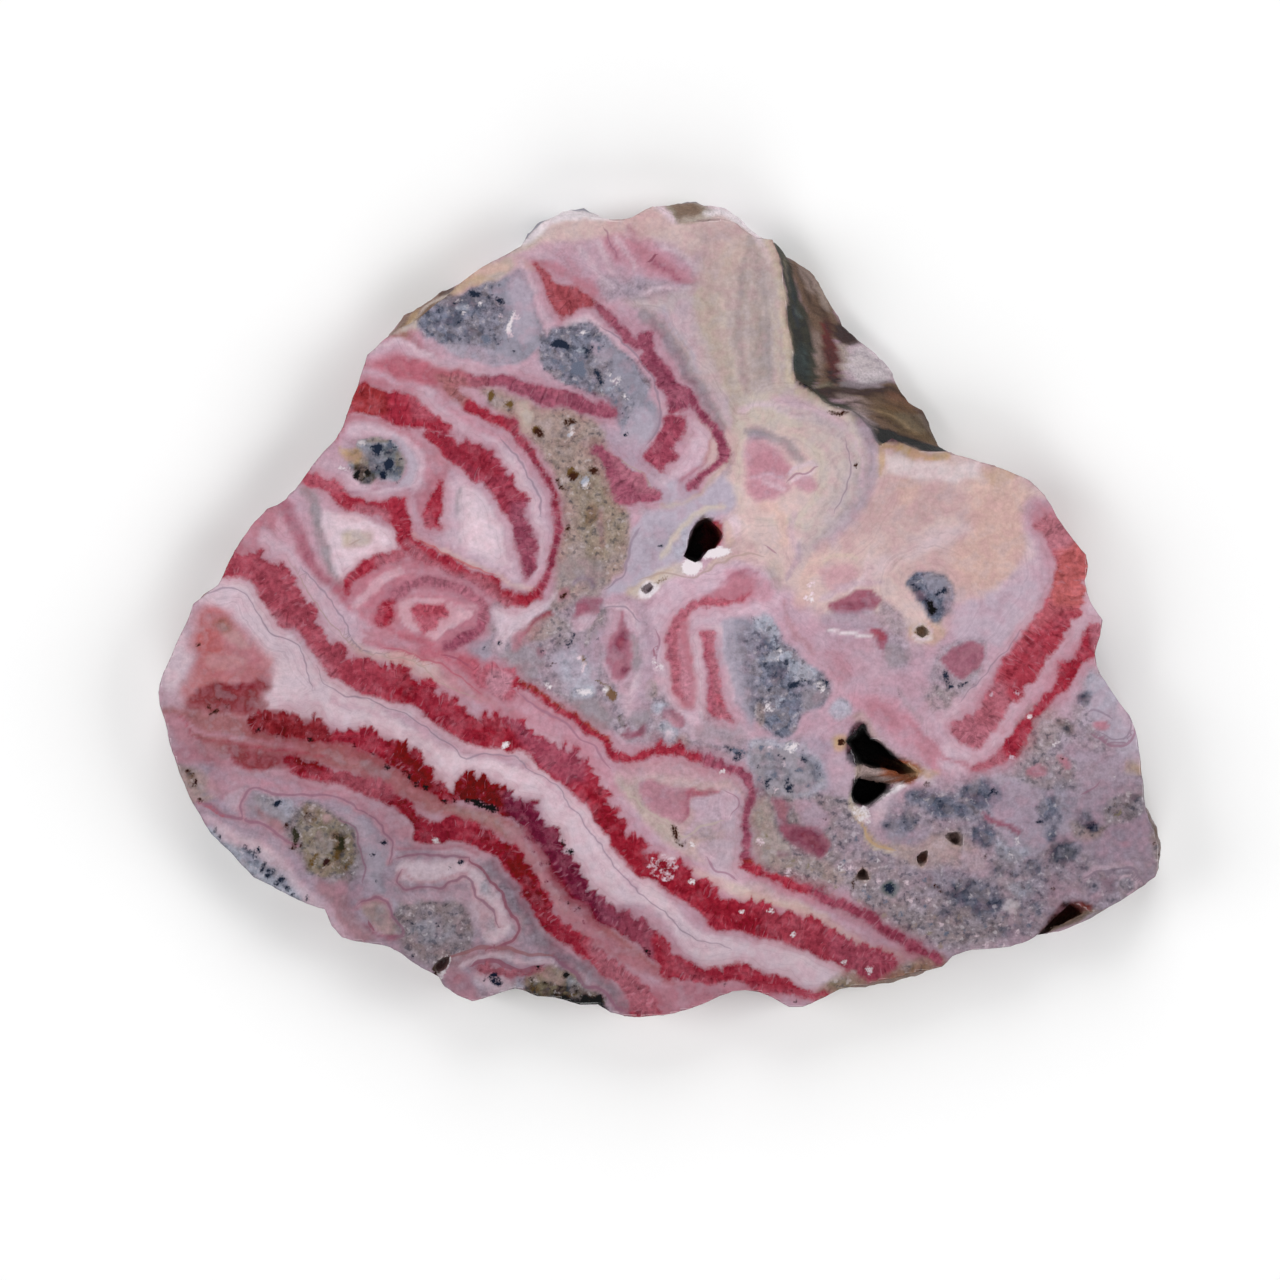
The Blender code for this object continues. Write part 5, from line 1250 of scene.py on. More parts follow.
    stone.brush("coral", 0.5, 0.5, [
        (39, 65), (42, 65.2), (45.2, 65.5), (46.8, 65.5), (47.8, 67.2)], strength=0.8)
    stone.wash("rose", 1.0, [
        (42, 64.8), (46, 64.8), (48, 66.8), (50, 69), (48, 70), (45, 69), (43, 66.8)], strength=0.8)
    stone.ribbon("mauve", 0.2, [0.8, 1.0, 0.6], [(45.2, 64.6), (46.6, 63.6), (48, 63)])
    stone.brush("pale", 0.6, 1.4, [
        (27.2, 54), (28.6, 56), (30, 58), (31.5, 60.2), (32.8, 62.8), (34.2, 64.6), (36, 65.4), (38.5, 65.8),
        (41, 66.2), (44, 67.8)], strength=0.9)
    stone.brush("milk", 0.4, 0.6, [
        (28, 54.8), (29.4, 56.6), (30.8, 58.6), (32.2, 60.8), (33.4, 63.2), (35, 64.8)], strength=0.7)
    stone.line("grey_line", 0.16, [
        (30.2, 56.6), (31.6, 58.4), (33, 60), (34.2, 61.8), (35, 63.6), (36.2, 64.8), (38.5, 65.4)])
    stone.wash("coral", 1.5, [
        (33.8, 59), (35.2, 57.2), (37.6, 55.6), (41, 55.2), (45, 56.6), (49.4, 59.2), (49.6, 62),
        (48.4, 64.6), (45, 65.8), (40, 65.6), (36, 65.2), (34.4, 62.5)], strength=0.42)
    stone.wash("rose", 0.8, [
        (22.8, 53), (23.8, 51.2), (25.2, 50.2), (25.8, 52), (26.2, 54.5), (25, 55.2), (23.2, 55.6),
        (22.2, 56)], strength=0.85)
    stone.wash("coral", 1.5, [
        (25.6, 52), (28, 50), (30, 52), (32, 56), (35, 60), (34.5, 61.5), (31, 60), (28, 56)], strength=0.3)
    stone.wash("rose", 1.5, [
        (33, 64), (36, 65), (42, 66.5), (50, 70), (48, 70.6), (42, 68), (36, 66.8), (33, 65.5)], strength=0.3)
    stone.brush("coral", 0.6, 0.6, [
        (31.8, 68.4), (34.5, 69.2), (37.2, 70.2), (40.2, 70.9), (42.8, 72.4), (45.2, 74)], strength=0.6)


def paint_red_cloud(stone):
    """The rose cloud at the left end with its white and grey rims."""
    stone.wash("pale", 1.0, [
        (16.5, 69), (17.2, 66), (19, 62.5), (21.5, 60), (24.5, 60), (27, 64), (30, 69), (29, 71.2),
        (23, 70.5), (18, 70.5)])
    stone.wash("milk", 0.8, [
        (20, 57.8), (23.5, 58.2), (26.2, 60.2), (28.5, 63.2), (31.2, 65.5), (33, 69), (30, 71.2), (28, 69),
        (26.2, 66), (24.5, 62), (22.5, 60.4), (19.5, 60.4)])
    stone.wash("fleece", 1.0, [
        (21.2, 58.8), (23.6, 59.2), (25.2, 60.6), (26.2, 62.5), (24.6, 62.2), (22.8, 60.6),
        (21, 60.4)], strength=0.7)
    stone.wash("fleece", 1.2, [
        (26.8, 66), (29, 66.8), (30.5, 69), (31.8, 71.2), (30, 71.2), (28, 70), (26.8, 68.5)], strength=0.8)
    stone.wash("fleece", 1.2, [
        (18.2, 63.2), (19, 65), (18.8, 67.2), (17.6, 69), (16.4, 69), (16.6, 66.5)], strength=0.7)
    stone.wash("coral_line", 1.8, [
        (20, 61), (21.2, 60.4), (23, 60.8), (24.2, 63), (26, 64.6), (27.8, 66.4), (27.2, 68.4), (27.8, 70),
        (26.2, 71.6), (22.5, 71.6), (19, 70.8), (18, 69), (19.2, 66.8), (19, 64.8),
        (19, 63.5)], strength=0.75)
    stone.wash("rose", 1.0, [
        (23.2, 64), (26.2, 65), (27.6, 67.2), (26.8, 69), (24, 68), (22.2, 66.4)], strength=0.35)
    stone.wash("coral_line", 0.8, [
        (19.6, 64), (21.2, 63.4), (22.4, 64.4), (24, 66), (26.2, 67), (25.8, 69), (23, 69.4), (20.5, 69),
        (19.6, 67.2)], strength=0.3)
    stone.wash("blush", 0.6, [(20.6, 65.6), (23, 65.4), (25, 66.4), (23.6, 67.2), (21.2, 66.8)], strength=0.3)
    stone.brush("coral", 0.3, 0.3, [(21.4, 67.6), (23.6, 66.8), (26.2, 66)], strength=0.4)
    stone.wash("coral_line", 0.3, [
        (19.8, 63.4), (20.6, 62.8), (21.4, 63), (22.2, 64), (22.2, 65), (21.2, 65.5), (20, 65.5),
        (19.5, 64.8)], strength=0.8)
    stone.brush("coral_line", 0.3, 0.4, [
        (20.1, 62.6), (20.3, 61.6), (21.2, 61.1), (22.2, 61.3)], strength=0.6)
    stone.wash("blush", 0.5, [(22.6, 62), (24, 63.6), (25, 65), (23.6, 64.6), (22.4, 63.6)], strength=0.5)
    stone.wash("rust", 0.4, [
        (21.5, 61.8), (23, 61.6), (23.6, 62.8), (22.6, 63.4), (21.6, 62.8)], strength=0.4)
    stone.wash("olive", 0.3, [(21.8, 62), (22.6, 62), (22.8, 62.8), (22, 62.8)], strength=0.3)
    stone.wash("brick", 1.0, [
        (18.6, 70.4), (19.8, 69), (21.8, 68.4), (24, 68.6), (25.8, 67.8), (27.6, 69), (28.4, 70.6),
        (26.2, 71.6), (23.2, 71.2), (21, 71.6), (19.2, 71.2)], strength=0.85)
    stone.wash("brick", 0.6, [
        (19.6, 69), (21.5, 68.6), (24.5, 68.4), (27, 69), (26.8, 70.6), (25, 71), (22.6, 70.4),
        (20.5, 70)], strength=0.9)
    stone.wash("ruby", 0.4, [
        (20.6, 68.8), (22.5, 68.4), (25.6, 68.3), (25.8, 69), (24, 69.4), (22.2, 69.4)], strength=0.7)
    stone.brush("garnet", 0.15, 0.2, [(20.6, 69), (22, 68.7), (23.6, 68.8), (25.4, 68.6)], strength=0.6)
    stone.wash("dusty", 1.0, [
        (16.5, 70.6), (20, 71.2), (24, 71.6), (26.2, 72.8), (30, 74), (35, 74.6), (39, 76.6), (42.8, 79.2),
        (41.8, 80.4), (39.2, 79.2), (35, 77.6), (30, 75.8), (24, 75.2), (19, 74.6), (17.2, 73)])
    stone.wash("rose_mist", 0.6, [
        (16.6, 71.2), (18.4, 71.8), (19.6, 73.6), (21.4, 75), (20.6, 76.2), (18.2, 75.2),
        (17, 73.5)], strength=0.7)
    stone.wash("brick", 0.8, [
        (25, 70.2), (27.5, 70.8), (30, 71.4), (32.2, 72.4), (33.6, 73.8), (31.2, 74), (28, 73.2),
        (25.8, 72.2)], strength=0.6)
    stone.spot("umber", 0.35, (20.7, 70.6), (21.8, 69.9), (22.6, 70.5), (21, 71.4), (21.3, 71.2))
    stone.spot("umber", 0.5, (21.6, 71.1), (19.7, 64.5))
    stone.brush("rose_mist", 0.4, 0.45, [
        (17.2, 72.2), (19.6, 72.8), (22.5, 73.7), (26.2, 74.1), (30.5, 74.8), (34.5, 75.1)], strength=0.8)
    stone.brush("coral", 0.3, 0.3, [
        (23.2, 74.3), (26.2, 74.8), (29.6, 75), (33, 75.7), (35.2, 76.4)], strength=0.7)
    stone.brush("rose_mist", 0.3, 0.35, [
        (18.6, 75.6), (21.5, 75.8), (24.5, 77.2), (28.5, 77.6), (33, 78.2), (37.2, 79.6)], strength=0.7)
    stone.brush("crimson", 0.3, 0.3, [(18, 71.8), (20, 73.8), (23, 74.4)], strength=0.6)
    stone.line("grey_line", 0.14, [
        (19.6, 59.6), (22.5, 58.8), (24.3, 59.2), (25.6, 61.2), (27, 63.1), (29.5, 64.5), (30.7, 66.5),
        (31.3, 69)])
    stone.brush("shell", 0.2, 0.2, [
        (26.2, 61.2), (27.6, 62.4), (29.2, 63.4), (30.4, 65), (31.4, 67.2)], strength=0.5)
    stone.wash("rust", 0.5, [(21.8, 55.3), (23.2, 54.8), (24, 56.2), (22.8, 57.4), (21.8, 57)], strength=0.5)


def paint_main_bands(stone):
    """The three toothed crimson bands that sweep from the left end to the lower right."""
    stone.wash("pale", 0.8, [
        (26.2, 53), (30, 56), (35, 61), (40, 64), (45, 66), (50, 70), (56, 73.5), (60, 77), (65, 83),
        (68, 86.2), (66, 83.5), (61, 79), (56, 76), (50, 71.5), (44, 68), (38, 66), (33, 63), (29, 58.5),
        (26.2, 54.8)], strength=0.8)
    stone.wash("blush", 0.7, [
        (35, 64), (38, 65), (41.5, 65.2), (45, 66.8), (48, 68.8), (50, 70.6), (47.8, 70.2), (45, 68.8),
        (42, 67.6), (39, 66.4), (36, 65.6)], strength=0.9)
    stone.wash("apricot", 0.5, [(38.5, 65.2), (41.2, 65.6), (43, 66.8), (41, 66.4), (39, 66)], strength=0.4)
    stone.wash("rose", 0.5, [
        (36, 62.6), (38.5, 63.3), (41, 64.1), (43.6, 64.7), (45.8, 65), (47.8, 65.6), (49.6, 66.8),
        (51.2, 68.4), (52.2, 70.2), (50.5, 70.2), (49, 69.2), (47, 67.8), (45, 66.6), (42.5, 65.6), (40, 65),
        (37.8, 64.3)], strength=0.85)
    stone.brush("coral", 0.5, 0.6, [
        (36.6, 64), (39.6, 65), (42.8, 66), (45.5, 67.3), (48, 69.2)], strength=0.6)
    stone.line("coral", 0.2, [(38.4, 64.6), (40, 65.1), (43, 66.1), (45.5, 67.3), (48, 69.2)])
    stone.line("mauve", 0.25, [(44, 65.4), (46.2, 66.2), (48, 67.7)])
    stone.wash("milk", 0.8, [
        (20, 58.5), (25, 58.2), (28.5, 63), (32, 66.5), (36, 69.5), (40, 70.2), (45, 73.5), (47.8, 74.8),
        (52.5, 75.2), (55.5, 77.8), (59, 81.2), (62, 85.8), (66, 89), (70, 93), (78, 94.5), (87, 98),
        (83, 99.6), (77, 97.2), (70, 96.5), (65, 90.5), (60, 90.5), (56, 85), (53, 80), (45, 79), (40, 74.2),
        (34, 72.8), (28, 71), (25, 71.2), (28, 66)])
    stone.wash("dusty", 0.8, [
        (30, 74.2), (35, 74.6), (40, 77.5), (45, 80.2), (50, 81.5), (54, 84.5), (56, 88), (62, 93.5),
        (68, 98.5), (64, 97), (58, 93.5), (53, 87), (50, 83.5), (42, 80.8), (36, 77.5), (30, 75.7)])
    stone.wash("dusty", 0.6, [
        (35.2, 74.8), (37.2, 75.2), (39.2, 77), (41.2, 78.2), (42, 79.6), (40, 79), (37.5, 77.2),
        (35.6, 76.2)], strength=0.6)
    stone.wash("fog", 0.5, [(35.8, 75.8), (37.6, 76.4), (39.2, 77.8), (38, 78), (36.4, 77)], strength=0.35)
    stone.wash("tan", 0.5, [
        (44, 80.4), (48, 81.2), (52, 83.2), (54.5, 86.2), (56.6, 90), (60, 93), (59, 93.8), (55.5, 90.5),
        (53, 86.8), (50, 83.2), (46, 81.8)], strength=0.4)
    stone.wash("rose_mist", 0.4, [
        (50, 82.4), (53, 83.8), (54.8, 87), (57.5, 91.2), (62, 95), (60, 94.6), (56, 91.5), (53.8, 88),
        (51.8, 84.8)], strength=0.5)
    stone.wash("rose", 0.8, [(56, 90), (60, 93), (65, 96.5), (69, 99), (64, 97), (59, 94)], strength=0.6)
    stone.wash("pale", 0.8, [
        (18, 76.5), (26, 77), (33, 78.5), (40, 81.5), (48, 85), (53, 91.5), (57, 95), (62, 100), (60, 100),
        (55, 95), (50, 89), (45, 86), (39, 83), (33, 80), (25, 78.5)])
    stone.wash("rose", 0.8, [
        (18, 74.5), (25, 76.8), (32, 78.5), (40, 82), (40, 84), (33, 80.5), (25, 79),
        (18.5, 78)], strength=0.7)
    stone.wash("pink", 0.6, [
        (38, 70.5), (43, 72.5), (47, 75), (52, 75.7), (54.5, 78.2), (59, 83), (62.5, 88), (64, 89), (61, 86),
        (57.5, 81.2), (54, 77.8), (50, 76.2), (45, 75), (40, 72)])
    stone.line("grey_line", 0.14, [
        (31.8, 66.8), (32.6, 68.4), (34, 69.4), (35.6, 69.7), (37.8, 70.4), (40, 71.1), (42.5, 72.6),
        (44, 73.8), (45.2, 74.6), (46.5, 75.7), (48, 75.4), (50.5, 75.6), (52, 75.6), (53, 77), (54.5, 77.8),
        (56.2, 79), (57.5, 81.2), (59, 83.2), (60.5, 85.2), (62.2, 87.6), (65.5, 90.5), (69, 93.5), (73, 95)])
    stone.brush("rose_mist", 0.5, 0.5, [(33, 70), (37, 71.2), (40, 73), (43, 74.2), (45, 76.2)], strength=0.4)
    stone.wash("fleece", 0.8, [
        (33, 70.4), (36, 71.6), (39.2, 72.2), (41.5, 74.2), (44, 76.2), (43, 74.4), (45.5, 75.6), (48, 76.4),
        (50.5, 76.6), (53, 78.8), (51.2, 78.2), (48, 76.8), (45.5, 77.2), (43.6, 77), (41, 74.8), (38, 72.8),
        (34.5, 72.2)], strength=0.5)
    stone.line("tan", 0.12, [
        (29, 56), (31.8, 60.6), (35, 64.4), (38.5, 65.8), (41.5, 66.2), (45, 68.8), (48, 70)])
    stone.band("crimson", 1.0, [
        (21.8, 54.5), (23.6, 54.8), (24.8, 55.3), (26.2, 54.8), (26.6, 55.8), (27, 56.5), (27.8, 56.2),
        (28.5, 56.3), (28.9, 57.1), (29.5, 57.8), (29.7, 58.8), (30.3, 59.4), (30.7, 60.3), (31.5, 60.6),
        (31.7, 61.6), (32.2, 62.5), (32.8, 63.8), (33.8, 64.4), (34.7, 65), (35.2, 66.3), (36.1, 65.5),
        (37.5, 66.3), (38.4, 66.4), (38.8, 67), (39.3, 66.3), (40, 66.7), (40.5, 66.2), (41.2, 67.3),
        (41.8, 68.3), (42.5, 67.8), (43.8, 68.2), (43.5, 69.1), (44.7, 69.5), (45.6, 69.8), (46.3, 70.6),
        (46.7, 71.3), (47.8, 72.1), (48.5, 71.2), (49.2, 71.7), (49.8, 71.2), (50.5, 71.6), (51.6, 71.7),
        (52.5, 72.2), (53.3, 72.9), (54.3, 73.6), (55, 74.3), (55.8, 74.5), (56.7, 74.2), (56.9, 75),
        (58, 74.8), (58, 75.7), (58.8, 76.2), (59.3, 77), (59.9, 77.9), (60.5, 78.8), (61.2, 79), (61, 79.9),
        (61.3, 80.8), (61.9, 80.9), (61.8, 81.7), (62.8, 82.2), (62.4, 83), (63.3, 83.5), (64.2, 83.8),
        (64.8, 84.5), (64.5, 85), (65.6, 85.2), (66.2, 85.8), (67.2, 86.2), (68.2, 86), (69.5, 87.5),
        (71.2, 88.5), (72.8, 90), (74.5, 89.8), (76.5, 90.2), (78.3, 91.2), (81.2, 91.7), (83.5, 93),
        (85.2, 94), (87.2, 94.5), (89.3, 95.5), (89.9, 96.3), (87.5, 98.1), (85.5, 97.2), (82.5, 96),
        (80, 94.7), (77, 94), (74.5, 93.2), (71.5, 92.8), (69, 90.5), (66, 88.6), (64, 87.6), (62.2, 85.8),
        (60.5, 83.5), (59.5, 82), (58.5, 80.5), (57.5, 79.5), (56.5, 78.4), (54.8, 77.5), (53.3, 76),
        (52.5, 75.2), (50.8, 75.2), (49, 74.8), (47, 74.6), (45, 73.3), (43, 71.8), (40.5, 70.3),
        (38.5, 69.9), (37, 69.7), (34.5, 68.4), (32.6, 67.2), (31, 65), (29.8, 63), (28, 62.5), (26.2, 60),
        (25, 58), (23.2, 57.8), (21.8, 57.7)])
    stone.tint("rose", 1.0, [
        (22.5, 54.5), (26.2, 54.8), (29, 57), (32, 62), (34.5, 65.5), (33, 66.8), (30, 63.5), (27, 61),
        (24, 58)], strength=0.2)
    stone.tint("coral", 1.2, [
        (21.8, 54.5), (30, 56), (37, 65), (38, 70), (33, 68), (27, 62), (21.8, 58)], strength=0.35)
    stone.tint("ruby", 0.8, [
        (39.6, 66.4), (41.2, 67.2), (41.8, 68.5), (41.4, 70.2), (39.8, 70)], strength=0.8)
    stone.tint("ruby", 0.8, [
        (46, 70), (50, 71.5), (52, 75), (49, 74.8), (47.5, 74), (46.5, 72)], strength=0.6)
    stone.tint("mauve", 1.0, [
        (50.5, 71.6), (54.5, 73.8), (58, 75.2), (58.5, 78), (56, 78), (53, 75.5)], strength=0.6)
    stone.tint("ruby", 0.9, [
        (58.5, 79), (61.5, 80), (63.2, 83.5), (66, 85.6), (68, 89), (64, 87.6), (61, 84),
        (59.5, 81.5)], strength=0.7)
    stone.tint("ruby", 0.8, [(68, 87), (74, 90.5), (80, 92.2), (80, 94), (74, 92.8), (69, 90)], strength=0.6)
    stone.tint("mauve", 1.0, [(83, 93.5), (90, 96), (88, 98.5), (84, 96.5)], strength=0.5)
    stone.tint("coral", 1.0, [(76, 91), (90, 95), (90, 98.5), (80, 95)], strength=0.35)
    stone.tint("rose", 0.6, [(26, 60), (30, 63.2), (34.5, 68.4), (33, 67.2), (28, 62.5)], strength=0.5)
    stone.band("ruby", 1.2, [
        (25.2, 71.2), (27, 71.2), (29, 71.3), (30, 71.6), (31, 72), (31.5, 71.2), (32.2, 72.2), (33, 73),
        (34.5, 73.2), (36.5, 72.7), (37.5, 73.2), (38.5, 73.5), (39.6, 74), (40.5, 74.2), (41.2, 75),
        (42, 75.2), (42.7, 76.3), (43.4, 77), (44, 77.9), (44.6, 78.8), (45.2, 79), (45.8, 78), (46.8, 77),
        (47.5, 77.6), (49, 77.8), (50, 78.5), (51.1, 79), (51.6, 79.8), (52.6, 79.9), (53.6, 80.2),
        (53.4, 81.2), (54.3, 81.8), (55, 82.7), (55.8, 83.2), (56.4, 84), (56.5, 85), (57.2, 85.8), (58, 87),
        (58.6, 88.1), (60, 89.6), (60.8, 90.3), (62.5, 91.2), (64.8, 92.2), (65.8, 93.5), (66.8, 94.8),
        (68.2, 96.2), (67.2, 97.5), (65.5, 96.2), (63.5, 94.3), (61.5, 93), (59.7, 91.8), (58, 90.2),
        (56.7, 89.2), (55.8, 88), (55, 86.8), (54.5, 85.5), (54, 84.5), (53, 83.5), (52, 82.6), (51, 81.8),
        (49.8, 81.3), (48, 80.2), (46.5, 80), (45.2, 80.2), (44, 80), (42.5, 79), (41, 77.9), (40, 77.2),
        (38.5, 76.2), (37.2, 75.4), (35, 74.6), (32, 74.2), (30, 74), (27.5, 73.5), (25, 72.8)])
    stone.tint("garnet", 0.8, [(37.5, 73.5), (41, 75), (44, 79), (42, 79), (39, 76.5)], strength=0.7)
    stone.tint("garnet", 1.0, [
        (45.2, 79), (47, 77.2), (50, 78.6), (52, 80), (50.5, 81.5), (48, 80.2), (46, 80)], strength=0.9)
    stone.tint("plum", 1.0, [
        (50.5, 79), (54, 80.5), (57, 85), (60, 89.5), (62, 92), (60, 92), (56, 88), (53, 83.5),
        (51, 81.8)], strength=0.9)
    stone.tint("crimson", 1.0, [(32, 72.2), (38, 73.3), (38.5, 75.5), (32, 74.5)], strength=0.8)
    stone.tint("brick", 0.8, [(25, 71.2), (31.6, 71.6), (33, 74.2), (25, 73)], strength=0.7)
    stone.tint("mauve", 0.8, [
        (60, 89), (65, 92), (68.5, 96.2), (67, 97.8), (63, 94), (60, 91.5)], strength=0.7)
    stone.wash("crimson", 0.5, [
        (22.6, 74.7), (24, 75.1), (25.6, 75.2), (27.2, 76), (27.8, 76.6), (26.2, 77.1), (24, 76.8),
        (23, 75.8)], strength=0.9)
    stone.wash("brick", 0.4, [(23.2, 75), (25, 75.8), (26.8, 76.8), (24.4, 76.4)], strength=0.6)
    stone.band("crimson", 0.6, [
        (28.3, 75.7), (30, 75.6), (32, 76.5), (33.5, 77), (35, 77.5), (36.5, 77.7), (38, 77.9), (39.2, 79),
        (40, 79.7), (41.2, 80.3), (42, 81.3), (43.2, 82.2), (44.5, 82), (46, 81.8), (47.5, 82.2),
        (48.6, 82.8), (49.7, 83.5), (50.5, 84.3), (51.6, 84.4), (52.2, 85.3), (52.8, 86.3), (53.5, 87.2),
        (54.2, 88.4), (55, 90), (56, 91.8), (57.5, 93), (59, 94), (60.3, 95.2), (62, 96.3), (63.2, 97.2),
        (64.5, 98.5), (65.5, 100), (66.2, 101.8), (63.6, 102), (62.8, 100), (61.8, 98.5), (60, 97.2),
        (58.5, 95.8), (57.2, 94.6), (55.8, 94.2), (54.5, 92.8), (53.3, 91.2), (52.2, 89.5), (51.2, 87.6),
        (50, 86.2), (49, 85.5), (48, 84.9), (46.5, 84.1), (45, 84), (43, 84.3), (41.5, 84), (41.3, 83),
        (40.9, 82), (40, 81.2), (39, 80.6), (38, 80), (35.5, 79), (33.5, 78.3), (30, 77.7), (28.8, 76.8)])
    stone.tint("ruby", 0.5, [(30, 75.5), (31.8, 75.7), (31.6, 77), (30.4, 76.8)], strength=0.8)
    stone.tint("ruby", 0.8, [
        (39.5, 79.5), (41.5, 80.5), (42.5, 81.8), (41, 82.2), (39.6, 81.2)], strength=0.6)
    stone.tint("ruby", 0.9, [
        (47.5, 82.3), (52, 85), (55, 90.5), (54.5, 92.5), (51.5, 87.5), (49, 85.2)], strength=0.7)
    stone.tint("garnet", 0.6, [
        (50.5, 84.5), (52.5, 86.2), (54.5, 90), (53, 90.5), (51.2, 87.2)], strength=0.5)
    stone.tint("rose", 0.8, [(59, 94), (64, 97.5), (66, 101.8), (63, 101), (60, 97.2)], strength=0.6)
    stone.tint("garnet", 0.6, [(28.6, 75.6), (32, 75.8), (32.2, 77.4), (29.6, 77.2)], strength=0.6)
    stone.tint("rose", 0.8, [(33, 76.4), (39, 78), (39, 80), (34, 78.6)], strength=0.35)
    stone.spot("black", 0.7, (38.8, 76.8), (57.1, 85.1))
    stone.spot("black", 0.35,
        (40.5, 77.3), (41, 77.8), (25.8, 73), (27.8, 73.6), (30.9, 73.9), (35.3, 74.5), (37.3, 75.4),
        (56.3, 84), (54.8, 86.3), (56.9, 90.1), (57.7, 90.9), (64.5, 95), (56.6, 84.3), (72.6, 98.4),
        (79.6, 100.3))
    stone.spot("black", 0.5, (41.7, 78.3), (42.6, 78.8), (44.4, 80), (45.5, 80), (46.9, 80))
    stone.grain("black", [
        (47, 79.8), (47.8, 79.9), (48.6, 80.5), (49.6, 80.8), (50, 81.2), (49.4, 81.4), (48.2, 80.9),
        (47.3, 80.3)])
    stone.grain("snow", [(49.9, 74.8), (50.3, 74.2), (50.8, 74.5), (50.3, 75)])
    stone.spot("snow", 0.5,
        (43.6, 84), (69.3, 88.2), (74.2, 91.2), (77, 91.2), (79.3, 93.3), (84.5, 96.2), (86.8, 97.2),
        (66.8, 86))
    # painted highlight: these milk spots, the snow wash below and the snow spot at (66.8, 86) stand for a
    # glint of light off a cleaved crystal
    stone.spot("milk", 0.35,
        (65.2, 85.8), (65.7, 86.2), (66.1, 85.6), (66.5, 86.2), (67, 86.6), (65.6, 86.9), (66.2, 87.2),
        (66.8, 87.4), (67.3, 86), (67.6, 86.8), (65.9, 87.8), (66.4, 88), (67.1, 87.7), (65, 86.6),
        (65.4, 87.5))
    stone.wash("snow", 0.8, [
        (65.2, 85.8), (66.5, 85.3), (67.8, 86.2), (67.4, 87.6), (66, 88.2), (65, 87.2)], strength=0.5)
    stone.band("crimson", 0.6, [
        (47.5, 96.8), (48.5, 96.2), (50.5, 96.9), (53, 97), (54.5, 96.6), (53.5, 97.4), (50.5, 97.6),
        (48.5, 97.4)])
    stone.tint("rose", 0.6, [(47, 96), (54.5, 96), (54.5, 98), (47, 98)], strength=0.7)
    stone.ribbon("coral", 0.4, [0.7, 0.9, 1.0, 0.9, 0.8], [
        (66.2, 94.8), (68.5, 96.8), (71.5, 97.4), (74.5, 97), (76.5, 98)])
    stone.band("crimson", 0.6, [
        (66, 93.5), (68.5, 96.2), (71.5, 96.7), (74.5, 96.4), (76.5, 97.4), (79, 97.8), (80.3, 99),
        (82.8, 99.4), (81.5, 100), (79, 99.6), (77, 99.4), (75.5, 99.2), (73.5, 97.9), (71.2, 98.4),
        (70, 98.4), (68, 97.8), (66, 97.2)])
    stone.tint("coral", 0.8, [
        (66, 94), (70, 97.5), (76, 98.5), (82.8, 99.5), (78, 100), (70, 99)], strength=0.6)
    stone.wash("brick", 0.6, [
        (18.6, 70), (20, 69), (22.6, 69), (25, 69), (26.8, 70), (26.2, 71.2), (24, 71.2),
        (21.4, 70.6)], strength=0.75)
    stone.wash("fleece", 0.8, [
        (27.6, 66.2), (29.6, 66.6), (30.4, 68.6), (30, 69.8), (28.4, 69.8), (27.2, 69)], strength=0.7)
    stone.wash("brick", 0.5, [
        (23.2, 74.6), (25.8, 74.8), (28, 75.6), (27.8, 76.8), (26.2, 77), (24, 76.4)], strength=0.7)
    stone.brush("crimson", 0.3, 0.25, [(24, 74.6), (27, 74.8), (30, 75.2), (33, 75.8)], strength=0.6)
    stone.wash("dusty", 0.8, [
        (19.6, 74.2), (22.6, 74.4), (23.2, 75.6), (21.4, 76), (19.8, 75.4)], strength=0.5)
    stone.wash("matrix", 0.8, [
        (18, 77.2), (20.6, 76.8), (21.2, 78.6), (19.6, 79.4), (18.4, 78.6)], strength=0.6)
    stone.wash("mauve", 0.6, [
        (52.8, 82), (54.6, 83.8), (56, 86.2), (57.4, 88.4), (59.2, 90.6), (60.4, 92.8), (58.8, 92.6),
        (56.8, 90.6), (55, 88.2), (53.8, 85.8), (52.2, 83.6)], strength=0.5)
    stone.wash("plum", 0.4, [
        (54, 84), (55.2, 85.2), (56.4, 87.2), (58, 89.2), (59.6, 91.4), (58.4, 91.2), (56.6, 89.4),
        (55, 87)], strength=0.4)
    stone.spot("plum", 0.3,
        (53.2, 85), (54, 86.4), (54.8, 88), (56, 89.8), (57.2, 91.2), (52.8, 83.8), (58.4, 92.2))
    stone.spot("black", 0.5, (56.9, 85.2))


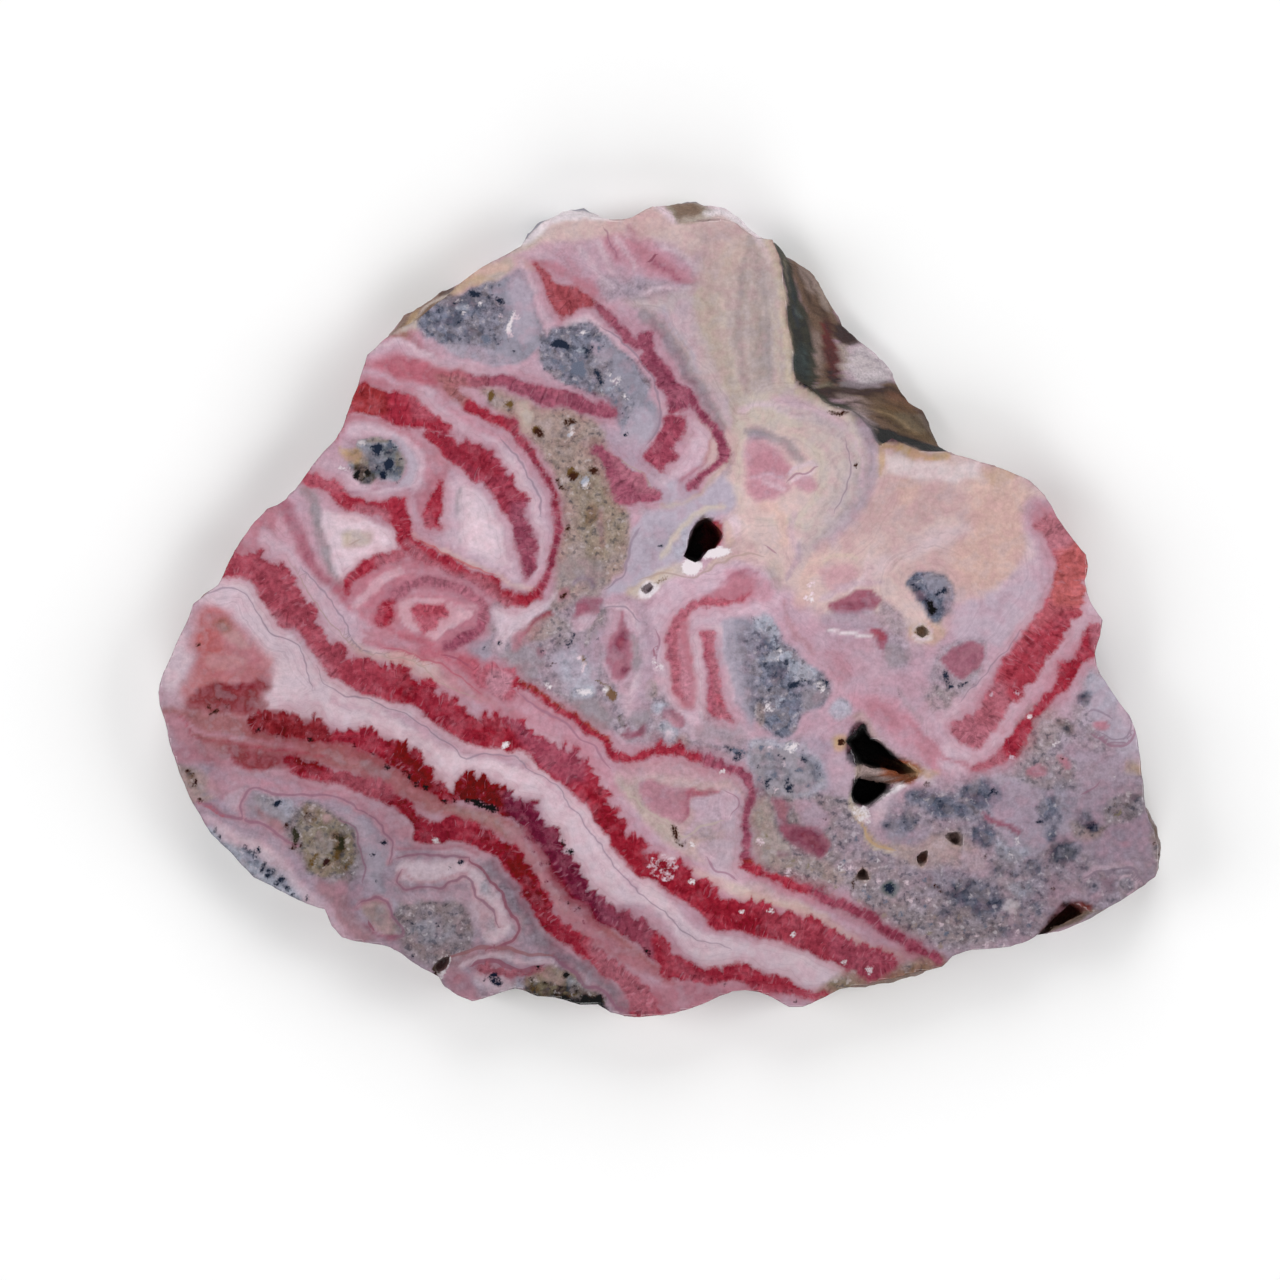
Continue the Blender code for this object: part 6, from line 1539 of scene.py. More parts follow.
def paint_thin_red_line(stone):
    """The thin red line above the main band, with its rosy toothed lobe and the strip down the pocket."""
    stone.wash("rose", 0.8, [
        (44, 65.5), (47, 65.5), (48, 66.8), (49, 68.5), (51, 70), (52.5, 72), (50, 71.5), (47, 70),
        (44.5, 68)], strength=0.8)
    stone.wash("coral", 0.6, [
        (42, 64.8), (44, 64.6), (46.2, 65.4), (47.6, 66.4), (48.6, 68), (47.6, 68), (45.8, 66.8), (43.8, 66),
        (42, 65.8)], strength=0.75)
    stone.wash("crimson", 0.4, [
        (45.2, 65.2), (46.8, 65.8), (48, 67.2), (47, 67.2), (45.6, 66.2)], strength=0.35)
    stone.wash("rose_mist", 0.8, [
        (51, 69), (54, 70.5), (59, 73.8), (61.5, 77.5), (64, 80), (62, 79.5), (59, 76.5), (55, 73.5),
        (51.5, 71.2)], strength=0.8)
    stone.ribbon("coral", 0.8, [0.4, 0.8, 0.9, 0.8, 0.4], [
        (46.8, 65.8), (47.6, 67.2), (48.2, 68.2), (47.8, 67.2)])
    stone.band("rose", 0.9, [
        (48.2, 67.2), (48.8, 66.7), (49.6, 66.6), (50.5, 66.5), (51.2, 67), (51.7, 67.7), (51.8, 68.8),
        (51.6, 69.8), (50.5, 70.3), (49.2, 69.5), (48.4, 68.4)])
    stone.tint("coral", 0.4, [
        (48, 66.5), (51.5, 66), (52.2, 68.5), (51.2, 70), (50.5, 69.8), (51.4, 68.6), (51, 67.4), (49.8, 67),
        (48.8, 67.4), (48.6, 69), (48, 68.4)], strength=0.8)
    stone.tint("rose_mist", 0.6, [
        (49, 67.4), (50.8, 67.4), (51.2, 68.8), (50, 69.6), (48.8, 68.8)], strength=0.6)
    stone.ribbon("crimson", 0.5, [0.5, 0.8, 0.9, 0.9, 0.9, 0.8, 0.8, 0.7], [
        (51.8, 68.4), (53.2, 68.8), (54.5, 69.9), (56.2, 71.2), (58, 72.2), (59.8, 73.4), (60.8, 74.6),
        (61.6, 75.6)])
    stone.streak("rust", 0.3, 0.4, [
        (52, 68.1), (54.5, 69.5), (57.5, 71.4), (60, 73), (61.2, 74.5)], strength=0.6)
    stone.ribbon("crimson", 0.7, [0.8, 0.9, 0.8, 0.8, 0.8, 0.9, 0.8, 0.9], [
        (61.2, 75.2), (62.2, 75.8), (64, 75.5), (65.6, 75.1), (67.5, 75.1), (69.5, 75.7), (71.5, 76.3),
        (73.5, 77.1), (74.7, 77.9)])
    stone.band("crimson", 0.5, [
        (65.2, 74.8), (65.6, 74), (65.9, 73.7), (66.3, 74.4), (67.2, 74.8), (68, 74.1), (68.4, 74.8),
        (69, 75.5), (67, 75.7), (65.5, 75.6)])
    stone.tint("mauve", 0.6, [
        (70.5, 75), (76, 77.5), (76, 79), (74.5, 79), (73, 77.5), (70.5, 76.6)], strength=0.9)
    stone.ribbon("mauve", 0.2, [0.8, 0.9, 0.7, 0.8, 0.8, 0.9], [
        (74.5, 77.8), (75.3, 79), (74.8, 80.8), (74.7, 83), (74.7, 85), (74.8, 86.6)])
    stone.wash("rose", 0.7, [
        (74.5, 86.2), (79, 87.6), (85, 90), (90, 93), (94.5, 95.6), (93.5, 96.6), (89, 94.4), (84, 91.6),
        (79, 89.4), (74.5, 87.8)], strength=0.5)
    stone.wash("tan", 0.6, [
        (72.6, 88.4), (76, 88.4), (80, 90), (83, 91.6), (82, 92.2), (78, 90.8), (74, 89.8)], strength=0.5)
    stone.ribbon("crimson", 0.6, [0.9, 0.9, 0.9, 1.0, 1.2, 1.1, 1.0], [
        (74.4, 86.8), (76, 87.2), (78.5, 88.1), (81.5, 89.3), (84.5, 90.6), (87.5, 92.2), (90.5, 94.1),
        (94, 96)])
    stone.tint("plum", 0.8, [(82.5, 88.5), (94.5, 94.5), (94.5, 97), (84, 92)], strength=0.35)
    stone.tint("mauve", 0.8, [(81, 88.5), (94.5, 94.5), (94.5, 97), (84, 92)], strength=0.6)
    stone.streak("rust", 0.3, 0.3, [(74.5, 86.2), (76.5, 86.6), (80, 87.8), (84, 89.5)], strength=0.5)
    stone.brush("rose", 0.6, 0.5, [(52, 69.5), (54.5, 71.2), (57.5, 72.8)], strength=0.6)
    stone.line("mauve_line", 0.2, [(51.7, 69.2), (53.2, 70.4), (56, 72.2), (59, 74.4), (61, 76.8)])


def paint_pocket(stone):
    """The pocket of blush crystal between the main band and the thin red strip."""
    stone.wash("blush", 0.8, [
        (61.8, 77), (64, 76.2), (69, 76.5), (73, 78), (74.5, 80), (74.2, 86), (72, 86.8), (69, 85.8),
        (66, 83.8), (63.5, 80.8), (61.8, 78.5)])
    stone.wash("rose_mist", 0.8, [
        (62, 76.5), (68, 76.2), (72.5, 77.5), (72, 78.2), (66, 77.5), (62.5, 77.8)], strength=0.7)
    stone.wash("beige", 0.8, [
        (61.8, 78), (63.2, 79), (64.5, 80.8), (66.8, 82), (68.2, 83.8), (67.8, 84.6), (66.2, 83.6),
        (64.5, 82), (63, 80)], strength=0.8)
    stone.wash("cream", 0.5, [
        (62.2, 78.4), (63.4, 79.6), (64.8, 81.2), (66.8, 82.6), (67.6, 83.8), (66, 83.2),
        (64.2, 81.4)], strength=0.35)
    stone.wash("tan", 0.6, [(63, 78.5), (64.2, 79.5), (64.5, 81), (63.2, 80.2)], strength=0.6)
    stone.wash("pale", 0.8, [
        (69, 80), (72.5, 79), (74.4, 80), (74.2, 85.5), (71.5, 86.5), (69.5, 85), (68.5, 83.8), (69.5, 81.5)])
    stone.wash("blush", 0.6, [(69.5, 82.5), (72, 82), (72.2, 83.5), (70, 84.2)], strength=0.5)
    stone.wash("tan", 0.4, [
        (68.8, 84), (70.4, 83.2), (72.2, 83), (72.2, 84.2), (70.6, 85), (69.2, 85.2)], strength=0.6)
    stone.brush("bark", 0.15, 0.2, [(68.4, 84.2), (69.8, 84.3), (71.2, 84)], strength=0.5)
    stone.wash("rose", 0.4, [
        (64, 78.3), (65.5, 78), (67.2, 78.5), (68, 79), (69, 78.8), (70.5, 79.2), (72, 79.1), (71, 79.7),
        (69.5, 79.9), (68.7, 80.1), (68.9, 81), (68.7, 81.8), (68, 82.3), (66.5, 81.7), (65, 80.8),
        (64, 79.8)])
    stone.wash("coral", 0.5, [
        (67.5, 78.7), (69, 78.8), (71.8, 79.2), (70.5, 79.7), (69, 79.8), (68.2, 79.6)], strength=0.6)
    stone.wash("coral", 0.5, [(68, 80.2), (68.8, 80.2), (68.8, 81.5), (68.1, 82.1)], strength=0.5)
    stone.wash("apricot", 0.5, [
        (68.8, 84.2), (70, 83.8), (71.4, 84.2), (71.2, 85), (69.5, 85.2)], strength=0.8)
    stone.line("beige", 0.2, [
        (62.8, 79.5), (64.5, 80.8), (66.5, 82), (68.2, 83.6), (69.2, 83.6), (70.5, 82.5), (72.2, 81.8)])
    stone.brush("pink", 0.2, 0.3, [(69.6, 83.4), (71, 82.4), (72.6, 81.6)], strength=0.6)
    stone.brush("lilac", 0.2, 0.25, [(70, 83.8), (71.6, 83), (73, 82.6)], strength=0.5)
    stone.line("mauve_line", 0.12, [(72.4, 79.2), (73.5, 79.6), (73.8, 80.6), (73, 81.5)])
    stone.brush("haze", 0.2, 0.25, [(73.6, 78.2), (74.3, 79.4), (74.2, 81.2), (73.4, 82.4)], strength=0.5)
    stone.brush("lilac", 0.2, 0.3, [(72.8, 78), (73.6, 79), (73.8, 80.6), (73, 82), (71.2, 83)], strength=0.6)
    stone.line("mauve_line", 0.25, [(70.7, 86), (71.6, 87), (72.8, 87.3), (73.6, 88)])
    stone.grain("umber", [(66.9, 82.3), (67.4, 82.6), (67.8, 83.3), (68, 84.1), (67.6, 83.9), (67.2, 83.2)])
    stone.thread("umber", 0.25, [(67.6, 83.8), (68.1, 84.4), (68.6, 84.2)])
    stone.spot("snow", 0.4, (72.3, 77.1), (69.4, 84.4))
    stone.wash("pale", 0.6, [(70, 84.2), (74.5, 84.6), (74.8, 88), (72.8, 88.6), (70.8, 86.8)])
    stone.wash("peach", 0.8, [
        (69, 86.8), (74, 88.5), (80, 90.5), (86, 93.5), (90.5, 95.8), (87, 95), (82, 92.5), (77, 90.5),
        (72, 89)], strength=0.9)
    stone.wash("cream", 0.6, [(73, 88.5), (78, 90), (83, 91.5), (78, 90.8)], strength=0.4)
    stone.wash("pink", 0.6, [(83, 91.5), (88, 93.5), (90.5, 95.5), (86, 94)], strength=0.8)
    stone.wash("haze", 1.0, [
        (62, 76.5), (68, 76.2), (72.5, 77.5), (74.4, 80), (74.2, 85.8), (71.5, 86.8), (69, 85.5), (66, 83.8),
        (63.5, 80.8), (61.8, 78.5)], strength=0.25)
    stone.brush("mauve", 0.15, 0.25, [(68.7, 79.2), (68.8, 80.4), (68.6, 81.4), (68, 82.1)], strength=0.7)
    stone.wash("crimson", 0.3, [
        (68.8, 79), (70.4, 79), (71.8, 79.1), (70.6, 79.6), (69.2, 79.7)], strength=0.4)


def paint_hollow_country(stone):
    """Lilac field, cream seams and sugar round the long hollow."""
    stone.wash("mist", 0.8, [
        (63.2, 54), (64.5, 52.2), (66.5, 51), (69.5, 50), (72, 48), (73.5, 49), (73, 51), (70, 52), (69, 54),
        (68, 56), (65, 58), (62, 59.5), (60.6, 59), (62, 57.5), (62.8, 56)], rings=True)
    stone.wash("mist", 0.6, [(64, 52), (68, 51.2), (69, 53), (67, 56), (64, 57.5), (62.8, 56)])
    stone.wash("steel", 0.8, [(64.5, 52.8), (66.8, 52), (67.6, 54), (65.5, 56), (63.8, 55.6)], strength=0.25)
    stone.wash("haze", 0.8, [(63.4, 53.4), (66.8, 52), (68, 53.6), (65.5, 56.6), (63, 57.2)], strength=0.2)
    stone.wash("silver", 0.5, [(67.6, 53.6), (68.8, 52), (68.6, 55), (67.4, 56)], strength=0.5)
    stone.line("grey_line", 0.22, [(60.6, 59), (62.2, 57.5), (62.8, 55.5), (63.2, 54), (64, 52.8)])
    stone.line("grey_line", 0.2, [(60.8, 60.7), (61.8, 60.6), (63, 61), (64, 62)])
    stone.brush("ivory", 0.4, 0.5, [
        (66.2, 56), (67, 54.5), (68, 53), (69.5, 51.7), (71, 50.8), (72.2, 50.5)], rings=True)
    stone.wash("ivory", 0.6, [
        (62.5, 59.4), (64, 58.3), (66, 57), (68, 56.2), (69, 57.2), (67, 58.2), (64.5, 59.8),
        (63, 59.8)], strength=0.8)
    stone.wash("cream", 0.4, [
        (62.8, 59.2), (64.4, 58.2), (66.2, 57.2), (67.2, 57.4), (64.8, 58.8), (63.4, 59.7)], strength=0.4)
    stone.brush("ochre", 0.2, 0.3, [(62.6, 59.4), (64, 58.4), (65.6, 57.6), (67.2, 56.8)], strength=0.3)
    stone.brush("cream", 0.4, 0.4, [(68, 57.7), (70, 57.3), (72, 56), (74.5, 55.6)])
    stone.line("tan", 0.2, [(64, 58), (66.5, 57.2), (69, 57.7), (71.5, 56.6), (74, 55.6), (76.5, 55.8)])
    for points in (
        [(68, 56.2), (68.8, 55.8), (69.8, 56.2), (70.2, 56.7), (69.6, 57.3), (68.4, 57.2)],
        [(70.3, 55.3), (71, 54.8), (72.2, 54.5), (73.1, 54.8), (72.7, 55.5), (71.2, 55.9), (70.4, 56)],
    ):
        stone.grain("snow", points)
    stone.grain("olive", [(64, 58.8), (64.4, 58.6), (64.8, 58.8), (64.5, 59.1), (64.1, 59.1)])
    stone.thread("umber", 0.2, [(64.1, 58.7), (64.6, 58.5), (65, 58.2)])
    stone.thread("olive", 0.2, [(65.5, 58.4), (66, 58), (66.6, 57.7)])
    stone.grain("snow", [(64.5, 59), (64.8, 58.6), (65.2, 58.4), (65.3, 58.7), (65, 59.1)])
    stone.spot("ink", 0.35, (66.1, 54.5))
    stone.wash("blush", 0.8, [
        (72.2, 53.5), (74.5, 54), (76, 56), (73.5, 57), (71.2, 57), (70, 57.5), (71.2, 56.5),
        (72.5, 55.2)], strength=0.7)
    stone.wash("fleece", 0.5, [
        (72.4, 52.2), (73.6, 51.6), (74.2, 53), (73.2, 53.8), (72.6, 53.2)], strength=0.6)
    stone.wash("ochre", 0.5, [(72.2, 52), (73, 52.4), (73.4, 53.8), (72.8, 54.4)], strength=0.4)
    stone.wash("beige", 0.7, [(77, 56), (78.5, 57), (78, 59), (77, 58.5)], strength=0.5)
    stone.wash("snow", 0.2, [
        (68.3, 56.4), (69.2, 56.1), (70, 56.3), (70, 56.9), (69, 57.2), (68.3, 56.9)], strength=0.8)


def paint_swirl(stone):
    """The concentric swirl right of the crown, round a rose heart."""
    stone.wash("ivory", 1.0, [
        (74.2, 40), (79, 39.5), (84, 41), (86.8, 44), (87.2, 47), (86, 50.5), (83.8, 53), (81.5, 54.5),
        (80, 53), (76, 52), (73.8, 50), (73.5, 46)])
    stone.wash("peach", 0.8, [
        (74.8, 42.5), (79, 43.5), (81.2, 45.5), (82, 48), (80, 51), (76, 52), (74, 50), (74.2, 45.5)])
    stone.wash("pink", 0.8, [
        (77, 39.6), (80, 39.8), (83, 41.2), (85, 42.5), (83, 42.4), (80, 41), (77.5, 40.4)], strength=0.7)
    stone.brush("dusty", 0.5, 0.6, [(79, 40), (81.5, 41.2), (83.8, 42.2)], strength=0.2)
    stone.brush("lilac", 1.0, 1.4, [
        (86.2, 42.5), (87.2, 45.5), (86.6, 49), (85, 51.5), (83.2, 53.5),
        (81.8, 54.8)], strength=0.8, rings=True)
    stone.brush("fog", 1.2, 1.6, [
        (86.6, 47), (85.6, 49.8), (83.8, 52), (81.8, 54), (80.4, 55.6)], strength=0.4)
    stone.brush("oyster", 0.6, 1.0, [
        (80, 41.5), (83.5, 43), (85, 45.5), (84.5, 49), (82.5, 52)], strength=0.8, rings=True)
    stone.brush("peach", 0.5, 0.7, [
        (78, 42.5), (81.5, 44), (83.2, 46.5), (82.5, 49.5), (80.5, 52)], strength=0.8, rings=True)
    stone.wash("fog", 0.4, [
        (74.4, 42.8), (76, 42.7), (77.8, 43.4), (79.4, 44.7), (80.6, 46), (79.4, 45.8), (78, 44.8),
        (76.4, 44), (74.8, 44)], strength=0.75)
    stone.wash("steel", 0.3, [(74.4, 43.2), (75.6, 43), (77, 43.6), (76.4, 44), (75, 43.8)], strength=0.5)
    stone.brush("milk", 0.5, 0.5, [(74.2, 41), (76, 40.4), (78, 40.8), (80, 41.6)], strength=0.8)
    stone.wash("rose_mist", 1.2, [
        (74.5, 44), (76.5, 44), (78.5, 45.5), (79.2, 46.8), (78.5, 48), (79, 49), (77, 50), (75.2, 49.8),
        (74.5, 48)], strength=0.85, rings=True)
    stone.wash("rose", 0.8, [
        (74.8, 46.2), (76, 45.4), (77.2, 45.2), (78.4, 46), (79.2, 47), (78, 47.8), (76.4, 47.4),
        (75, 47.4)], strength=0.55)
    stone.brush("pale", 0.3, 0.4, [(75.2, 47.8), (76.6, 47.6), (78, 48)], strength=0.6)
    stone.wash("rose", 0.8, [(74.5, 48.4), (76, 48), (77.8, 48.8), (77, 49.8), (75, 49.6)], strength=0.35)
    stone.wash("rose_mist", 0.6, [
        (79.2, 47.8), (81, 47.5), (81.8, 48.5), (80.8, 49.2), (79.5, 48.8)], strength=0.8)
    stone.brush("milk", 0.3, 0.4, [(78.8, 47.4), (79.6, 46.6), (80.8, 46.3), (81.6, 46.6)], strength=0.8)
    stone.brush("fleece", 0.3, 0.3, [(79, 48.2), (80, 47.7), (81.5, 47.2)], strength=0.8)
    stone.line("mauve_line", 0.25, [(78.7, 48.2), (79.5, 47.4), (80.6, 47.4), (81.7, 46.7)])
    stone.brush("milk", 0.4, 0.4, [(76.5, 48.2), (77.5, 48.5), (78.2, 49)], strength=0.7)
    stone.brush("apricot", 0.8, 1.2, [(76.6, 50.6), (77.8, 51.2), (78.6, 52.8), (78.4, 54)], strength=0.6)
    stone.brush("pale", 0.5, 0.7, [(79.6, 51.2), (79.2, 53), (79.6, 55)], strength=0.6)
    stone.brush("lilac", 0.4, 0.6, [(80, 54.5), (79.6, 56), (78.8, 57.6)], strength=0.6)
    stone.wash("blush", 0.8, [
        (81.6, 56.2), (84, 55.6), (86, 56.2), (85.8, 58.4), (84, 59.2), (82.2, 58.8)], strength=0.7)
    stone.wash("rose_mist", 0.8, [(82, 57), (84, 56.6), (85.6, 57.2), (85, 58.8), (83, 58.8)], strength=0.5)
    stone.brush("cream", 0.3, 0.4, [(82.3, 56.2), (83.4, 55.6), (84.8, 55.6), (85.6, 56.1)], strength=0.6)
    stone.brush("fleece", 0.3, 0.3, [(86.8, 55.6), (86.6, 57), (85.8, 58.2), (85, 59.2)], strength=0.5)
    stone.brush("pale", 0.5, 0.6, [(82, 60), (85, 58.5), (88, 58.2)], strength=0.7)
    stone.brush("apricot", 0.8, 1.4, [(80, 60), (81, 57), (82.5, 54.5)], strength=0.5)
    stone.line("mauve_line", 0.2, [(76.5, 54.6), (77, 54.9), (77.5, 55.3)])
    stone.line("grey_line", 0.15, [(84.6, 44), (85, 46.5), (84.6, 49), (83.4, 51.2)])
    stone.wash("fog", 0.6, [(76, 56.5), (78, 57.5), (77.5, 60), (76.2, 59)], strength=0.4)
    stone.spot("fleece", 0.4, (80.8, 58.8), (81.2, 59.4), (80.6, 59.8), (81.4, 58.6))
    stone.spot("snow", 0.3, (81.1, 60))
    stone.wash("oyster", 1.5, [
        (79, 40.4), (82.4, 41.2), (85.2, 43), (86.8, 45.6), (86.6, 49), (84.6, 52.4), (82, 54.4), (80, 54),
        (81.2, 51), (82.6, 48.6), (82.4, 45.6), (80.6, 43)], strength=0.5)
    stone.brush("shell", 0.2, 0.3, [
        (78, 40.8), (82, 42), (85, 44.6), (85.8, 47.4), (85, 50.4), (82.4, 53.2)], strength=0.5, rings=True)
    stone.brush("pale", 0.3, 0.4, [
        (77.6, 40), (81.2, 41), (84.6, 43), (86.2, 45.8), (86.2, 48.6)], strength=0.6)
    stone.brush("shell", 0.2, 0.25, [
        (80, 43), (82.2, 44.8), (83.6, 47), (83.2, 49.6), (81.6, 51.6)], strength=0.5)


def paint_red_arch(stone):
    """The red arch round the smooth grey inclusion, and the rose cloud beside it."""
    stone.wash("pale", 0.8, [
        (66, 58.5), (70, 57), (74.5, 56.2), (77, 58), (78, 60.5), (76, 61.5), (72, 62), (70, 64), (70, 72),
        (69, 72.5), (66.8, 70), (65.5, 66), (65.2, 62)])
    stone.wash("pink", 0.8, [
        (60.5, 60), (64, 60), (65.5, 64), (65, 69), (63, 70), (61.2, 68), (60.2, 64)], strength=0.7)
    stone.wash("rose_mist", 0.8, [
        (72.2, 57.4), (74, 56.6), (76, 57.4), (77.4, 59), (76.8, 60.2), (75.2, 60.4),
        (74, 59.6)], strength=0.8)
    stone.wash("rose", 0.8, [
        (73.5, 57), (75, 57.2), (75.5, 58.5), (74.5, 59.8), (72.5, 60), (70, 60), (72.2, 58.8)])
    stone.wash("coral_line", 1.0, [
        (66.4, 63.6), (67.6, 61.6), (69.2, 61.2), (69, 64), (69.6, 67), (69.7, 70.2), (68.4, 70.6),
        (67.4, 69), (66.8, 66.2)], strength=0.45)
    stone.wash("rose", 0.8, [
        (67.6, 62.2), (69, 61.4), (69, 64), (69.6, 67.2), (69.6, 70.4), (68.6, 70.6), (68, 69),
        (67.6, 65.5)], strength=0.6)
    stone.brush("mauve", 0.3, 0.4, [(72.2, 58.4), (73.2, 57.4), (74.6, 56.9), (75.8, 57.2)], strength=0.5)
    stone.brush("dusty", 0.4, 0.6, [(78.4, 60.2), (79, 62.2), (80, 64), (81.2, 65)], strength=0.4)
    stone.band("coral", 0.7, [
        (75, 58.6), (74.5, 59.4), (72.2, 59.8), (70, 59.9), (68.5, 60.5), (67.6, 61.4), (67, 62.5),
        (66.3, 63.8), (66.8, 64.5), (66.7, 65.5), (67.1, 66.5), (67.2, 67.8), (67.6, 69), (68.1, 70),
        (69.1, 70.1), (69.1, 68), (68.6, 66.5), (68.4, 65), (68.1, 63.5), (68.4, 62.1), (69.3, 61.1),
        (71.2, 60.6), (73.2, 60.3), (74.8, 59.8)])
    stone.tint("rose", 0.6, [(69, 60), (76, 59), (75, 57), (70, 59)], strength=0.8)
    stone.tint("mauve", 0.5, [(67.6, 61.2), (69, 60.2), (70.5, 60), (69, 61.2), (67.8, 62.2)], strength=0.3)
    stone.tint("mauve", 0.3, [(66.2, 63), (66.8, 63), (67.2, 65), (67.2, 67), (66.6, 65.5)], strength=0.5)
    stone.tint("rose", 0.8, [(66, 60), (70, 59.6), (70, 70.5), (66, 70.5)], strength=0.35)
    stone.tint("rose_mist", 0.6, [
        (68, 63), (69.2, 63.2), (69.2, 66), (69.4, 70.2), (68.4, 70), (68, 66)], strength=0.65)
    stone.band("coral", 0.3, [
        (70.2, 63.2), (70.9, 63), (71.5, 63.3), (71.4, 64.5), (71.7, 66), (72.1, 68), (72.3, 69.5),
        (72.9, 71.2), (73.1, 72.3), (72, 71.9), (71.1, 71.6), (70.8, 70), (70.8, 68.5), (70.6, 66.5),
        (70.2, 65)])
    stone.tint("rose", 0.5, [
        (70.7, 62.8), (71.8, 63), (71.8, 66), (72.2, 69), (71.4, 69), (71, 66)], strength=0.6)
    stone.tint("mauve", 0.4, [(70.2, 64), (70.6, 64), (71.2, 68), (71.6, 71), (70.8, 70)], strength=0.5)
    stone.tint("rose", 0.4, [(71.6, 70.6), (73, 70.6), (73.2, 72.2), (72, 72.2)], strength=0.5)
    stone.wash("milk", 0.5, [
        (69.2, 64), (70, 63.6), (70.4, 68), (70.7, 71.5), (69.6, 71.2), (69.2, 68)], strength=0.7)
    stone.wash("fleece", 0.4, [
        (70.4, 62.6), (71.6, 62.4), (72.2, 63), (71.8, 64), (71.2, 62.8)], strength=0.7)
    stone.wash("coral", 0.9, [
        (67.8, 62.2), (68.8, 61.6), (69, 64), (69.4, 66.8), (69.7, 70.2), (68.4, 70.8), (67.6, 69),
        (67.2, 65.6)], strength=0.5)
    stone.brush("pale", 0.4, 0.5, [(72, 64), (72.6, 67), (73.2, 70), (74, 72.2)], strength=0.8)
    stone.wash("slate", 1.0, [
        (72.8, 64), (74.2, 63), (75.2, 64), (75.7, 69), (75.4, 71.6), (74.2, 70), (73.4, 67)], strength=0.35)
    stone.wash("slate", 0.6, [
        (74.4, 63), (75.6, 62.8), (75.8, 69), (75.6, 72), (74.8, 70), (74.6, 66)], strength=0.5)
    stone.brush("mauve", 0.3, 0.3, [(65, 64.8), (65.3, 65.8), (65.4, 66.6)], strength=0.7)
    stone.line("mauve", 0.22, [(65.2, 64.8), (65.4, 65.3), (65.3, 65.8)])
    stone.line("mauve_line", 0.2, [(65.5, 63), (65.7, 64), (65.6, 66.2), (65.8, 66.8)])
    stone.spot("pale", 0.4, (65.4, 66), (66, 66.8), (65.5, 67.2), (65.2, 63.5))
    stone.spot("snow", 0.3, (65.5, 66.5), (66.1, 66.8))
    stone.wash("pink", 0.6, [
        (60.6, 61.6), (61.6, 60.6), (62.8, 60.6), (63.8, 62), (64, 64), (63.2, 66), (63.4, 67.6), (62, 68.4),
        (60.6, 67.6), (60.2, 65), (60.3, 63.2)], strength=0.9)
    stone.wash("mauve", 0.4, [
        (61.9, 61.2), (62.3, 61.6), (62.6, 62.8), (63.2, 63.6), (63.3, 65), (63.1, 66), (63.2, 67),
        (62.6, 67.7), (61.8, 68), (61.2, 67.8), (60.8, 66.5), (60.6, 65), (60.9, 63.6),
        (61.5, 62.8)], strength=0.8, rings=True)
    stone.wash("plum", 0.3, [
        (61.8, 63.4), (62.8, 63.6), (63, 64.6), (62.2, 64.8), (61.6, 64.2)], strength=0.4)
    stone.wash("plum", 0.4, [(61.7, 63.4), (62.6, 63.3), (63, 64.3), (62.2, 65), (61.5, 64.6)], strength=0.6)
    stone.wash("rose", 0.4, [(61.2, 65), (62, 65.4), (62.4, 66.4), (61.6, 67), (61, 66.2)], strength=0.4)
    stone.wash("plum", 0.3, [(62, 66.7), (63.1, 66.8), (62.8, 67.2), (62.2, 67.5)], strength=0.8)
    stone.wash("crimson", 0.3, [(61.8, 64), (62.4, 64), (62.4, 64.6), (61.8, 64.6)], strength=0.4)
    stone.wash("fog", 0.5, [
        (63.2, 63.5), (64, 64.5), (64.2, 66), (63.8, 67.2), (63.2, 66.5), (63.4, 65)], strength=0.8)
    stone.wash("silver", 0.4, [(63.6, 61.6), (64.4, 63), (64.6, 64.4), (64, 64)], strength=0.5)
    stone.brush("milk", 0.5, 0.6, [
        (61.2, 60.5), (63, 61), (64, 63), (64.5, 65.5), (64, 68), (62.8, 70.5)], strength=0.6)
    stone.brush("fleece", 0.4, 0.7, [(64, 67.6), (63.4, 69), (62.8, 70.8)], strength=0.7)
    stone.wash("sand", 0.5, [(64.6, 68.2), (65.4, 68), (65.6, 69.4), (64.8, 70), (64.2, 69.4)], strength=0.7)


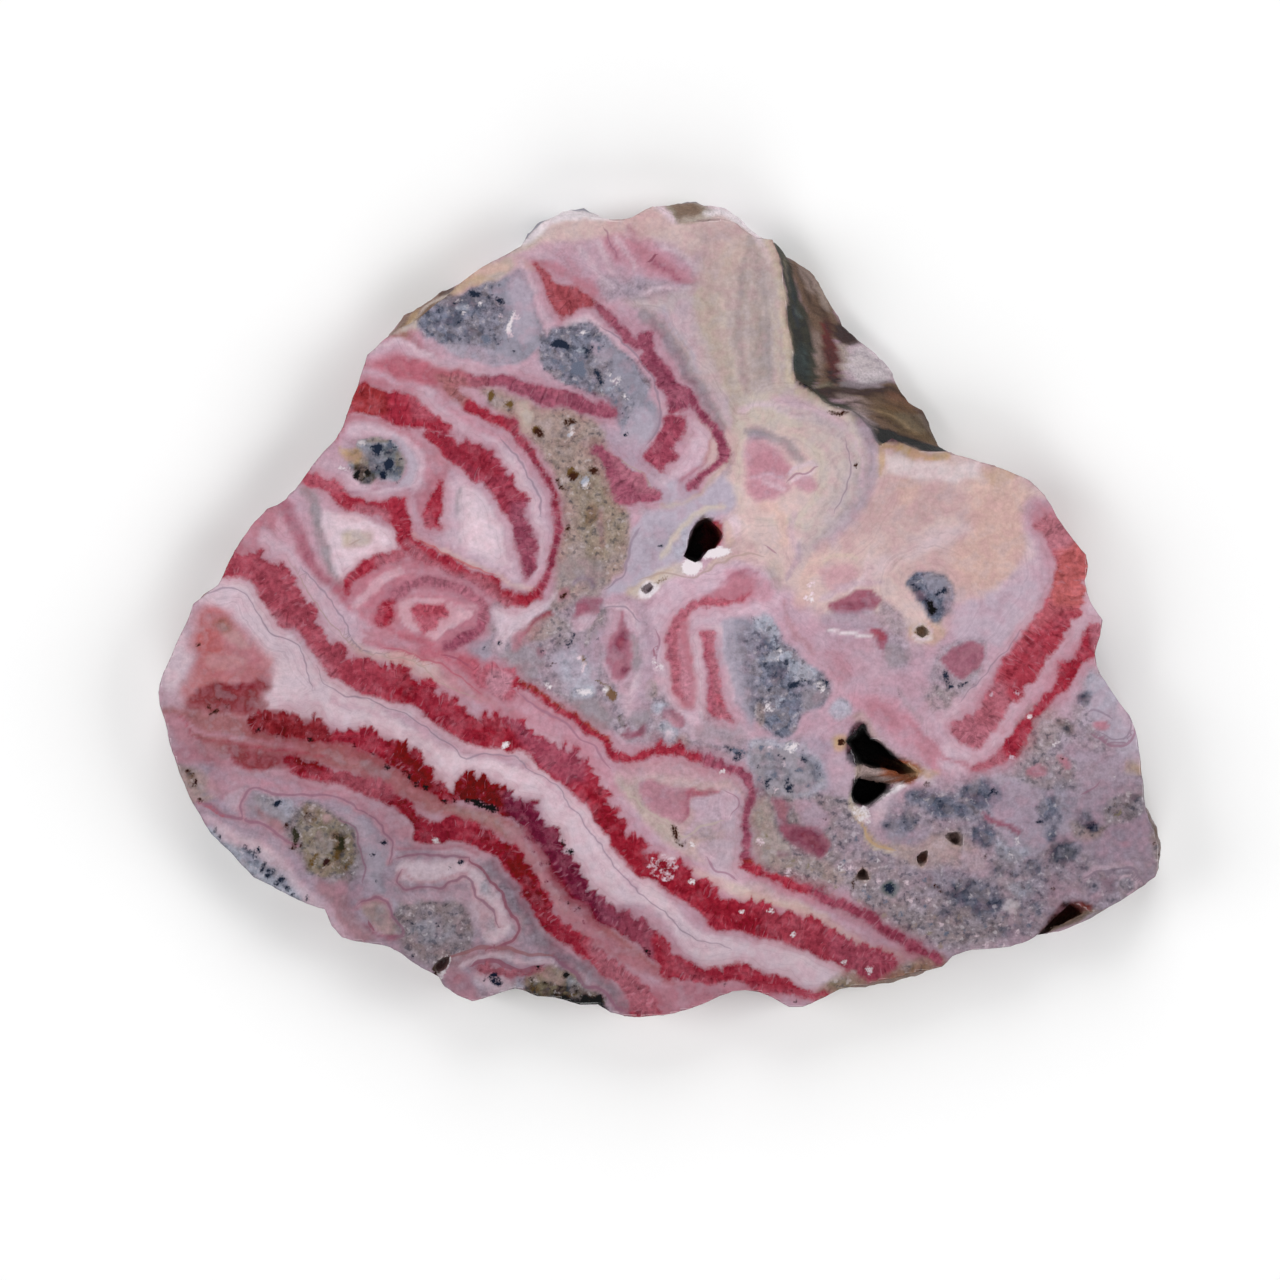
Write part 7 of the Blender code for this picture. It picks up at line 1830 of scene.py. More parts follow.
def paint_middle_matrix(stone):
    """Grey and lilac country under the sandy zone, with dark grains and rose flecks."""
    stone.wash("haze", 1.0, [
        (50, 60), (56, 61), (58.5, 59.2), (60.6, 60.4), (60, 64), (60.6, 68), (61.2, 70), (64, 72),
        (64, 74.5), (60, 72.5), (56, 70), (52, 67), (49, 64)])
    stone.wash("sand", 0.8, [
        (55.8, 58.5), (59, 58), (60, 59.6), (57.5, 60.2), (55.8, 61.2), (54.8, 60.4)], strength=0.6)
    stone.wash("milk", 0.7, [
        (49.7, 60.8), (53, 60.2), (54.8, 59.8), (55.6, 59.2), (54.5, 61.2), (52.2, 63), (50.8, 64), (50, 65),
        (49.6, 63.2)], strength=0.8)
    stone.wash("pale", 0.5, [
        (57, 62), (58.4, 61.4), (60, 60.9), (59.6, 62.2), (58.2, 63.2), (57.2, 63.4)], strength=0.7)
    stone.wash("mist", 0.8, [
        (55.5, 65), (57.5, 64.4), (59.2, 66), (60, 68), (59, 69), (57.2, 69), (55.6, 67.6)], strength=0.7)
    stone.wash("silver", 0.8, [(56, 65.4), (58, 65), (59.2, 67.2), (58, 69), (56.2, 68)], strength=0.5)
    stone.wash("lilac", 0.8, [
        (58.6, 63.4), (60.2, 62.8), (60.2, 65.6), (59.6, 66.8), (58, 65.6)], strength=0.7)
    stone.wash("sand", 0.6, [(53, 62.5), (55, 61.5), (56.5, 62.5), (54.5, 64), (52.8, 64)], strength=0.7)
    stone.wash("matrix", 0.6, [(55.6, 62.4), (57, 62), (57.4, 63.2), (56.2, 64.4), (55.2, 64)], strength=0.6)
    stone.wash("fog", 0.8, [
        (57.5, 69.7), (60, 70), (61.2, 71.6), (60.6, 72.8), (59, 72.2), (57.4, 70.8)], strength=0.8)
    stone.wash("silver", 0.5, [
        (57.4, 68.6), (59, 68.4), (59.4, 69.6), (58.4, 70), (57.4, 69.8)], strength=0.8)
    stone.wash("fog", 0.6, [(50.5, 65), (53, 64.5), (54.5, 66.4), (53, 68), (51.2, 66.8)], strength=0.5)
    stone.brush("fog", 0.4, 0.4, [(57.6, 58.3), (58, 57.7), (58.8, 57.6), (59.2, 58.2)], strength=0.9)
    stone.brush("dusk", 0.3, 0.4, [(57.4, 58.4), (57.8, 57.7), (59, 57.7), (59.3, 58.8)], strength=0.9)
    stone.wash("dusk", 0.3, [(57.4, 58), (58, 57.6), (59.2, 57.7), (59.3, 58.8), (58.2, 58.6)], strength=0.4)
    stone.wash("mauve", 0.5, [
        (57.4, 60.7), (58.4, 60), (59.6, 59.7), (60.4, 59.7), (60.4, 60.2), (59.4, 60.8), (58, 61.4),
        (57.2, 61.7)], strength=0.8)
    stone.wash("mauve", 0.4, [
        (57.2, 60.6), (58.2, 60), (59.8, 60), (60.4, 60.6), (60, 61.3), (58.8, 61.5),
        (57.6, 61.3)], strength=0.6)
    stone.brush("matrix", 0.3, 0.4, [(60.7, 60.8), (60, 61.8), (59.2, 63.1), (58.8, 64.6)], strength=0.8)
    stone.brush("fog", 0.3, 0.3, [(60, 62.6), (59.4, 63.8)], strength=0.7)
    stone.brush("mauve", 0.3, 0.4, [
        (51.8, 64), (52.6, 63.2), (53.3, 62.5), (54.5, 61.6), (55.1, 61.3)], strength=0.9)
    stone.brush("plum", 0.2, 0.25, [(53.4, 62.5), (54.5, 61.6), (55, 61.3)], strength=0.7)
    stone.wash("dusty", 0.6, [
        (51.2, 64.4), (52, 63), (54, 61.8), (55.2, 61.6), (54, 63.2), (52.6, 64.4)], strength=0.45)
    stone.wash("brick", 0.3, [(54.5, 61.3), (55.2, 61), (55.4, 61.6), (54.8, 61.8)], strength=0.7)
    stone.wash("rose", 0.5, [(51.2, 63.5), (52.2, 63.2), (52, 64.8), (51.2, 64.8)], strength=0.6)
    stone.wash("mauve", 0.4, [(53.6, 64.8), (54.3, 65), (54.2, 65.8), (53.7, 65.6)], strength=0.5)
    stone.grain("umber", [(56.1, 59.4), (56.5, 59.1), (56.8, 59.2), (56.7, 59.6), (56.3, 59.7)])
    stone.wash("mauve", 0.3, [(56, 59), (57, 58.8), (57, 59.8), (56, 59.8)], strength=0.6)
    stone.grain("ink", [
        (57, 64.1), (57.2, 63.8), (57.3, 63.4), (57.6, 63.3), (57.7, 63.6), (57.5, 63.9), (57.2, 64.2)])
    stone.spot("ink", 0.25,
        (58.1, 64), (56.8, 64.4), (56.6, 64.1), (54.6, 68.3), (54.8, 67.8), (56, 63.6), (61.2, 71.2),
        (59.8, 64), (50, 64.3), (48.5, 64.8), (54.1, 65.2), (59, 69.4))
    stone.spot("umber", 0.2, (55.2, 66.8), (55.6, 66.4), (59, 64))
    stone.grain("olive", [(57.6, 65.7), (58, 65.6), (58.4, 66), (58.6, 66.4), (58.3, 66.6), (58, 66.2)])
    stone.spot("fleece", 0.3, (57.7, 65.9), (58.3, 66.8))
    stone.thread("olive", 0.25, [(59.6, 68.1), (60.2, 68.4), (60.8, 68.7)])
    stone.grain("olive", [(60.6, 68.6), (61.2, 68.8), (61.7, 69.1), (61.6, 70), (61.1, 70), (60.6, 69.5)])
    stone.spot("bark", 0.4, (60.8, 69.2), (61.3, 69.6))
    stone.spot("silver", 0.7, (58.2, 69.4), (58.8, 69))
    stone.spot("snow", 0.4, (58.6, 69.4), (60.3, 69), (54.7, 68.7), (58, 69))
    stone.wash("plum", 0.3, [
        (62, 73.5), (63.2, 73.4), (64, 72.8), (64.6, 72.1), (64.8, 72.8), (64.2, 73.6),
        (63, 73.9)], strength=0.8)
    stone.wash("mauve", 0.3, [(62, 73.4), (63.4, 73.1), (64.4, 73.5), (63, 74)], strength=0.7)
    stone.wash("pale", 0.6, [(62, 70), (63.2, 69.2), (64, 70), (64, 71.6), (62.8, 71.8)], strength=0.8)
    stone.wash("fog", 0.6, [(64, 70.4), (65.2, 70.8), (65, 72.2), (63.8, 72.6), (63, 71.8)], strength=0.8)
    stone.wash("silver", 0.4, [(65, 70.4), (66.4, 70.3), (66.8, 71.2), (65.6, 71.6)], strength=0.8)
    stone.wash("mauve", 0.3, [
        (66.2, 71.2), (66.8, 70.9), (67.8, 71.4), (68.5, 72.4), (68, 72.7), (67.2, 72.2),
        (66.4, 72.2)], strength=0.7)
    stone.wash("rose_mist", 0.4, [(66.6, 71.6), (67.4, 71.8), (68, 72.4), (67.2, 72.6)], strength=0.7)
    stone.wash("silver", 0.5, [
        (66, 72.6), (67.2, 72.4), (68, 73.5), (67.6, 74.4), (66.4, 74.2)], strength=0.8)
    stone.wash("fleece", 0.3, [(66.4, 73), (67, 72.8), (67.4, 73.4), (66.8, 73.8)], strength=0.7)
    stone.wash("sand", 0.5, [(67.6, 73.6), (68.8, 73.4), (69, 74.4), (67.8, 74.4)], strength=0.5)
    stone.brush("grime", 0.2, 0.3, [(61.8, 71.8), (62.1, 72.4), (62.5, 72.7)], strength=0.8)
    stone.brush("plum", 0.2, 0.3, [(62.4, 72.7), (62.8, 73)], strength=0.6)
    stone.wash("lilac", 0.8, [(64, 61), (65.5, 64), (65, 70), (64, 71.5), (63.2, 70), (64, 66)], strength=0.6)
    stone.wash("pale", 0.8, [(69, 72), (74, 72.5), (76, 74), (72, 74.5), (69, 73.5)], strength=0.6)
    stone.wash("pink", 0.8, [(69.5, 72.6), (71.6, 72.8), (72.6, 74.2), (70.8, 74.6)], strength=0.6)
    stone.wash("steel", 0.8, [(47, 64), (49, 64), (49, 66), (47.8, 66.2), (46.8, 65)], strength=0.7)
    stone.thread("ink", 0.3, [(72.7, 74.8), (73.5, 75), (74.5, 75.3)])
    stone.thread("storm", 0.3, [(73.5, 75.2), (74.2, 75)])
    stone.spot("ink", 0.5, (73.5, 75.8), (73.9, 75.6))
    stone.wash("fog", 0.6, [
        (69.6, 72.8), (72, 72.6), (74.4, 73.2), (74, 74.6), (71.6, 74.2), (70, 74)], strength=0.5)
    stone.brush("haze", 0.4, 0.6, [(70.6, 72.2), (72.2, 73.4), (74.2, 74), (76, 74.4)], strength=0.5)


def paint_right_country(stone):
    """Peach field, small rose patches and lilac rims left of the right-hand bands."""
    stone.wash("mist", 0.8, [
        (96.5, 60.5), (100, 59), (103, 57), (104.5, 57.5), (104, 60), (101.5, 63), (100, 64.5), (98, 64),
        (96.2, 64), (95, 62.5)], strength=0.9)
    stone.wash("pale", 0.6, [
        (100, 59), (103, 56), (105.2, 56), (105, 60), (101, 65), (96, 71.5), (94, 72), (99, 66), (103, 61),
        (104, 58)], strength=0.8)
    stone.line("grey_line", 0.12, [(102.4, 63), (100.8, 64.8), (99.4, 66.4), (97.8, 68.4), (96.2, 70.2)])
    stone.wash("mauve", 0.4, [
        (82.6, 60.6), (84, 59.8), (85.6, 59.1), (87.2, 59), (88.1, 60), (87.2, 61.2), (85.2, 61.6),
        (83.4, 61.4)], strength=0.95)
    stone.wash("plum", 0.4, [(84.6, 60.4), (86.4, 60), (86.6, 61), (84.8, 61.1)], strength=0.35)
    stone.wash("crimson", 0.3, [
        (87.2, 62.8), (88.2, 63), (88.7, 64), (88.2, 65.1), (87.5, 64.6)], strength=0.55)
    stone.brush("mauve", 0.3, 0.3, [(87.1, 62.6), (88.6, 63.6), (88.3, 65.2)], strength=0.6)
    stone.wash("lilac", 0.6, [(82.5, 61.5), (87, 61.2), (88, 62.5), (85, 63), (82.5, 62.5)], strength=0.8)
    stone.brush("snow", 0.2, 0.35, [(82.8, 62.9), (84, 63.3), (85.5, 63.4), (87, 63.7)], strength=0.9)
    stone.wash("haze", 0.8, [
        (88.5, 60), (90.5, 62), (91, 66), (89.5, 67), (88, 65), (87.8, 61.5)], strength=0.8)
    stone.wash("rose", 0.8, [(83, 65), (85, 65.5), (85, 68), (83.8, 68.5), (82.8, 67)], strength=0.5)
    stone.wash("haze", 0.8, [
        (93.5, 65.5), (96, 64), (98.5, 64), (98.5, 66), (97.5, 69), (95, 70), (93.2, 69)], strength=0.9)
    stone.wash("mauve", 0.3, [
        (94.1, 66.2), (95, 65), (96.6, 64.3), (98.2, 64.6), (98.4, 66), (97.6, 67), (96.2, 67.6),
        (95, 67.4)], strength=0.85)
    stone.grain("ink", [(94.2, 67.4), (94.6, 67.2), (94.7, 68), (95.3, 68.3), (95.2, 68.8), (94.5, 68.4)])
    stone.thread("ink", 0.35, [(96, 68.4), (96.6, 68.3), (97, 68)])
    stone.wash("matrix", 0.8, [(92.5, 69), (95.5, 69), (95, 71), (93, 70.8)], strength=0.6)
    stone.wash("rose_mist", 0.8, [
        (85, 69.5), (88, 69.5), (90.5, 70.5), (92.5, 73.5), (95.5, 76.5), (94, 77.5), (91.5, 75.5),
        (88.5, 73), (86, 71)], strength=0.8)
    stone.wash("rose", 1.0, [(87, 70), (89.5, 71), (90.5, 73), (89, 73), (87, 71.8)], strength=0.7)
    stone.wash("rose", 0.8, [(91.5, 74), (93.5, 75), (95, 76.5), (94, 77), (92, 75.5)], strength=0.7)
    stone.brush("fog", 0.4, 0.4, [(89.8, 69), (91, 70.5), (92.2, 72.2)], strength=0.5)
    stone.wash("silver", 0.5, [
        (83, 70.6), (84, 69.8), (85.2, 70.2), (85, 71.6), (83.8, 72.2), (83, 71.6)], strength=0.8)
    stone.wash("mist", 0.8, [(98.5, 61.2), (100.5, 60.6), (100.2, 63), (98.5, 63.5)], strength=0.4)
    stone.wash("fog", 0.4, [(88.4, 64.8), (90, 64.5), (90.5, 66), (89.2, 66.8)], strength=0.6)
    stone.wash("snow", 0.6, [(88, 76), (92.5, 77.5), (93.5, 78.5), (90, 77.5)], strength=0.4)
    stone.grain("bark", [(91.7, 62.9), (92.3, 62.6), (92.9, 63.1), (92.4, 63.6), (91.8, 63.5)])
    stone.wash("snow", 0.3, [
        (91.4, 63.6), (92.2, 63.9), (93.2, 63.7), (93, 64.2), (91.8, 64.3)], strength=0.7)
    stone.wash("apricot", 0.8, [(90, 48), (92, 48.2), (91.5, 50), (90, 50.5)], strength=0.6)
    stone.wash("ochre", 0.7, [
        (98.2, 46.8), (100, 46.5), (102.2, 47), (101.5, 48), (99.2, 48.4)], strength=0.4)
    stone.brush("tan", 0.3, 0.3, [(89.3, 56.6), (89.8, 56), (90.2, 55.6)], strength=0.7)
    stone.spot("umber", 0.35, (85.5, 46.5), (89.9, 69.5))
    stone.wash("mauve", 0.2, [
        (87, 62.5), (88.3, 62.9), (88.8, 64), (88.3, 65.2), (87.5, 64.6), (87.6, 63.6)], strength=0.9)
    stone.wash("crimson", 0.2, [(87.4, 62.8), (88.2, 63.1), (88.6, 64), (88, 64.4)], strength=0.6)
    stone.wash("milk", 0.2, [(91.4, 62.8), (92.4, 62.2), (93.2, 63.2), (92.2, 64.2)], strength=0.8)
    stone.wash("pale", 1.0, [
        (96, 60.5), (100, 59), (103, 56.8), (104.5, 57.5), (104, 60), (101.5, 63), (100, 64.5), (98, 64),
        (96.2, 64), (95, 62.5)], strength=0.5)


def paint_right_bands(stone):
    """The two crimson bands that fold down the right edge."""
    stone.wash("pale", 1.0, [
        (108, 56), (110, 60), (110, 64), (108, 65), (105, 68), (101, 73.5), (98.5, 75.5), (96, 77.5),
        (94, 76.5), (95, 74), (99, 72), (105, 64)])
    stone.wash("rose_mist", 0.8, [
        (106, 65.5), (108, 64), (110, 63), (108.5, 65), (105, 69), (102, 72), (100, 73.5)], strength=0.7)
    stone.wash("pink", 1.2, [
        (102.4, 50), (105.2, 50), (106, 52), (105.8, 56), (105.6, 59), (104, 61), (103.6, 59), (104, 56.5),
        (103, 54), (102.2, 52)], strength=0.9)
    stone.wash("rose", 1.0, [
        (103.2, 50.6), (105.6, 50.8), (106.8, 52.4), (108, 53.8), (106, 56), (104.8, 54.5),
        (103.8, 53)], strength=0.7)
    stone.band("coral", 0.9, [
        (105.2, 51.4), (106.2, 52), (107, 52.8), (108, 54), (109.6, 55), (109.6, 56), (108.8, 57.5),
        (108.4, 59.3), (108.2, 60.6), (108, 61.8), (107, 62.2), (106.7, 63.6), (106, 64.5), (105.6, 65.2),
        (104.6, 66), (104.3, 67), (103.7, 67.9), (102.7, 68.8), (102.2, 69.7), (101, 70.4), (100.5, 71.5),
        (99.8, 72.7), (98.8, 73.7), (98.2, 74.6), (97.5, 75), (96.5, 74.5), (95.5, 73.6), (95.1, 72.7),
        (96.2, 71.9), (97.5, 70.8), (98.5, 69.5), (99.5, 67.6), (100.6, 65.6), (101.9, 64), (103.2, 62.2),
        (104.3, 60.5), (105.1, 58.8), (105.4, 57), (105.2, 55.2), (104.4, 53.6), (103.6, 52.6),
        (104.2, 51.6)])
    stone.tint("coral_line", 1.2, [
        (103, 50.5), (106, 51), (109.5, 54.5), (109, 60), (105, 60), (105.5, 55), (103.5, 53)], strength=0.9)
    stone.tint("rose", 1.0, [
        (102.6, 50.2), (106, 50.5), (107.8, 53.5), (105.6, 55), (103.6, 53.5)], strength=0.75)
    stone.tint("coral_line", 1.0, [
        (105, 60), (108.5, 60), (108, 62), (102, 71), (97.5, 72), (101, 65.5)], strength=0.35)
    stone.tint("crimson", 1.2, [(105, 62), (108, 62), (102, 71), (97.5, 72), (101, 65.5)], strength=0.8)
    stone.tint("rose", 0.8, [(99, 68), (101.2, 70), (99, 75), (94.5, 73.5), (96, 71.2)], strength=0.55)
    stone.band("crimson", 0.4, [
        (108.5, 62.5), (109.8, 62.2), (110.7, 63), (110.8, 64.5), (109.8, 65.5), (108.5, 66.2), (108, 66.8),
        (107, 68.8), (106, 69.5), (105.2, 70.3), (104, 71.4), (103.4, 72.2), (103, 73.5), (102, 74.8),
        (101.2, 75.7), (100, 76.5), (98.5, 76.9), (97.2, 77.1), (97.5, 76.3), (99, 75.7), (100, 75.2),
        (100.3, 74.2), (101.2, 73.5), (102, 72.2), (102.8, 71.2), (104, 70), (105, 69.2), (105.5, 67.8),
        (105.8, 66.4), (106.8, 66.1), (107.8, 65.2)])
    stone.tint("ruby", 0.8, [(105.5, 66.5), (108, 66), (107, 69), (105.5, 69)], strength=0.4)
    stone.tint("crimson", 0.6, [(100.8, 72), (103.6, 71.2), (103.4, 74.5), (100.8, 75.5)], strength=0.8)
    for points in (
        [(96.2, 75.2), (100.2, 75.2), (100.2, 77), (96.2, 77.5)],
        [(108.8, 62), (111, 62.2), (111, 65), (109.2, 64.8)],
    ):
        stone.tint("rose", 0.8, points, strength=0.6)
    stone.spot("snow", 0.6, (102.9, 71.7))
    stone.spot("pale", 0.4, (101.8, 69.4), (99.1, 69.6), (101, 75.8))
    stone.brush("rose", 0.4, 0.5, [
        (90.5, 71.8), (92.5, 73.8), (94.8, 75.8), (97, 76.8), (98.8, 77.1)], strength=0.8)
    stone.wash("rose", 0.8, [
        (104.6, 61), (103, 64), (100.6, 67), (98.4, 70), (96.6, 71.6), (96, 70.6), (99, 67.6),
        (102, 63.6)], strength=0.35)


def paint_lower_right(stone):
    """Grey country rock of the lower right: dark clusters, quartz grains and lilac eyes."""
    for points in (
        [(75.5, 80), (80, 78), (85, 80), (85, 85), (83, 90), (88, 93), (86, 92), (80, 88.5), (76, 86.5)],
        [(85, 86), (90, 87), (96, 90), (101, 93), (96, 94.5), (90, 93), (85, 89.5)],
    ):
        stone.wash("matrix", 1.2, points, strength=0.8)
    stone.wash("lilac", 0.8, [(80, 74), (84.5, 74.5), (85.5, 77.5), (85, 79.5), (82, 79.5), (80, 77)])
    stone.wash("silver", 0.8, [
        (75, 74), (78, 73.8), (80, 74.5), (82, 76), (82.6, 78.5), (81, 79.8), (78, 79.6), (75.8, 78.5),
        (74.8, 76.5)], strength=0.8)
    stone.wash("fog", 0.8, [
        (75.4, 74.6), (79, 75), (81.2, 76.2), (81.6, 78.2), (79.6, 79.6), (77, 79.2),
        (75.6, 77.5)], strength=0.6)
    stone.wash("storm", 0.5, [
        (76.4, 75.6), (78.4, 76), (79.2, 77.6), (77.6, 78.2), (76.4, 77.2)], strength=0.4)
    stone.wash("cobalt", 0.4, [
        (80, 75.2), (81.2, 75.6), (82.4, 77.5), (81.6, 78.4), (80.6, 76.8)], strength=0.5)
    stone.wash("beige", 0.7, [
        (75.2, 80), (77, 80.5), (77.6, 83), (79, 85), (77.8, 86.2), (75.6, 86.2), (75.2, 83)], strength=0.5)
    stone.wash("moss", 0.6, [(75.6, 80.6), (76.8, 81), (77, 84), (75.8, 85)], strength=0.3)
    stone.wash("sand", 0.8, [
        (77, 85.6), (80, 85.8), (83, 86.2), (85, 88), (83, 88.5), (80, 87.2), (77, 86.6)], strength=0.6)
    stone.wash("haze", 0.8, [(83.2, 81), (85.2, 82), (86.6, 85), (85, 88), (83.6, 86)], strength=0.6)
    stone.wash("mist", 0.8, [
        (98.5, 78), (105, 78.5), (108, 80), (106, 84), (102, 86), (100, 83), (99, 81)], strength=0.7)
    stone.wash("matrix", 0.8, [
        (102, 71), (105, 70.5), (105.8, 74), (105, 75.5), (108.5, 76), (108.5, 78), (104.5, 79), (102, 78),
        (101.2, 76)], strength=0.6)
    stone.wash("moss", 0.8, [(103, 71.5), (105.6, 70.6), (106.2, 73), (105, 75), (103, 74.5)], strength=0.15)
    stone.wash("lilac", 0.8, [
        (106.6, 74.5), (110, 75.2), (112.5, 75.6), (114, 78), (112, 79), (108.5, 79),
        (107.5, 76.5)], strength=0.8)
    stone.wash("tan", 0.5, [
        (112.5, 76), (114.5, 75.6), (114.8, 77.2), (113.5, 77.6), (112.6, 77.4)], strength=0.9)
    stone.wash("ochre", 0.4, [(113.2, 76), (114.6, 75.8), (114.8, 77.4), (113.6, 77.2)], strength=0.35)
    stone.wash("tan", 1.0, [
        (88.5, 84), (93, 83.6), (96, 83), (97.2, 85), (95.5, 86.4), (93, 86.8), (90.5, 86.2)], strength=0.8)
    stone.wash("apricot", 0.8, [
        (90, 84.2), (94, 83.8), (97.5, 85), (98.5, 86.6), (96.5, 86.8), (92, 85.4)], strength=0.6)
    stone.wash("pale", 0.8, [(87, 80), (90, 79), (90, 83), (88.5, 84.5), (87, 83)], strength=0.7)
    stone.wash("milk", 0.6, [(87.2, 80), (89, 79.5), (89, 81.2), (87.6, 82.2)], strength=0.5)
    stone.wash("lilac", 0.8, [
        (88, 82.4), (92, 82.8), (93, 83.6), (91.5, 84.6), (89, 84.2), (87.8, 83.4)], strength=0.9)
    stone.wash("milk", 0.6, [(99.5, 87), (103, 87.8), (102, 89), (100, 88.5)], strength=0.6)
    stone.wash("pale", 0.6, [(96, 85.2), (98.5, 85.8), (99, 87.6), (96.6, 87.4)], strength=0.7)
    stone.wash("silver", 0.5, [(99.5, 84), (101.2, 84.6), (103, 85), (102, 86.2), (100, 85.8)], strength=0.7)
    stone.wash("haze", 0.8, [(88, 87), (93, 87.2), (95, 89), (94, 91), (90, 90.5), (88, 89)], strength=0.6)
    stone.wash("snow", 0.3, [
        (100.4, 90.4), (101.2, 90), (102, 90.5), (101.2, 91.2), (100.5, 91)], strength=0.7)
    stone.wash("silver", 0.4, [
        (100.8, 88.5), (102.8, 88), (103.5, 89.4), (102, 89.8), (101, 89.4)], strength=0.7)
    stone.wash("bark", 0.6, [
        (82.8, 98.5), (85, 97.8), (90, 97.2), (93, 96.6), (92.5, 98.5), (88, 99), (84, 99.6)])
    stone.wash("lilac", 0.6, [(98.5, 78.5), (105, 79), (104, 83), (100, 82)], strength=0.8, rings=True)
    stone.wash("silver", 0.7, [
        (109, 67.2), (111, 68.4), (111.8, 69.8), (110, 70.8), (108.6, 70)], strength=0.7)
    stone.wash("mist", 0.8, [
        (111, 67), (113, 70), (114.5, 76), (112, 75.5), (109.5, 72), (108.5, 69)], strength=0.7)
    stone.wash("pale", 0.4, [(111.8, 70.2), (113.2, 71), (114, 73), (113, 72.8), (111.8, 71.5)], strength=0.7)
    stone.wash("matrix", 0.6, [
        (110.4, 80.8), (111.6, 79.6), (113.2, 79), (114.6, 79.6), (114.2, 81.2), (112.4, 82.4),
        (110.8, 82.2)], strength=0.9)
    stone.wash("sand", 0.6, [
        (107, 82.2), (109.6, 82.8), (110.8, 82.4), (110, 83.6), (108, 83.8)], strength=0.8)
    stone.brush("pale", 0.4, 0.5, [(108.5, 87.5), (110.5, 86.5), (113, 86.6), (114.8, 88.8)], strength=0.9)
    stone.brush("milk", 0.3, 0.4, [(112, 87.8), (113.2, 87.6), (113.8, 88.6), (113, 89.4)], strength=0.8)
    stone.wash("sand", 0.8, [
        (115, 83), (116, 83.6), (116.8, 85.6), (116.6, 87.8), (115.8, 87), (115.2, 85)], strength=0.8)
    stone.wash("lilac", 0.8, [
        (110, 84), (114.8, 83.8), (115.4, 86), (115, 88), (112, 86.2), (109.6, 86.2)], strength=0.7)
    stone.wash("pink", 0.8, [(105, 88), (109, 89), (110, 90), (107, 90.5), (104.8, 91.5)], strength=0.4)
    stone.wash("slate", 0.4, [
        (112, 88), (113.2, 87.8), (113.4, 88.8), (112.4, 89.1)], strength=0.7, rings=True)
    stone.wash("dusk", 0.4, [
        (110.1, 87.9), (111.2, 88), (111.6, 89.2), (110.4, 89)], strength=0.7, rings=True)
    stone.wash("slate", 0.4, [
        (109, 88.6), (109.8, 88.6), (109.8, 89.5), (109, 89.3)], strength=0.6, rings=True)
    stone.wash("rose", 0.4, [
        (109.5, 72.3), (110.5, 72.1), (111, 72.7), (110.4, 73.2), (109.7, 73)], strength=0.9, rings=True)
    stone.wash("rose", 0.4, [
        (105.8, 75.7), (106.6, 75.7), (107, 76.8), (106.4, 77), (106, 76.4)], strength=0.9)
    stone.wash("rose", 0.5, [
        (102.9, 76.8), (104.2, 76.4), (104.6, 77.4), (103.6, 77.9), (102.8, 77.6)], strength=0.9)
    stone.wash("mauve", 0.3, [(103.1, 77), (103.8, 76.9), (103.8, 77.6), (103.2, 77.7)], strength=0.4)
    stone.wash("rose_mist", 0.3, [(112.2, 84.2), (113, 84.1), (113, 84.7), (112.3, 84.7)], strength=0.6)
    stone.line("mauve_line", 0.3, [
        (109.2, 73.6), (110.4, 74.4), (112, 74.6), (113.4, 73.8), (113.9, 72.4), (113.4, 71.2)])
    for points in (
        [(109.8, 73.4), (111.2, 73.9), (112.6, 73.6), (113.2, 72.4), (112.6, 71.4)],
        [(108.8, 71.2), (109.4, 70.8), (110.4, 71), (111.2, 71.8)],
    ):
        stone.line("grey_line", 0.2, points)
    stone.line("mauve_line", 0.2, [(108.4, 79.3), (109.2, 78.8), (109.8, 78.4)])
    for points in (
        [(108.4, 87.8), (110, 87), (112.4, 86.8), (114, 87.4), (114.6, 88.6)],
        [(109.6, 87.6), (111, 87.2), (112.6, 87.2), (113.8, 88)],
    ):
        stone.line("grey_line", 0.2, points)
    stone.brush("mauve", 0.25, 0.5, [(98.5, 81.5), (100, 82.2), (101.2, 82.6), (102, 83.3)], strength=0.9)
    stone.brush("dusk", 0.2, 0.3, [(96, 77.6), (96.8, 78.2), (97.6, 78.6)], strength=0.6)
    stone.wash("cobalt", 0.6, [
        (90.4, 79.4), (91.6, 78.8), (92.8, 79.2), (93.2, 80), (92, 80.4), (90.8, 80)], strength=0.8)
    stone.wash("cobalt", 0.6, [
        (92.6, 80.2), (94.4, 79.6), (95.4, 80.2), (95.2, 81.2), (94, 81.6), (92.8, 81.2)], strength=0.9)
    stone.wash("ink", 0.4, [
        (93.3, 80), (94.3, 79.9), (94.8, 80.6), (94.2, 81.1), (93.6, 80.8)], strength=0.95)
    stone.wash("ink", 0.3, [(91.2, 79.2), (92.2, 79.1), (92.4, 79.7), (91.4, 79.8)], strength=0.75)
    stone.brush("silver", 0.2, 0.2, [(92.6, 80), (93.4, 80.5), (94.2, 80.7)], strength=0.7)
    stone.wash("cobalt", 0.6, [
        (95.8, 78.8), (97.4, 78.4), (98.8, 79), (98.8, 80.4), (97.8, 81), (96.6, 80.6)], strength=0.7)
    stone.wash("ink", 0.4, [(97.1, 79.6), (97.8, 79.5), (98.1, 80.4), (97.4, 80.7)], strength=0.9)
    stone.wash("ink", 0.3, [(95.7, 80.6), (96.5, 80.8), (96.3, 81.3), (95.7, 81.1)], strength=0.85)
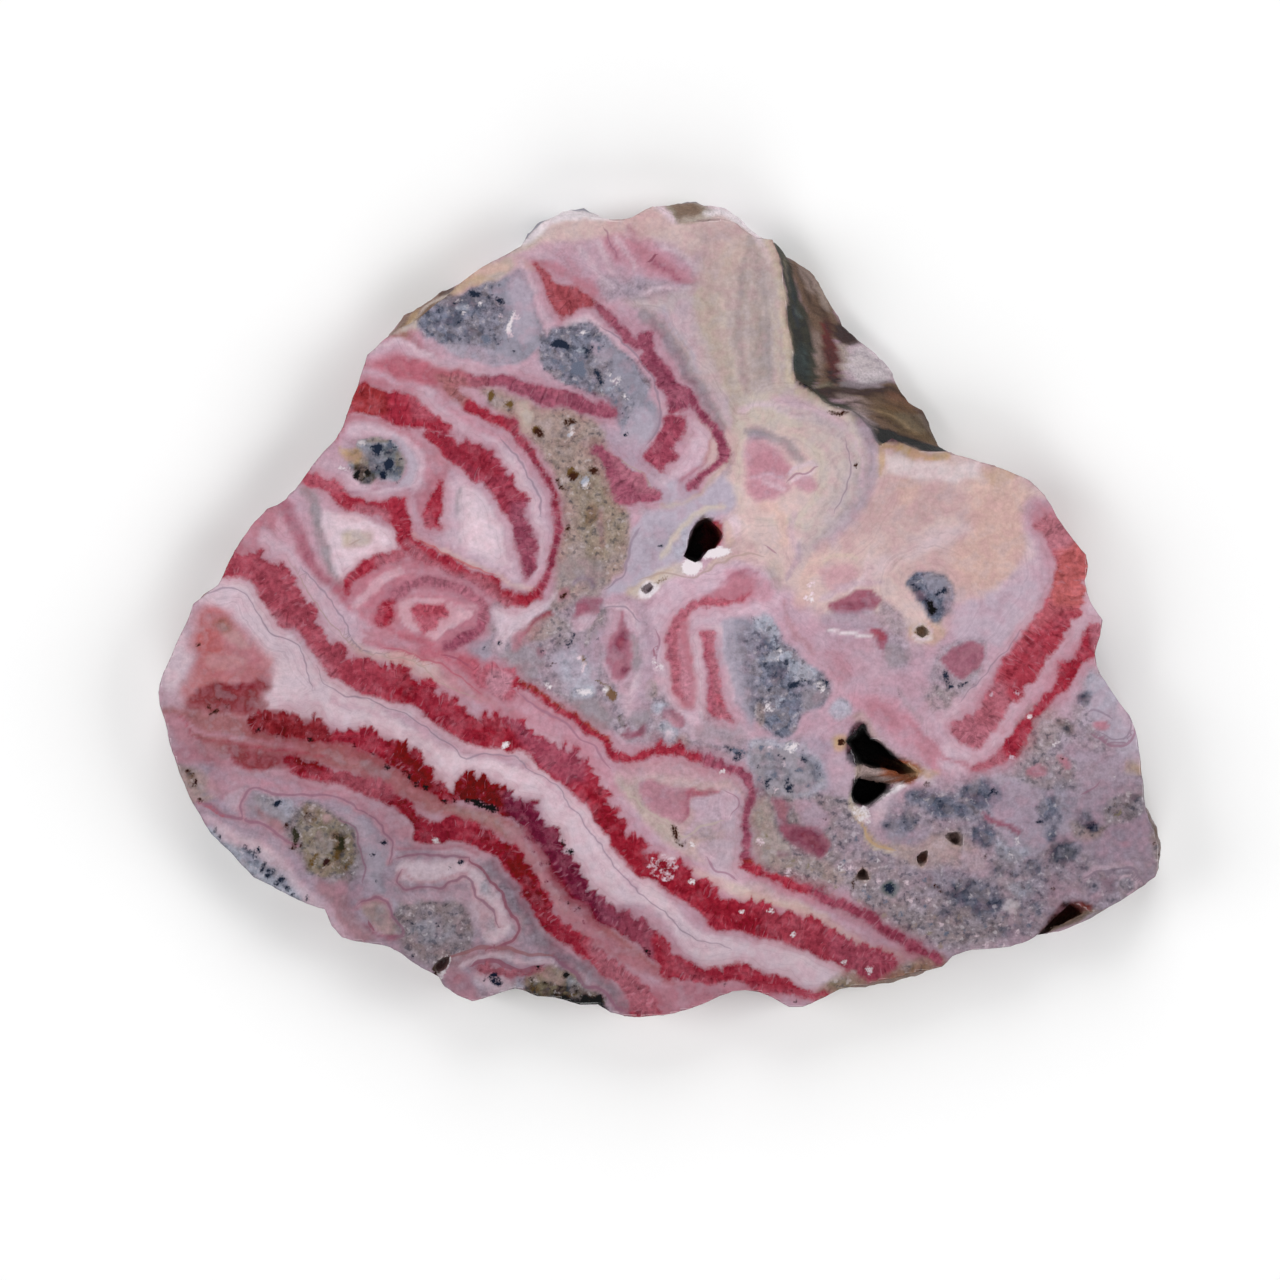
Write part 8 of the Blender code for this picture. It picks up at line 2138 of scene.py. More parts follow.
    stone.wash("cobalt", 0.6, [
        (88.4, 82), (89.6, 82), (91.2, 81.7), (91.5, 82.7), (90.2, 83.2), (88.8, 82.8)], strength=0.7)
    stone.wash("ink", 0.3, [(90.4, 81.9), (91.1, 82.1), (90.9, 82.6), (90.4, 82.5)], strength=0.8)
    stone.wash("ink", 0.3, [(88.5, 82.2), (89.3, 82.3), (89.2, 82.7), (88.6, 82.6)], strength=0.7)
    stone.wash("steel", 0.6, [
        (88.4, 83.2), (90.4, 83.4), (91.6, 83.8), (90.2, 84.5), (88.8, 84.2)], strength=0.7)
    stone.wash("cobalt", 0.4, [
        (97.4, 82.8), (98.8, 82.4), (99.4, 83.2), (99, 84.2), (98.2, 84.8), (97.5, 84.2)], strength=0.85)
    stone.wash("ink", 0.3, [(97.6, 84), (98.4, 83.8), (98.3, 84.6), (97.8, 84.6)], strength=0.8)
    stone.wash("cobalt", 0.3, [(97.8, 82.2), (98.6, 82), (99.2, 82.4), (98.4, 82.8)], strength=0.5)
    stone.wash("cobalt", 0.6, [
        (103.7, 80.3), (105.2, 79.8), (105.7, 80.6), (105.2, 81.8), (104.2, 81.8),
        (103.6, 81.2)], strength=0.8)
    stone.wash("ink", 0.3, [(104.8, 79.9), (105.4, 80), (105.2, 80.5), (104.7, 80.4)], strength=0.85)
    stone.wash("cobalt", 0.3, [
        (104.5, 83), (105.4, 83), (105.5, 83.8), (104.8, 84.2), (104.4, 83.7)], strength=0.8)
    stone.wash("grime", 0.6, [
        (105, 84.8), (105.8, 84.3), (107, 84.2), (107.8, 84.9), (107.5, 86), (106.2, 86.4),
        (105.2, 85.9)], strength=0.75, rings=True)
    stone.wash("moss", 0.4, [(106.4, 84.6), (107.2, 85), (107, 85.8), (106.2, 85.6)], strength=0.5)
    stone.wash("ink", 0.4, [(105.2, 84.7), (106, 84.6), (106, 85.3), (105.4, 85.5)], strength=0.95)
    for points in (
        [(102.5, 86.3), (103.4, 86), (104, 86.8), (103.9, 87.7), (103, 87.4)],
        [(99.4, 86.8), (100.2, 86.6), (100.6, 87.1), (100.2, 87.6), (99.5, 87.5)],
    ):
        stone.wash("cobalt", 0.3, points, strength=0.8)
    stone.wash("cobalt", 0.3, [(100.8, 87), (101.4, 86.8), (101.6, 87.4), (101, 87.5)], strength=0.6)
    stone.wash("cobalt", 0.3, [(99.6, 85.2), (100.3, 85.1), (100.6, 85.6), (100, 85.9)], strength=0.7)
    stone.wash("cobalt", 0.6, [
        (94.8, 89), (95.6, 88.2), (97, 88), (98, 88.6), (98.5, 89.8), (100, 90.2), (100, 91), (98.6, 91.4),
        (97, 90.4), (95.4, 90.2)], strength=0.8)
    stone.wash("ink", 0.4, [(95, 88.8), (95.7, 88.6), (95.7, 89.6), (95.2, 89.9)], strength=0.95)
    stone.wash("ink", 0.4, [(96.6, 88.2), (97.4, 88.4), (97.6, 89.1), (97, 89.4)], strength=0.75)
    stone.wash("ink", 0.3, [(99, 89.9), (100.1, 90), (100.2, 90.5), (99.3, 90.6)], strength=0.85)
    stone.wash("cobalt", 0.4, [
        (97.4, 90.6), (98.8, 90.6), (99, 91.6), (98, 91.9), (97.4, 91.4)], strength=0.7)
    stone.wash("cobalt", 0.3, [
        (102.8, 90.3), (103.6, 90), (104, 91.2), (103.9, 91.9), (103.2, 91.2)], strength=0.8)
    for points in (
        [(93.8, 91), (95, 90.6), (95.2, 91.8), (94.2, 92.2)],
        [(100, 93), (101, 92.6), (101.4, 93.6), (100.4, 93.8)],
        [(86.4, 85), (87.2, 84.8), (87.4, 85.8), (86.8, 86.2)],
    ):
        stone.wash("cobalt", 0.3, points, strength=0.6)
    stone.wash("cobalt", 0.5, [
        (107.6, 81.2), (109, 81.2), (109.6, 82.2), (108.6, 82.8), (107.7, 82.4)], strength=0.7)
    stone.wash("ink", 0.4, [
        (108.6, 82.4), (109.4, 82.1), (109.9, 82.6), (109.6, 83.2), (108.8, 83)], strength=1)
    stone.wash("grime", 0.6, [
        (105.7, 72), (106.6, 71.8), (107.2, 72.6), (107, 73.4), (106.2, 73.1)], strength=0.7)
    stone.wash("cobalt", 0.5, [
        (107.7, 69.6), (108.6, 69.1), (109.2, 69.8), (108.8, 70.6), (107.9, 70.4)], strength=0.7)
    stone.wash("ink", 0.3, [(107.7, 69.7), (108.3, 69.6), (108.7, 70.1), (108.2, 70.2)], strength=0.85)
    stone.wash("verdigris", 0.3, [
        (88.4, 88.9), (88.9, 88.3), (89.6, 88.5), (89.7, 89.3), (89, 89.6), (88.5, 89.4)], strength=0.9)
    stone.wash("teal", 0.2, [(88.6, 89), (89, 88.5), (89.5, 88.8), (89.4, 89.3), (88.8, 89.4)], strength=0.8)
    stone.spot("ink", 0.35, (90.6, 89.8))
    stone.wash("ink", 0.4, [(113.1, 79.4), (113.8, 79.2), (114, 79.8), (113.4, 80)], strength=0.85)
    stone.spot("ink", 0.5,
        (76.8, 78.3), (76.9, 78.7), (78.8, 78), (78.7, 78.6), (78.9, 79.1), (79.1, 78.4), (79.3, 78.9),
        (77, 78))
    stone.spot("ink", 0.35,
        (80.3, 75.7), (80.5, 75.8), (81.5, 76.5), (81.6, 76.9), (99.1, 79), (99.4, 79.2), (98.8, 79.4),
        (104, 82.3), (104.2, 82.2), (109.4, 82.4), (109, 82.7), (109.6, 82.9), (90.6, 86.2), (90.5, 89.6),
        (90.8, 89.8))
    stone.spot("umber", 0.35,
        (77.3, 79.6), (82.3, 81.8), (98.5, 85.6), (101.2, 87.1), (93.6, 88.7), (94, 89.2), (91.8, 89.7),
        (116, 85.5), (111, 81), (93, 78.5), (105.2, 89), (106.2, 75.8))
    stone.spot("ink", 0.25,
        (94.5, 80.6), (94, 80.2), (93.8, 80.8), (97.2, 80), (97.6, 80.3), (95.3, 89), (95.5, 89.4),
        (97, 88.6), (99.4, 90.3), (99.8, 90.1), (103.6, 90.6), (103.7, 91.2), (90.5, 82.2), (88.8, 82.5),
        (96.2, 81), (95.2, 79.8), (91.4, 79.4), (81.2, 77.4), (82, 77.5), (76.2, 75.2), (77.8, 75.6),
        (75.8, 76.8), (78.4, 76), (79.6, 77))
    stone.spot("storm", 0.4,
        (76.2, 74.8), (77.6, 74.6), (76.8, 75.6), (79.2, 75.2), (80, 77), (81, 78.5), (76, 77.8),
        (77.6, 77.4), (83, 85), (84.5, 86.2), (85.6, 84), (87, 89.5), (88.4, 90.2), (90, 91.5), (92.5, 90.5),
        (93, 92.5), (94.5, 93.5), (96.5, 93), (98.5, 92.5), (100.5, 91.8), (102, 91.5), (101.5, 92.5),
        (103, 92.5), (86.5, 89), (92.5, 88))
    stone.spot("sand", 0.5,
        (79, 86.8), (81.2, 87), (82.6, 87.6), (84.2, 87), (85.8, 90), (88.4, 91.6), (91.5, 92.6), (94, 94.5),
        (76, 81.2), (76.4, 82.6), (75.8, 83.8), (76.6, 84.8), (93.5, 91.5), (96, 92))
    stone.spot("moss", 0.35,
        (76.6, 83.6), (79.4, 86.2), (80.6, 86.6), (83.6, 88.8), (93, 93.5), (112, 81.2), (112.8, 80.6),
        (111.6, 81.6))
    stone.spot("umber", 0.22,
        (111.6, 80.4), (112.4, 79.9), (113, 80.8), (111.2, 81.4), (115.5, 84.2), (116.2, 86.6), (102.6, 89),
        (109, 71.2))
    stone.spot("fleece", 0.35,
        (77, 74.8), (78.4, 76.6), (77.6, 79), (76, 84.2), (78.8, 87.4), (85, 86.8), (88, 88), (90.5, 88.4),
        (91.2, 90), (93, 89.8), (94, 92.5), (100, 92.5), (102, 93.2), (103, 93.4), (97.5, 93.5),
        (100.5, 94.5), (98.5, 94.5))
    stone.spot("snow", 0.3,
        (101, 85.5), (101.2, 85.7), (103, 93.4), (87.8, 86), (95.8, 88.4), (97.2, 89.6), (102, 84.2),
        (101.8, 83.8), (106, 74.4), (105.6, 74.6), (111.3, 77.9), (84, 86.6), (86.6, 88.4))
    for points in (
        [(86, 87.4), (86.4, 87), (86.8, 87.5), (87, 88), (86.6, 87.9), (86.2, 87.9), (85.7, 87.8)],
        [(86.2, 86.6), (86.4, 86.6), (86.4, 87), (86.2, 87.1)],
    ):
        stone.grain("umber", points)
    stone.thread("umber", 0.25, [(85.7, 87.8), (85.3, 88.3), (85, 88.9)])
    stone.grain("black", [(78.3, 74.6), (78.7, 74.1), (79.1, 73.8), (79.2, 74), (78.8, 74.4), (78.5, 74.7)])
    stone.thread("ink", 0.2, [(84, 80.2), (84.8, 80.3), (85.3, 80.1)])
    stone.thread("umber", 0.2, [(116, 85.5), (116.4, 85.4), (116.7, 85.2)])
    stone.grain("snow", [(78.9, 74.4), (79.4, 74.2), (79.6, 74.8), (79.2, 75), (78.8, 74.8)])
    stone.spot("snow", 0.4, (78.6, 75), (79.7, 74.5), (79, 75.2))
    stone.wash("mauve", 0.5, [
        (77.1, 80), (78.2, 79.9), (79, 80.8), (78.6, 81.6), (79, 82.6), (79.5, 83.6), (78.4, 83.5),
        (77.7, 82)], strength=0.7)
    stone.wash("dusty", 0.3, [(77.6, 80.2), (78.4, 80.8), (78.2, 82), (77.9, 81.2)], strength=0.4)
    stone.wash("pink", 0.6, [
        (79, 80.4), (81.2, 80.3), (82.6, 81.2), (82.8, 82.4), (81.5, 83), (80, 81.8)], strength=0.7)
    stone.wash("lilac", 0.6, [
        (79.6, 80.2), (81.2, 80), (82.6, 81.2), (82.7, 83.2), (81.4, 83), (80.2, 81.8)], strength=0.6)
    stone.wash("mauve", 0.6, [
        (78.1, 82.6), (79.1, 82.4), (80, 82.3), (81.1, 82.7), (82, 83.2), (83, 84.2), (82.9, 85), (82, 85.6),
        (81.2, 85.4), (80.1, 84.7), (79.1, 84.3), (78.4, 83.8)], strength=0.85)
    stone.wash("plum", 0.4, [
        (78.8, 83.4), (79.6, 82.8), (80.6, 82.9), (81.7, 83.4), (82.7, 84.2), (82.6, 85), (81.8, 85.4),
        (80.8, 84.7), (79.9, 84.2), (79.1, 84.1)], strength=0.75)
    stone.wash("garnet", 0.3, [(80, 83.4), (81.5, 83.8), (82, 84.8), (80.8, 84.3)], strength=0.45)
    stone.wash("plum", 0.3, [(80.6, 83.8), (81.6, 84.2), (81.8, 85), (81, 84.6)], strength=0.35)
    stone.wash("plum", 0.4, [(77.5, 85), (78.5, 85.2), (79, 85.6), (77.8, 85.8)], strength=0.6)
    stone.wash("mauve", 0.5, [(79, 84.2), (82, 85), (82.5, 85.6), (80, 85.2)], strength=0.35)
    stone.brush("cream", 0.2, 0.3, [
        (84.6, 74.6), (85.6, 75.8), (86, 77.2), (85.8, 78.8), (85.2, 79.8), (85.5, 81.2), (86.1, 82.4),
        (86.6, 83.8), (87.8, 85), (89.6, 85.6)], strength=0.8)
    stone.line("ochre", 0.25, [(86.2, 82.6), (86.8, 83.8), (88, 84.8), (89.6, 85.2)])
    stone.wash("olive", 0.2, [(87.2, 84), (88, 84.6), (88.8, 85), (88, 85.1)], strength=0.3)
    stone.brush("fleece", 0.4, 0.7, [(85.4, 80.4), (86, 81.2), (86.6, 82)], strength=0.8)
    stone.spot("snow", 0.45, (85.7, 80.8), (86.2, 81.2), (86.6, 80.9), (86, 81.8), (86.8, 81.5))
    stone.wash("ochre", 0.4, [
        (83.4, 73.8), (84.2, 73.4), (84.8, 74), (84.2, 74.6), (83.6, 74.6)], strength=0.6)
    stone.spot("umber", 0.3, (84.3, 74), (84, 74.2))
    stone.wash("cobalt", 0.6, [
        (97.8, 78.2), (99.2, 78), (100.2, 79.2), (99.6, 80.6), (98.2, 80.4)], strength=0.55)
    stone.wash("cobalt", 0.6, [
        (88.6, 80.6), (90.4, 80.4), (91.8, 81.6), (91.4, 82.8), (89.6, 83)], strength=0.4)
    stone.wash("storm", 0.8, [
        (104, 79), (106.6, 78.6), (107.8, 80.2), (107, 81.6), (105, 81.6)], strength=0.35)
    stone.wash("ink", 0.4, [
        (105.2, 83.6), (106.8, 83.8), (107.2, 85), (106, 85.6), (105, 84.8)], strength=0.4)
    for points in (
        [(93, 86.8), (96.6, 86.2), (98.4, 88), (97.6, 90.4), (94.4, 90.6)],
        [(99.6, 86.2), (103, 85.8), (104.6, 88), (103, 90), (100.4, 89.4)],
    ):
        stone.wash("slate", 0.8, points, strength=0.3)
    stone.wash("storm", 0.7, [
        (90.4, 80), (91.6, 79), (94, 78.8), (96.4, 79.5), (98.6, 80), (99.1, 81.2), (97.5, 82.1), (95, 81.9),
        (92.5, 81.2)], strength=0.5)
    stone.wash("cobalt", 0.4, [
        (92.8, 79.7), (94.5, 79.7), (96, 80.6), (97.6, 81.1), (96.6, 81.7), (94.6, 81.4),
        (93.4, 80.8)], strength=0.7)
    stone.wash("ink", 0.3, [(93.5, 80.1), (94.5, 79.9), (95.1, 80.8), (94.4, 81.3)], strength=0.6)
    stone.wash("cobalt", 0.4, [
        (96.6, 78.6), (98.4, 78.3), (99.1, 79.5), (98.3, 80.7), (97.2, 80.1)], strength=0.55)
    stone.wash("storm", 0.5, [
        (88, 81.8), (89.8, 81.2), (91.4, 82), (91.2, 83.2), (89.6, 83.6), (88.4, 83)], strength=0.4)
    for points in (
        [(88.4, 82.4), (89.2, 82.2), (89.4, 82.8), (88.6, 83)],
        [(90.2, 81.8), (91.1, 81.8), (91.2, 82.6), (90.4, 82.6)],
    ):
        stone.wash("ink", 0.3, points, strength=0.5)
    stone.wash("cobalt", 0.5, [
        (94.8, 88.4), (96.8, 87.9), (98.6, 88.4), (100, 89.7), (100.3, 90.8), (99, 91.3), (97.5, 91.6),
        (96, 90.5)], strength=0.6)
    stone.wash("ink", 0.3, [(96.6, 88.3), (97.6, 88.5), (97.5, 89.3), (96.5, 89.1)], strength=0.6)
    stone.wash("ink", 0.3, [(94.9, 88.8), (95.7, 88.8), (95.7, 89.6), (95, 89.7)], strength=0.55)
    stone.wash("cobalt", 0.4, [
        (105.1, 84.5), (107.5, 84.1), (108.1, 85.2), (107.1, 86.3), (105.5, 86.1)], strength=0.6)
    stone.wash("ink", 0.3, [(105.2, 84.6), (106.2, 84.5), (106.4, 85.4), (105.4, 85.6)], strength=0.55)
    stone.wash("storm", 0.5, [
        (103.6, 80.3), (105, 79.5), (105.8, 80.2), (106.2, 82), (105, 83.5), (104, 82.5)], strength=0.55)
    for points in (
        [(97.4, 83.4), (98.6, 82.9), (99.5, 83.6), (99.2, 84.6), (98, 84.9)],
        [(104.4, 83), (105.4, 83), (105.5, 84), (104.7, 84.3)],
    ):
        stone.wash("cobalt", 0.4, points, strength=0.5)
    stone.wash("ink", 0.3, [(104.8, 79.6), (105.5, 79.6), (105.5, 80.4), (104.9, 80.5)], strength=0.5)
    stone.brush("mauve", 0.2, 0.35, [(98.4, 81.4), (99.5, 82.1), (100.8, 82.7), (101.8, 83.3)], strength=0.8)


def paint_twin_country(stone):
    """Tan stains and the crystal rim round the twin hollow."""
    stone.wash("tan", 0.6, [
        (85.2, 72.2), (86, 71.2), (87, 72.2), (88, 73.8), (90, 75.5), (92.5, 76.8), (91.8, 78), (90, 76),
        (88, 74.5)], strength=0.7)
    stone.wash("bark", 0.3, [(91.5, 76.4), (92.2, 77), (91.8, 78), (91.2, 77.6)], strength=0.6)
    stone.wash("ochre", 0.6, [(83.2, 73.5), (84.6, 73.5), (84.8, 74.8), (83.5, 75.2)], strength=0.8)
    stone.grain("umber", [(83.8, 73.8), (84.4, 73.7), (84.5, 74.2), (84, 74.3)])
    stone.brush("cream", 0.25, 0.5, [
        (84.8, 74.8), (85.5, 75.8), (85.7, 77), (85.6, 78.2), (85.1, 79.8), (85.6, 80.8), (86.4, 81.4)])
    stone.brush("snow", 0.3, 0.6, [(87, 80.5), (88.2, 79.7), (89.5, 79), (90.8, 78.1), (91.8, 77.9)])
    stone.brush("ochre", 0.3, 0.4, [
        (85.8, 81.2), (86.2, 82.5), (87, 83.7), (88, 84.6), (89.2, 85.2)], strength=0.7)
    stone.spot("snow", 0.4,
        (85.7, 81.2), (86.3, 80.8), (86.6, 81.5), (86.1, 81.8), (87.2, 80.3), (86.8, 82.2))
    stone.spot("umber", 0.4, (92.8, 78.4))
    stone.wash("pale", 0.8, [(83, 75.5), (85, 75.5), (85.4, 78), (84.6, 79.5), (83, 78.5)], strength=0.7)
    stone.wash("ochre", 0.6, [(91.5, 77), (94, 77.2), (93, 78)], strength=0.6)
    stone.wash("brick", 1.0, [
        (25.2, 72.8), (30, 73.6), (34, 74), (38.2, 75), (42, 77.4), (44.6, 79.2), (43, 79.4), (39.2, 77.4),
        (34.2, 75.4), (30, 75), (25.2, 74.2)], strength=0.45)
    stone.wash("brick", 0.6, [(26.6, 75.2), (29, 75.4), (29.4, 77.2), (26.8, 77)], strength=0.6)
    stone.wash("verdigris", 0.3, [
        (88.3, 88.6), (88.9, 88.1), (89.7, 88.4), (89.8, 89.3), (89, 89.8), (88.4, 89.4)], strength=0.8)
    stone.grain("teal", [(88.6, 88.9), (88.9, 88.4), (89.4, 88.6), (89.5, 89.2), (88.9, 89.5)])
    stone.spot("ink", 0.3, (88.9, 88.7), (89.2, 89.1), (88.8, 89.3))


def paint_lower_rim(stone):
    """Lilac and olive country along the lower left rim, with its rose contour lines."""
    stone.wash("lilac", 1.0, [
        (16.8, 76.5), (23, 77), (30, 78.5), (36, 80.3), (41, 84.8), (45, 85.6), (49, 86.6), (52, 90.5),
        (55.6, 95.5), (61, 100), (60, 101.2), (54, 97), (50, 98.5), (44, 100), (40, 96), (34, 94.8),
        (30, 90.8), (23, 87), (18, 80)])
    stone.wash("tan", 0.8, [
        (16.8, 76.6), (19, 76.8), (21.2, 77.8), (22, 79.2), (20.5, 80.4), (18.6, 80)], strength=0.8)
    stone.wash("bark", 0.4, [(18.6, 77.4), (19.3, 77.2), (19.7, 78), (20, 78.6), (19, 78.4)], strength=0.7)
    stone.spot("umber", 0.5, (19.2, 77.6), (19.6, 78.2), (18.8, 77.3), (20, 80.1))
    stone.brush("steel", 0.4, 0.4, [(20.4, 79.6), (21.2, 79), (22.2, 78.8)], strength=0.6)
    stone.wash("rose_mist", 0.8, [
        (21.5, 76.8), (25, 77.5), (30, 78.8), (34.5, 79.4), (38, 81.2), (40, 83.8), (38, 82.6), (35, 80.6),
        (30, 79.6), (25.5, 78.4), (22.5, 80), (20.8, 79.2)], strength=0.7)
    stone.wash("pale", 0.4, [
        (22.4, 80), (23.2, 79.2), (24, 78.8), (24.6, 79.3), (24.2, 80.4), (23.8, 81.2)], strength=0.8)
    stone.brush("rose_mist", 0.3, 0.4, [
        (26.2, 78.3), (30, 78.7), (33, 79), (35, 79.7), (36.8, 80.6)], strength=0.9)
    stone.wash("silver", 0.6, [
        (25.6, 79.8), (27.2, 79.5), (29, 80), (29.6, 81.2), (29.2, 82.6), (27.6, 82.2),
        (26.2, 81.2)], strength=0.8)
    stone.wash("matrix", 0.5, [(25.2, 79.4), (26.8, 79.2), (28, 79.8), (26.2, 80.8)], strength=0.5)
    stone.grain("ink", [(27.3, 80.6), (27.6, 80.1), (28.1, 79.9), (28.2, 80.2), (27.8, 80.6)])
    stone.wash("rose_mist", 0.8, [
        (25, 82), (27.5, 82.2), (29.6, 83.4), (30, 85), (28, 84.2), (26.2, 83)], strength=0.4)
    stone.wash("fog", 0.8, [
        (25, 80), (28, 80.6), (29.2, 82.4), (28.8, 83.8), (26.8, 82.6), (25, 81.4)], strength=0.5)
    stone.wash("dusty", 0.6, [(25.5, 80.6), (27, 81.5), (29, 82.8), (28, 83), (26.2, 82)], strength=0.6)
    stone.wash("matrix", 0.8, [
        (29.6, 80.8), (31.4, 80.2), (33, 81.2), (34.8, 82.2), (35.8, 84), (36.2, 86.2), (35.2, 88.2),
        (33, 88), (31, 87.4), (30, 85.8), (29, 84.6), (28.8, 83)])
    stone.wash("moss", 0.6, [
        (30.3, 80.8), (31.2, 80.6), (32.5, 81.3), (34, 82), (35, 83.2), (35.6, 85), (35.2, 86.6), (34, 87.2),
        (32.2, 87.6), (30.8, 86.6), (30.2, 85), (29.9, 83)], strength=0.9)
    stone.wash("bark", 0.4, [
        (30.3, 80.8), (31.4, 80.6), (31.8, 81.6), (31.2, 82.6), (30.4, 82.2)], strength=0.6)
    stone.wash("fog", 0.6, [(31.6, 83.2), (32.8, 83), (33.4, 84.2), (32.8, 85.4), (31.6, 85)], strength=0.4)
    stone.wash("moss", 0.6, [(31, 85), (32.6, 85.4), (33.6, 86.6), (32.2, 87.6), (31.2, 86.6)], strength=0.5)
    stone.wash("olive", 0.4, [
        (33.4, 83.4), (34.2, 83.2), (34.6, 84.4), (34.2, 85.6), (33.4, 85.6)], strength=0.7)
    stone.grain("olive", [
        (33.5, 83.2), (34, 83.5), (34.4, 84.3), (34.2, 85.2), (33.7, 85.5), (33.3, 85), (33.8, 84.4)])
    stone.spot("grime", 0.4, (33.8, 83.6), (34.1, 84.3), (33.9, 85), (33.5, 85.2))
    stone.grain("olive", [(33.3, 85.6), (33.7, 85.3), (33.8, 85.8), (33.4, 86)])
    stone.grain("grime", [(29.2, 82.9), (29.6, 82.7), (29.7, 83.5), (29.4, 84.2), (29.1, 83.8)])
    stone.spot("olive", 0.5,
        (31.8, 85.8), (32.6, 86.4), (31.2, 86.2), (34.6, 86.6), (35, 86.2), (32.8, 86.2), (31.4, 82))
    stone.spot("umber", 0.5, (30.8, 81.3), (30.6, 81.8), (30, 84.6), (29.2, 84.7), (32.6, 86.3), (28.8, 82.6))
    stone.wash("blush", 0.4, [(32.2, 81.7), (33, 81.5), (33.2, 82), (32.5, 82.2)], strength=0.8)
    stone.wash("fog", 0.6, [
        (35, 82.8), (36, 84.5), (36.6, 86.6), (36, 88), (35.2, 87), (35.6, 85)], strength=0.4)
    stone.line("mauve_line", 0.18, [
        (33.8, 81.8), (35, 82.6), (35.8, 84), (36.2, 85.6), (36.6, 86.8), (36.2, 88.4)])
    stone.wash("mist", 0.8, [
        (34, 80.6), (35.8, 81.8), (37.4, 83.2), (38.4, 84.8), (38.6, 86.6), (37.8, 88), (39.2, 89.6),
        (40.8, 90.8), (39.8, 91.4), (38, 89.6), (36.8, 88), (36.8, 86.2), (36.2, 84.2),
        (35, 82.6)], strength=0.9)
    stone.wash("pale", 0.6, [
        (34.4, 81.2), (35.8, 82.2), (36.8, 83.4), (37.2, 84.8), (36.4, 84.2), (35.2, 82.8)], strength=0.6)
    stone.wash("steel", 0.6, [(37.2, 87), (38.6, 88), (39.6, 89.2), (38.8, 89.6), (37.4, 88.4)], strength=0.5)
    path = [(35.2, 80.2), (36.4, 81.2), (37.8, 82.2), (38.8, 83.4), (39.2, 84.8), (38.9, 86.2)]
    stone.brush("rose_mist", 0.4, 0.5, path, strength=0.8)
    stone.line("mauve_line", 0.2, path)
    path = [(19.8, 80.4), (21.5, 81), (23.6, 81.8), (25.8, 82.3), (27.8, 83.4), (29.6, 84.5)]
    stone.brush("rose", 0.4, 0.5, path, strength=0.6)
    stone.line("mauve_line", 0.3, path)
    path = [
        (24.3, 81.8), (24.2, 80.8), (24.6, 79.8), (25.1, 79), (26.2, 78.8), (28.4, 79.4), (30, 79.6),
        (32.5, 79.4), (34.5, 80), (36.2, 81.1)]
    stone.brush("rose_mist", 0.4, 0.6, path, strength=0.7)
    stone.line("mauve_line", 0.25, path)
    stone.line("coral", 0.3, [(19.8, 80.6), (21.2, 81.1), (23, 81.6)])
    stone.wash("pale", 0.6, [
        (20.4, 81.4), (22.5, 82.4), (25, 83.8), (27.5, 84.8), (28.8, 86), (29.8, 87.6), (31.2, 89),
        (32.6, 90), (34.8, 93.4), (34.4, 94.2), (32.6, 92.2), (31.2, 90.6), (29.6, 89.2), (28, 86.6),
        (26.2, 85.2), (23.8, 84.2), (21.5, 83)])
    stone.wash("milk", 0.4, [
        (20.8, 81.8), (23, 83), (25.6, 84.4), (27.6, 85.2), (29, 87), (30.6, 88.8), (32, 90), (30.8, 89.8),
        (28.8, 87.6), (27, 85.8), (24, 84)], strength=0.7)
    stone.wash("silver", 0.8, [
        (21, 82.6), (23.5, 84.2), (26.2, 85.2), (28, 86.2), (29.4, 88.2), (31.2, 90.2), (30, 90.8),
        (28, 89.8), (25.6, 88.4), (23.4, 86.8), (21.6, 84.8), (20.4, 83.2)])
    stone.wash("storm", 0.8, [
        (24, 84.4), (26.2, 85.4), (28, 86.6), (29, 88.4), (27.6, 88.2), (25.8, 86.8),
        (24.4, 85.6)], strength=0.7)
    stone.wash("matrix", 0.6, [
        (20.4, 83.4), (22.2, 84.6), (24, 86.4), (26.2, 88.2), (29, 89.8), (30.8, 90.6), (29.6, 91),
        (26.4, 89.2), (23.6, 87.4), (21.4, 85.2)], strength=0.8)
    stone.wash("milk", 0.5, [
        (21.4, 82.4), (24, 83.6), (26.8, 85), (28.8, 86.6), (30.2, 88.8), (32.2, 90.6), (31.2, 90.8),
        (29.2, 88.6), (27.2, 86.6), (24.6, 85), (22.2, 83.8)], strength=0.7)
    stone.spot("ink", 0.6, (24.5, 84.8), (26.5, 86.3), (26.8, 87.7), (28.1, 88))
    stone.spot("ink", 0.45,
        (22.2, 83.7), (25.4, 85.7), (25.8, 85.2), (26.2, 86.8), (27.4, 87.3), (28.7, 88.8), (27.6, 88.5),
        (27, 87), (25, 85.3), (29.2, 89.3), (30.8, 89.7), (21.5, 82.9))
    stone.wash("dusty", 1.0, [
        (31.2, 88), (33.5, 88.4), (35, 90), (36.2, 92.5), (37.4, 94), (35.6, 94.2), (34, 92.5),
        (32.5, 90)], strength=0.55)
    stone.wash("rose_mist", 0.6, [(33.6, 88), (34.6, 88.2), (34.8, 89.6), (33.8, 89.4)], strength=0.6)
    stone.wash("dusk", 0.8, [(34.5, 87.2), (35.8, 88), (36, 90), (35, 90.5)], strength=0.3)
    stone.wash("pale", 0.6, [(32.6, 91.2), (33.8, 92.2), (35, 94), (34, 94.2), (33, 93)], strength=0.7)
    stone.wash("tan", 0.4, [
        (36.4, 90.4), (37.8, 90.2), (39, 91.4), (40, 92.8), (39.4, 93.6), (38, 93.2),
        (36.8, 92.2)], strength=0.8, rings=True)
